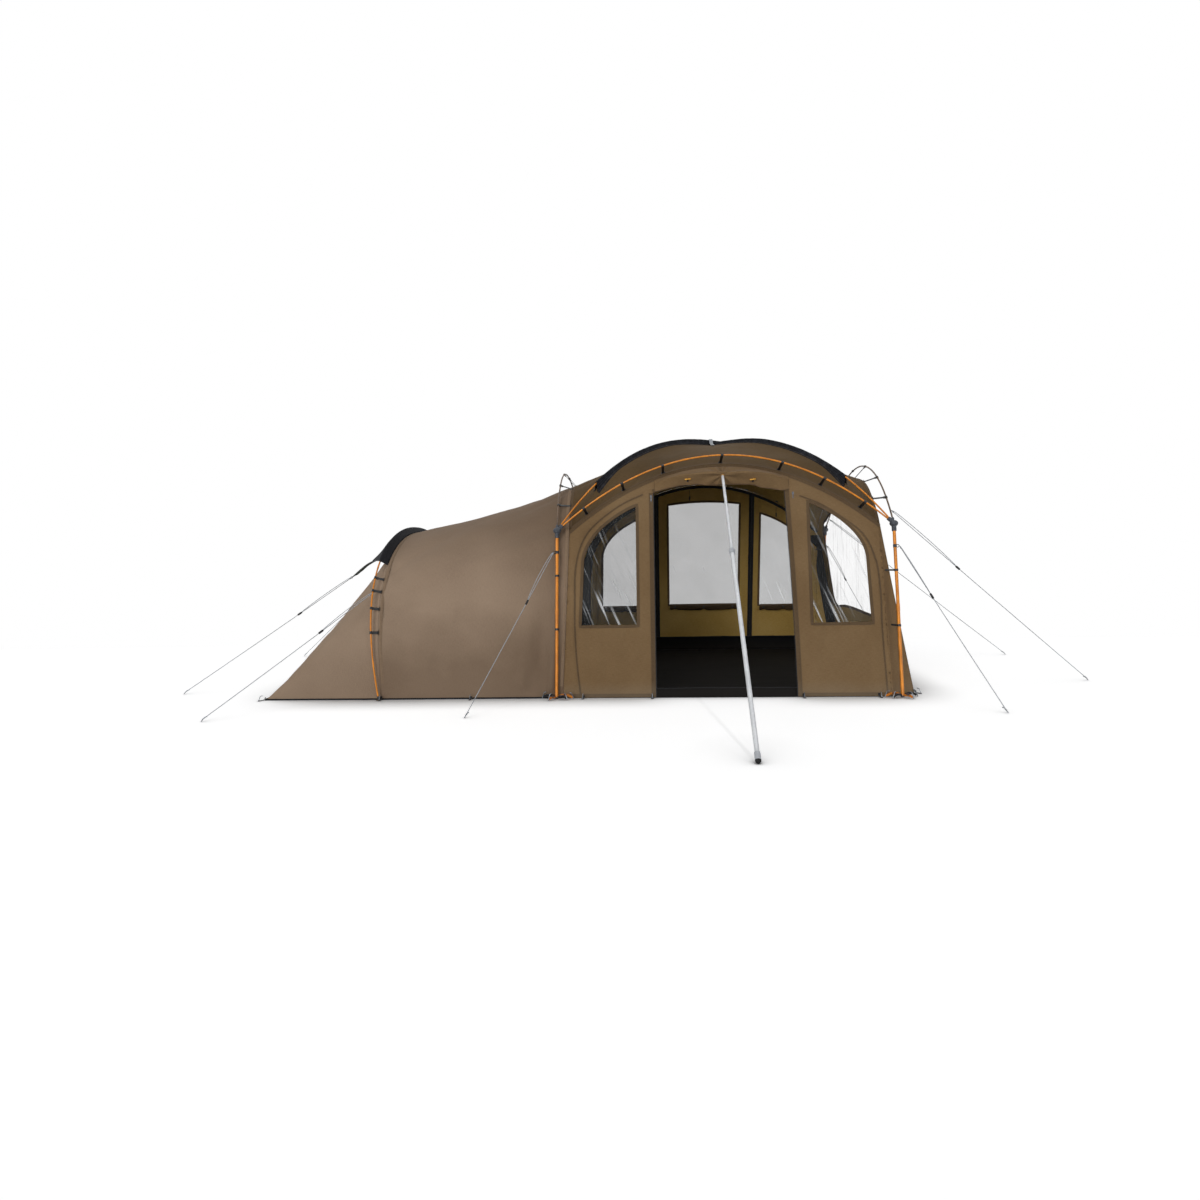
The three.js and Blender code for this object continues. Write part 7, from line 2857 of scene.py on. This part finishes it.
@dataclass
class Floor:
    """The groundsheet with its raised rim, and the webbing loops and pegs that hold the tent down."""

    step: float = 0.05
    rim_step: float = 0.02
    rim: float = 0.15
    sill: float = 0.07
    inset: float = 0.009
    flat: tuple[float, float] = (5.3, 2.84)
    middle: Point = (-0.6, 0, 0)

    def outline(self, z: float) -> Array:
        """Return the rim's corners, seen from above, at a height.

        Args:
            z: The height.

        Returns:
            The corners.
        """
        lean = PLAN.base_y - float(PLAN.wall_y(z)) + self.inset
        x = PLAN.right_x - self.inset - (PLAN.right_x - PLAN.shell_x) / PLAN.shell_z * z
        right, left, y = PLAN.base_right - self.inset, PLAN.seam_foot + 2 * self.inset, PLAN.base_y - lean
        return np.array([(x, lean - PLAN.right_y), (x, PLAN.right_y - lean), (right, y), (left, y),
                         (left, -y), (right, -y)])

    def build(self) -> None:
        """Make the groundsheet, its rim and what holds the tent down."""
        self.sheet()
        self.wall()
        self.loops()

    def sheet(self) -> None:
        """Make the flat sheet that lies on the ground."""
        r, s, f = PLAN.right_x + 0.002, PLAN.right_y + 0.002, PLAN.base_y + 0.002
        half = [(r, s), (PLAN.base_right, f), (PLAN.base_left, f), (PLAN.seam_foot, PLAN.seam_half + 0.002),
                (PLAN.tail_x - 0.002, PLAN.seam_half)]
        slab = np.array([(r, -s), *half, *((x, -y) for x, y in half[:0:-1])])
        flat, faces = cut_cloth(slab, [], self.step)
        x, y = flat[:, 0], np.abs(flat[:, 1])
        gap = np.min([np.abs(x - r), np.abs(x - PLAN.tail_x), np.abs(y - f)], axis=0)
        points = np.c_[flat, np.full(len(flat), 0.0004)]
        fold = waves(points, 0.6, 2.7) * 0.0022 + np.abs(waves(points * (0.5, 1, 1), 0.3, 6.1, 2)) * 0.003
        points[:, 2] += np.maximum(fold + 0.0012, 0) * smoothstep(gap, 0.03, 0.16)
        sheet("floor_sheet", points, faces, flat, self.flat, [Finish.FLOOR], 0.0009, "groundsheet")

    def wall(self) -> None:
        """Make the rim that stands up inside the walls, lower at the doorway, with its binding."""
        corners, rows = np.c_[self.outline(0.0), self.outline(self.rim)], []
        for a, b in zip(corners, np.roll(corners, -1, axis=0)):
            count = int(np.linalg.norm((b - a)[:2]) / self.rim_step)
            rows.append(lerp(a, b, (np.arange(count) / count)[:, None]))
        line = np.concatenate([*rows, rows[0][:1]])
        x = line[:, 0]
        doorway = (line[:, 1] < -1.0) & (np.abs(x) < 0.9)
        dip = smoothstep(x, -0.66, -0.56) * smoothstep(-x, -0.66, -0.56) * doorway
        top = lerp(self.rim, self.sill, dip) + 0.004 * waves(np.c_[line[:, :2], 0 * x], 0.35, 1.1, 2)
        z = 0.0016 + np.linspace(0, 1, 9) * top[:, None]
        share = z / self.rim
        grid = np.concatenate([lerp(line[:, None, :2], line[:, None, 2:], share[..., None]), z[..., None]],
                              -1)
        push = 0.0045 * np.abs(waves(grid, 0.25, 4.9, 2)) * np.sin(math.pi * share * 0.9)
        pushed = grid + unit((self.middle - grid) * (0.3, 1, 0)) * push[..., None]
        trim, edge = Trim(), Heap()
        trim.lay(pushed, grid - self.middle)
        trim.finish("floor_rim", Finish.FLOOR, 0.0014)
        edge.tube(pushed[:, -1], 0.0032, 8)
        edge.build("floor_rim_binding", Finish.BLACK_WEB)

    def loops(self) -> None:
        """Make the webbing loops and pegs round the foot of the tent."""
        straps, pegs, buckles = Heap(), Heap(), Heap()
        tail = PLAN.tail_x
        spots = [(-2.05, -1.385, 0, -1), (-1.134, -1.372, -0.1, -1), (-0.585, -1.374, 0, -1),
                 (0.6, -1.374, 0, -1),
                 (1.18, -1.374, 0.1, -1), (1.492, -1.238, 0.7, -0.7), (1.492, -0.45, 1, 0),
                 (-2.79, -1.404, 0, -1),
                 (tail, -1.4, -0.7, -0.7)]
        spots += [(x, -y, a, -b) for x, y, a, b in spots]
        spots += [(tail, 0.0, -1, 0), (tail, -0.7, -1, 0), (tail, 0.7, -1, 0), (-2.35, 1.392, 0, 1)]
        for x, y, a, b in spots:
            way, start = unit(vec(a, b, 0)), vec(x, y, 0.016)
            across, lean = np.cross(way, Z_WAY), unit(Z_WAY - way * 0.45)
            path = [start + way * out + (0, 0, z)
                    for out, z in ((0.001, 0.012), (0.004, 0.0), (0.016, -0.01), (0.044, -0.0125))]
            straps.strap(evenly(path, 0.008, False), 0.016, 0.0018, across)
            ring = circle(start + way * 0.052 - (0, 0, 0.012), 0.0095 * way, 0.0095 * across)
            buckles.tube(ring, 0.0019, 8)
            foot = start + way * 0.058 - (0, 0, 0.016)
            pegs.tube(hooked([foot], foot + lean * 0.04, -way, 0.005, 0.012, 6), 0.003, 8, across)
        straps.build("base_loops", Finish.BLACK_WEB)
        buckles.build("base_rings", Finish.PLASTIC)
        pegs.build("base_pegs", Finish.STEEL)


@dataclass
class Cabin:
    """The sleeping cabin's dark front wall, with its open doorway."""

    x: float = -1.345
    half: float = 0.42
    low: float = 0.18
    side_top: float = 1.16
    top: float = 1.25
    inset: float = 0.02
    rise: float = 0.153
    step: float = 0.03

    def build(self) -> None:
        """Make the wall and the tape round its doorway."""
        share = (self.x + PLAN.shell_x) / (PLAN.seam_foot + PLAN.shell_x) + 0.02
        t = np.linspace(1, 0, 90)[1:-1]
        edge = lerp(PLAN.tunnel_mouth(t), PLAN.seam(t), share)
        edge[:, 2] -= PLAN.sag * 4 * share * (1 - share) * edge[:, 2] / PLAN.shell_z
        pull = 1 - self.inset / np.hypot(edge[:, 1], edge[:, 2])
        flat = np.c_[edge[:, 1] * pull, np.maximum(edge[:, 2] * pull, self.rise + 0.002)]
        side = float(PLAN.wall_y(0.15)) - 0.017
        foot = [(-side, 0.006), (side, 0.006), (side, self.rise)]
        outline = np.vstack([foot, flat[flat[:, 1] > 0.16], (-side, self.rise)])
        door = WINDOWS.arched(self.half, self.low, self.side_top, self.top)
        cloth = Cloth(lambda p: stack(self.x, p[..., 0], p[..., 1]), 1.0, self.folds)
        cloth.cut("cabin_wall", outline, [door], self.step, 0.0, 0.0015, (Finish.CABIN, Finish.CABIN),
                  "inner_wall")
        trim = Trim()
        cloth.strip(trim, evenly(door, 0.03), -0.018, 0.0, 0.0018, True)
        trim.finish("cabin_door_tape", Finish.BLACK_WEB)

    @staticmethod
    def folds(p: Array) -> Array:
        """Return the push of the wall's slack folds."""
        fade = smoothstep(p[..., 2], 0.1, 0.4) * smoothstep(1.25 - np.abs(p[..., 1]), 0, 0.2)
        return 0.01 * waves(p * (1, 1, 0.5), 0.45, 6.6) * fade


# ---------------------------------------------------------------- door, canopy and awning pole


@dataclass
class Awning:
    """The canopy over the door, the pole that holds it out, and the door's two zip sliders."""

    pole_top: Point = (0.0, -1.196, 1.762)
    foot_radius: float = 0.018
    foot_y: float = -3.168
    half: float = 0.545
    seam_drop: float = 0.022
    ridge_reach: float = 0.026
    fall_reach: float = 0.074
    side: float = 1.658
    upper_radius: float = 0.011
    lower_radius: float = 0.0145
    upper_shown: float = 0.905
    upper_hidden: float = 0.48
    travel: float = 0.42
    cloth: float = 0.002
    gap: float = 0.0013
    zip_x: float = 0.572
    zip_height: float = 1.61
    hem: tuple[tuple[float, float], ...] = (
        (-0.545, 1.65), (-0.531, 1.65), (-0.4, 1.682), (-0.273, 1.7), (-0.05, 1.686), (0.1, 1.69),
        (0.244, 1.686),
        (0.299, 1.664), (0.4, 1.648), (0.488, 1.634), (0.545, 1.645),
    )
    toggles: tuple[tuple[float, float], ...] = ((-0.275, 1.738), (0.244, 1.724))

    def __post_init__(self) -> None:
        """Work out the pole's line."""
        self.top = np.asarray(self.pole_top)
        foot = vec(0, self.foot_y, self.foot_radius)
        self.down, self.length = unit(foot - self.top), float(np.linalg.norm(foot - self.top))

    def build(self, sewing: Sewing) -> None:
        """Make the canopy, the pole and the zip sliders.

        Args:
            sewing: Where the stitches go.
        """
        self.canopy(sewing)
        self.tubes()
        self.collar()
        self.foot()
        self.sliders()

    def behind(self, z: float | Array) -> float | Array:
        """Return y just in front of the wall at a height."""
        return -PLAN.wall_y(z) - self.cloth - self.gap

    def canopy_place(self, s: Array, j: Array) -> Array:
        """Return points of the canopy's under side, s across it, j from seam (0) over ridge (3) to hem (6).

        Args:
            s: Share across it, from -1 to 1.
            j: Place from 0 to 6.

        Returns:
            The points.
        """
        s, j = np.broadcast_arrays(np.asarray(s, float), np.asarray(j, float))
        up = -self.down
        fall = self.top + vec(0, up[2], -up[1]) * self.fall_reach
        ridge = self.top + vec(0, -up[2], up[1]) * self.ridge_reach
        top = PLAN.front_seam(s * self.half / PLAN.shell_x) - self.seam_drop
        out = np.maximum(1 - s * s, 0) ** 0.8
        ridge_z, hem_z = lerp(lerp(self.side, top, 0.55), ridge[2], out), lerp(self.side, fall[2], out)
        a, k = np.clip(j / 3, 0, 1), np.clip((j - 3) / 3, 0, 1)
        z = lerp(top, ridge_z, a)
        y = self.behind(z) + (ridge[1] - self.behind(ridge[2])) * out * a**1.1
        start, end = lerp(self.behind(ridge_z), ridge[1], out), lerp(self.behind(hem_z), fall[1], out)
        first = j <= 3
        return stack(s * self.half, np.where(first, y, lerp(start, end, k)),
                     np.where(first, z, lerp(ridge_z, hem_z, k)))

    def canopy(self, sewing: Sewing) -> None:
        """Make the canopy with its scalloped hem, binding, grommet and toggles.

        Args:
            sewing: Where the stitches go.
        """
        s, j = np.meshgrid(np.linspace(-1, 1, 141), np.r_[np.linspace(0, 3, 31), np.linspace(3, 6, 37)[1:]])
        grid = self.canopy_place(s, j)
        hem = np.pad(np.interp(s[0] * self.half, *zip(*self.hem)), 6, mode="edge")
        hem = np.convolve(hem, np.hanning(13) / np.hanning(13).sum(), "valid")
        share = np.clip((j - 3) / 3, 0, 1)
        grid[..., 2] += (hem - grid[-1, :, 2]) * share**1.3
        across, above = grid[..., 0], grid[..., 2] - self.top[2]
        angle, radius = np.arctan2(above, across), np.hypot(across, above)
        radial = np.sin(angle * 9 + 0.8) * bell(radius, 0, 0.22) * smoothstep(radius, 0.012, 0.05)
        fade = np.clip(1 - np.abs(s) ** 6, 0, 1) * smoothstep(j, 0.0, 0.6)
        push = (0.006 * radial + 0.006 * waves(grid, 0.3, 4.1) + 0.002 * waves(grid, 0.1, 2.9, 2)) * fade
        push = push + (0.006 * np.sin(s * 23) * share**2 + 0.004) * fade * 0.7
        shell("canopy_cloth", grid, (0, -1.0, 0.25), push, (Finish.CANVAS, Finish.LINING), 0.0016,
              "door_canopy")
        self.canopy_trim(grid, sewing)

    def canopy_trim(self, grid: Array, sewing: Sewing) -> None:
        """Make the canopy's hem binding, its grommet, and the two toggles on it.

        Args:
            grid: The canopy's points.
            sewing: Where the stitches go.
        """
        hem, brass, loops = Heap(), Heap(), Heap()
        hem.tube(grid[-1] - (0, 0.003, 0), 0.0038, 8)
        hem.build("canopy_hem", Finish.BINDING)
        sewing.rows.append(grid[-4] - (0, 0.0085, 0))
        ring = [(-0.005, 0.0048), (-0.0052, 0.0105), (-0.0042, 0.0125), (-0.003, 0.0128), (0.005, 0.0128),
                (0.0058, 0.0105),
                (0.0056, 0.0048), (-0.005, 0.0048)]
        brass.turned(ring, self.top + self.down * 0.004, self.down, 28)
        flank = [(-0.024, 0), (-0.024, 0.005), (-0.019, 0.0078), (-0.006, 0.0082)]
        for x, z in self.toggles:
            row = self.canopy_place(x / self.half, np.linspace(3, 6, 200))
            at = row[np.argmin(np.abs(row[:, 2] - z))]
            body = [*flank, (0.0, 0.0052), *((-a, b) for a, b in flank[::-1])]
            brass.turned(body, at - (0, 0.014, 0), (1.0, 0, 0.08), 20)
            loops.tube(circle(at - (0, 0.01, 0), 0.01 * vec(1, 0, 0.1), 0.006 * Y_WAY, 21), 0.0016, 6)
            loops.block((0.02, 0.014, 0.0022), at - (0, 0.005, 0.01), Z_WAY, -Y_WAY, 0.3)
        brass.build("canopy_brass", Finish.BRASS)
        loops.build("canopy_loops", Finish.BLACK_WEB)

    def turned(self, rows: Sequence[Point], name: str, finish: Finish, part: str, node: str = "",
               sides: int = 40) -> None:
        """Turn a profile round the pole's axis and ride it on a part of the pole.

        Args:
            rows: Radius and height of each ring.
            name: Name of the piece.
            finish: Its finish.
            part: Part of the pole that it rides on.
            node: The frame's node that it replaces.
            sides: Corners of its section.
        """
        heap = Heap()
        heap.turned(rows, self.top, self.down, sides)
        heap.build(name, finish, "awning_" + part, node and "awning_pole_" + node)

    def tubes(self) -> None:
        """Make the pole's two tubes: the upper one with its spike, and the hollow lower one."""
        r, q, mouth = self.upper_radius, self.lower_radius, self.upper_shown
        end = mouth + self.upper_hidden
        tip = [(-0.026 + 0.004 * (1 - math.cos(a)), 0.004 * math.sin(a))
               for a in np.linspace(0, math.pi / 2, 6)]
        rows = tip + [(0.004, 0.004), (0.0045, 0.0062), (0.006, 0.0068), (0.016, 0.0092), (0.019, r),
                      (0.052, r),
                      (0.0525, r - 0.0004), (0.0545, r - 0.0004), (0.055, r), (end, r), (end, 0.0)]
        self.turned(rows, "pole_tube_upper", Finish.SILVER, "upper", "upper")
        depth, bore, last = end + self.travel + 0.02, r + 0.0005, self.length - 0.006
        rows = [(depth, 0.0), (depth, q - 0.0017), (mouth + 0.04, q - 0.0017), (mouth + 0.04, bore),
                (mouth, bore),
                (mouth, q - 0.0006), (mouth + 0.0006, q), (mouth + 0.07, q), (mouth + 0.0705, q - 0.0005),
                (mouth + 0.0735, q - 0.0005), (mouth + 0.074, q), (last, q), (last, 0.0)]
        self.turned(rows, "pole_tube_lower", Finish.SILVER, "lower", "lower")

    def collar(self) -> None:
        """Make the twist collar with its ribs, every fourth of them a broad one."""
        start, neck = self.upper_shown - 0.016, self.upper_radius + 0.001
        inner, outer = self.lower_radius + 0.001, self.lower_radius + 0.005
        rows = [(0.0, neck), (0.0, outer - 0.0034), (0.0012, outer - 0.0024), (0.006, outer), (0.038, outer),
                (0.039, outer + 0.0012), (0.045, outer + 0.0012), (0.046, outer), (0.046, inner),
                (0.0157, inner),
                (0.0157, neck), (0.0, neck)]
        collar = Heap()
        collar.turned([(start + a, b) for a, b in rows], self.top, self.down, 48)
        for k, way in enumerate(circle(np.zeros(3), X_WAY, np.cross(self.down, X_WAY), 25)[:-1]):
            wide, high = (0.002, 0.0016) if k % 4 else (0.0042, 0.003)
            middle = self.top + self.down * (start + 0.022) + way * (outer + high * 0.25)
            collar.block((0.028, wide, high), middle, self.down, way, 0.25)
        collar.build("twist_collar", Finish.NYLON, "awning_collar", "awning_pole_collar")

    def foot(self) -> None:
        """Make the nylon sleeve with its grooves and the domed rubber foot below it."""
        f, inner = self.foot_radius, self.lower_radius + 0.001
        last, joint = self.length - 0.006, self.length - 0.002
        boot = [(last - 0.046, inner), (last - 0.046, f - 0.001), (last - 0.04, f)]
        for base in last - 0.034 + 0.008 * np.arange(4):
            boot += [(base, f), (base + 0.0012, f - 0.0012), (base + 0.003, f - 0.0012), (base + 0.0042, f)]
        boot = [row for row in boot if row[0] < joint] + [(joint, f), (joint, inner), boot[0]]
        self.turned(boot, "foot_sleeve", Finish.NYLON, "lower", "foot")
        dome = [(self.length + f * math.sin(a), f * math.cos(a)) for a in np.linspace(0, math.pi / 2, 9)[:-1]]
        self.turned([(joint + 0.0002, 0.0), (joint + 0.0002, f), *dome, (self.length + f, 0.0)],
                    "rubber_foot",
                    Finish.RUBBER, "lower")

    def sliders(self) -> None:
        """Make the two sliders of the door's zip."""
        z, down = self.zip_height, unit(vec(0, PLAN.shell_y - PLAN.base_y, -PLAN.shell_z))
        out = unit(-Y_WAY - down * (-Y_WAY @ down))
        for name, side in (("left", LEFT), ("right", RIGHT)):
            middle, heap = vec(side * self.zip_x, -PLAN.wall_y(z), z) + out * 0.0102, Heap()
            heap.block((0.021, 0.016, 0.003), middle - out * 0.002, down, out, 0.3)
            heap.block((0.021, 0.014, 0.003), middle + out * 0.002, down, out, 0.3)
            heap.block((0.006, 0.006, 0.005), middle - down * 0.006, down, out, 0.2)
            arch = [middle + down * along + out * lift
                    for along, lift in ((-0.008, 0.0045), (-0.006, 0.0075), (0.004, 0.0075), (0.007, 0.0045))]
            heap.strap(evenly(arch, 0.003, False), 0.004, 0.0014, X_WAY)
            heap.block((0.036, 0.0072, 0.0018), middle + down * 0.026 + out * 0.0058, down, out, 0.35)
            heap.tube(circle(middle + out * 0.0062 + down * 0.006, 0.0034 * down, 0.0034 * out), 0.0008, 6,
                      X_WAY)
            heap.build("zip_slider_" + name, Finish.ZIP, "zip_" + name, "zip_" + name)


def save_size(before: object, after: object) -> None:
    """Args:
        before: The frame's bounds.
        after: The bounds with the pieces.
    """
    plain = lambda value: [plain(v) for v in value] if hasattr(value, "__len__") else float(value)
    {"frame": plain(before), "finished": plain(after)}


def main() -> None:
    """Build the tent round its frame, piece by piece."""
    logging.basicConfig(level=logging.INFO, format="%(message)s")
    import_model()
    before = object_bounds()
    stage = Stage()
    stage.camera()
    for line in guy_lines():
        line.build()
    sewing = Sewing()
    Frame().build()
    for end, front in ((FRONT, "front"), (REAR, "rear")):
        for x, side in ((LEFT, "_left"), (RIGHT, "_right")):
            Corner(front + side, x, end).build()
    Roof().build(sewing)
    EndWall("front", FRONT).build(sewing)
    EndWall("rear", REAR).build(sewing)
    RightWall().build(sewing)
    Tunnel().build(sewing)
    Floor().build()
    Cabin().build()
    Awning().build(sewing)
    sewing.finish()
    stage.floor()
    stage.light()
    save_size(before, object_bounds())


if __name__ == "__main__":
    main()
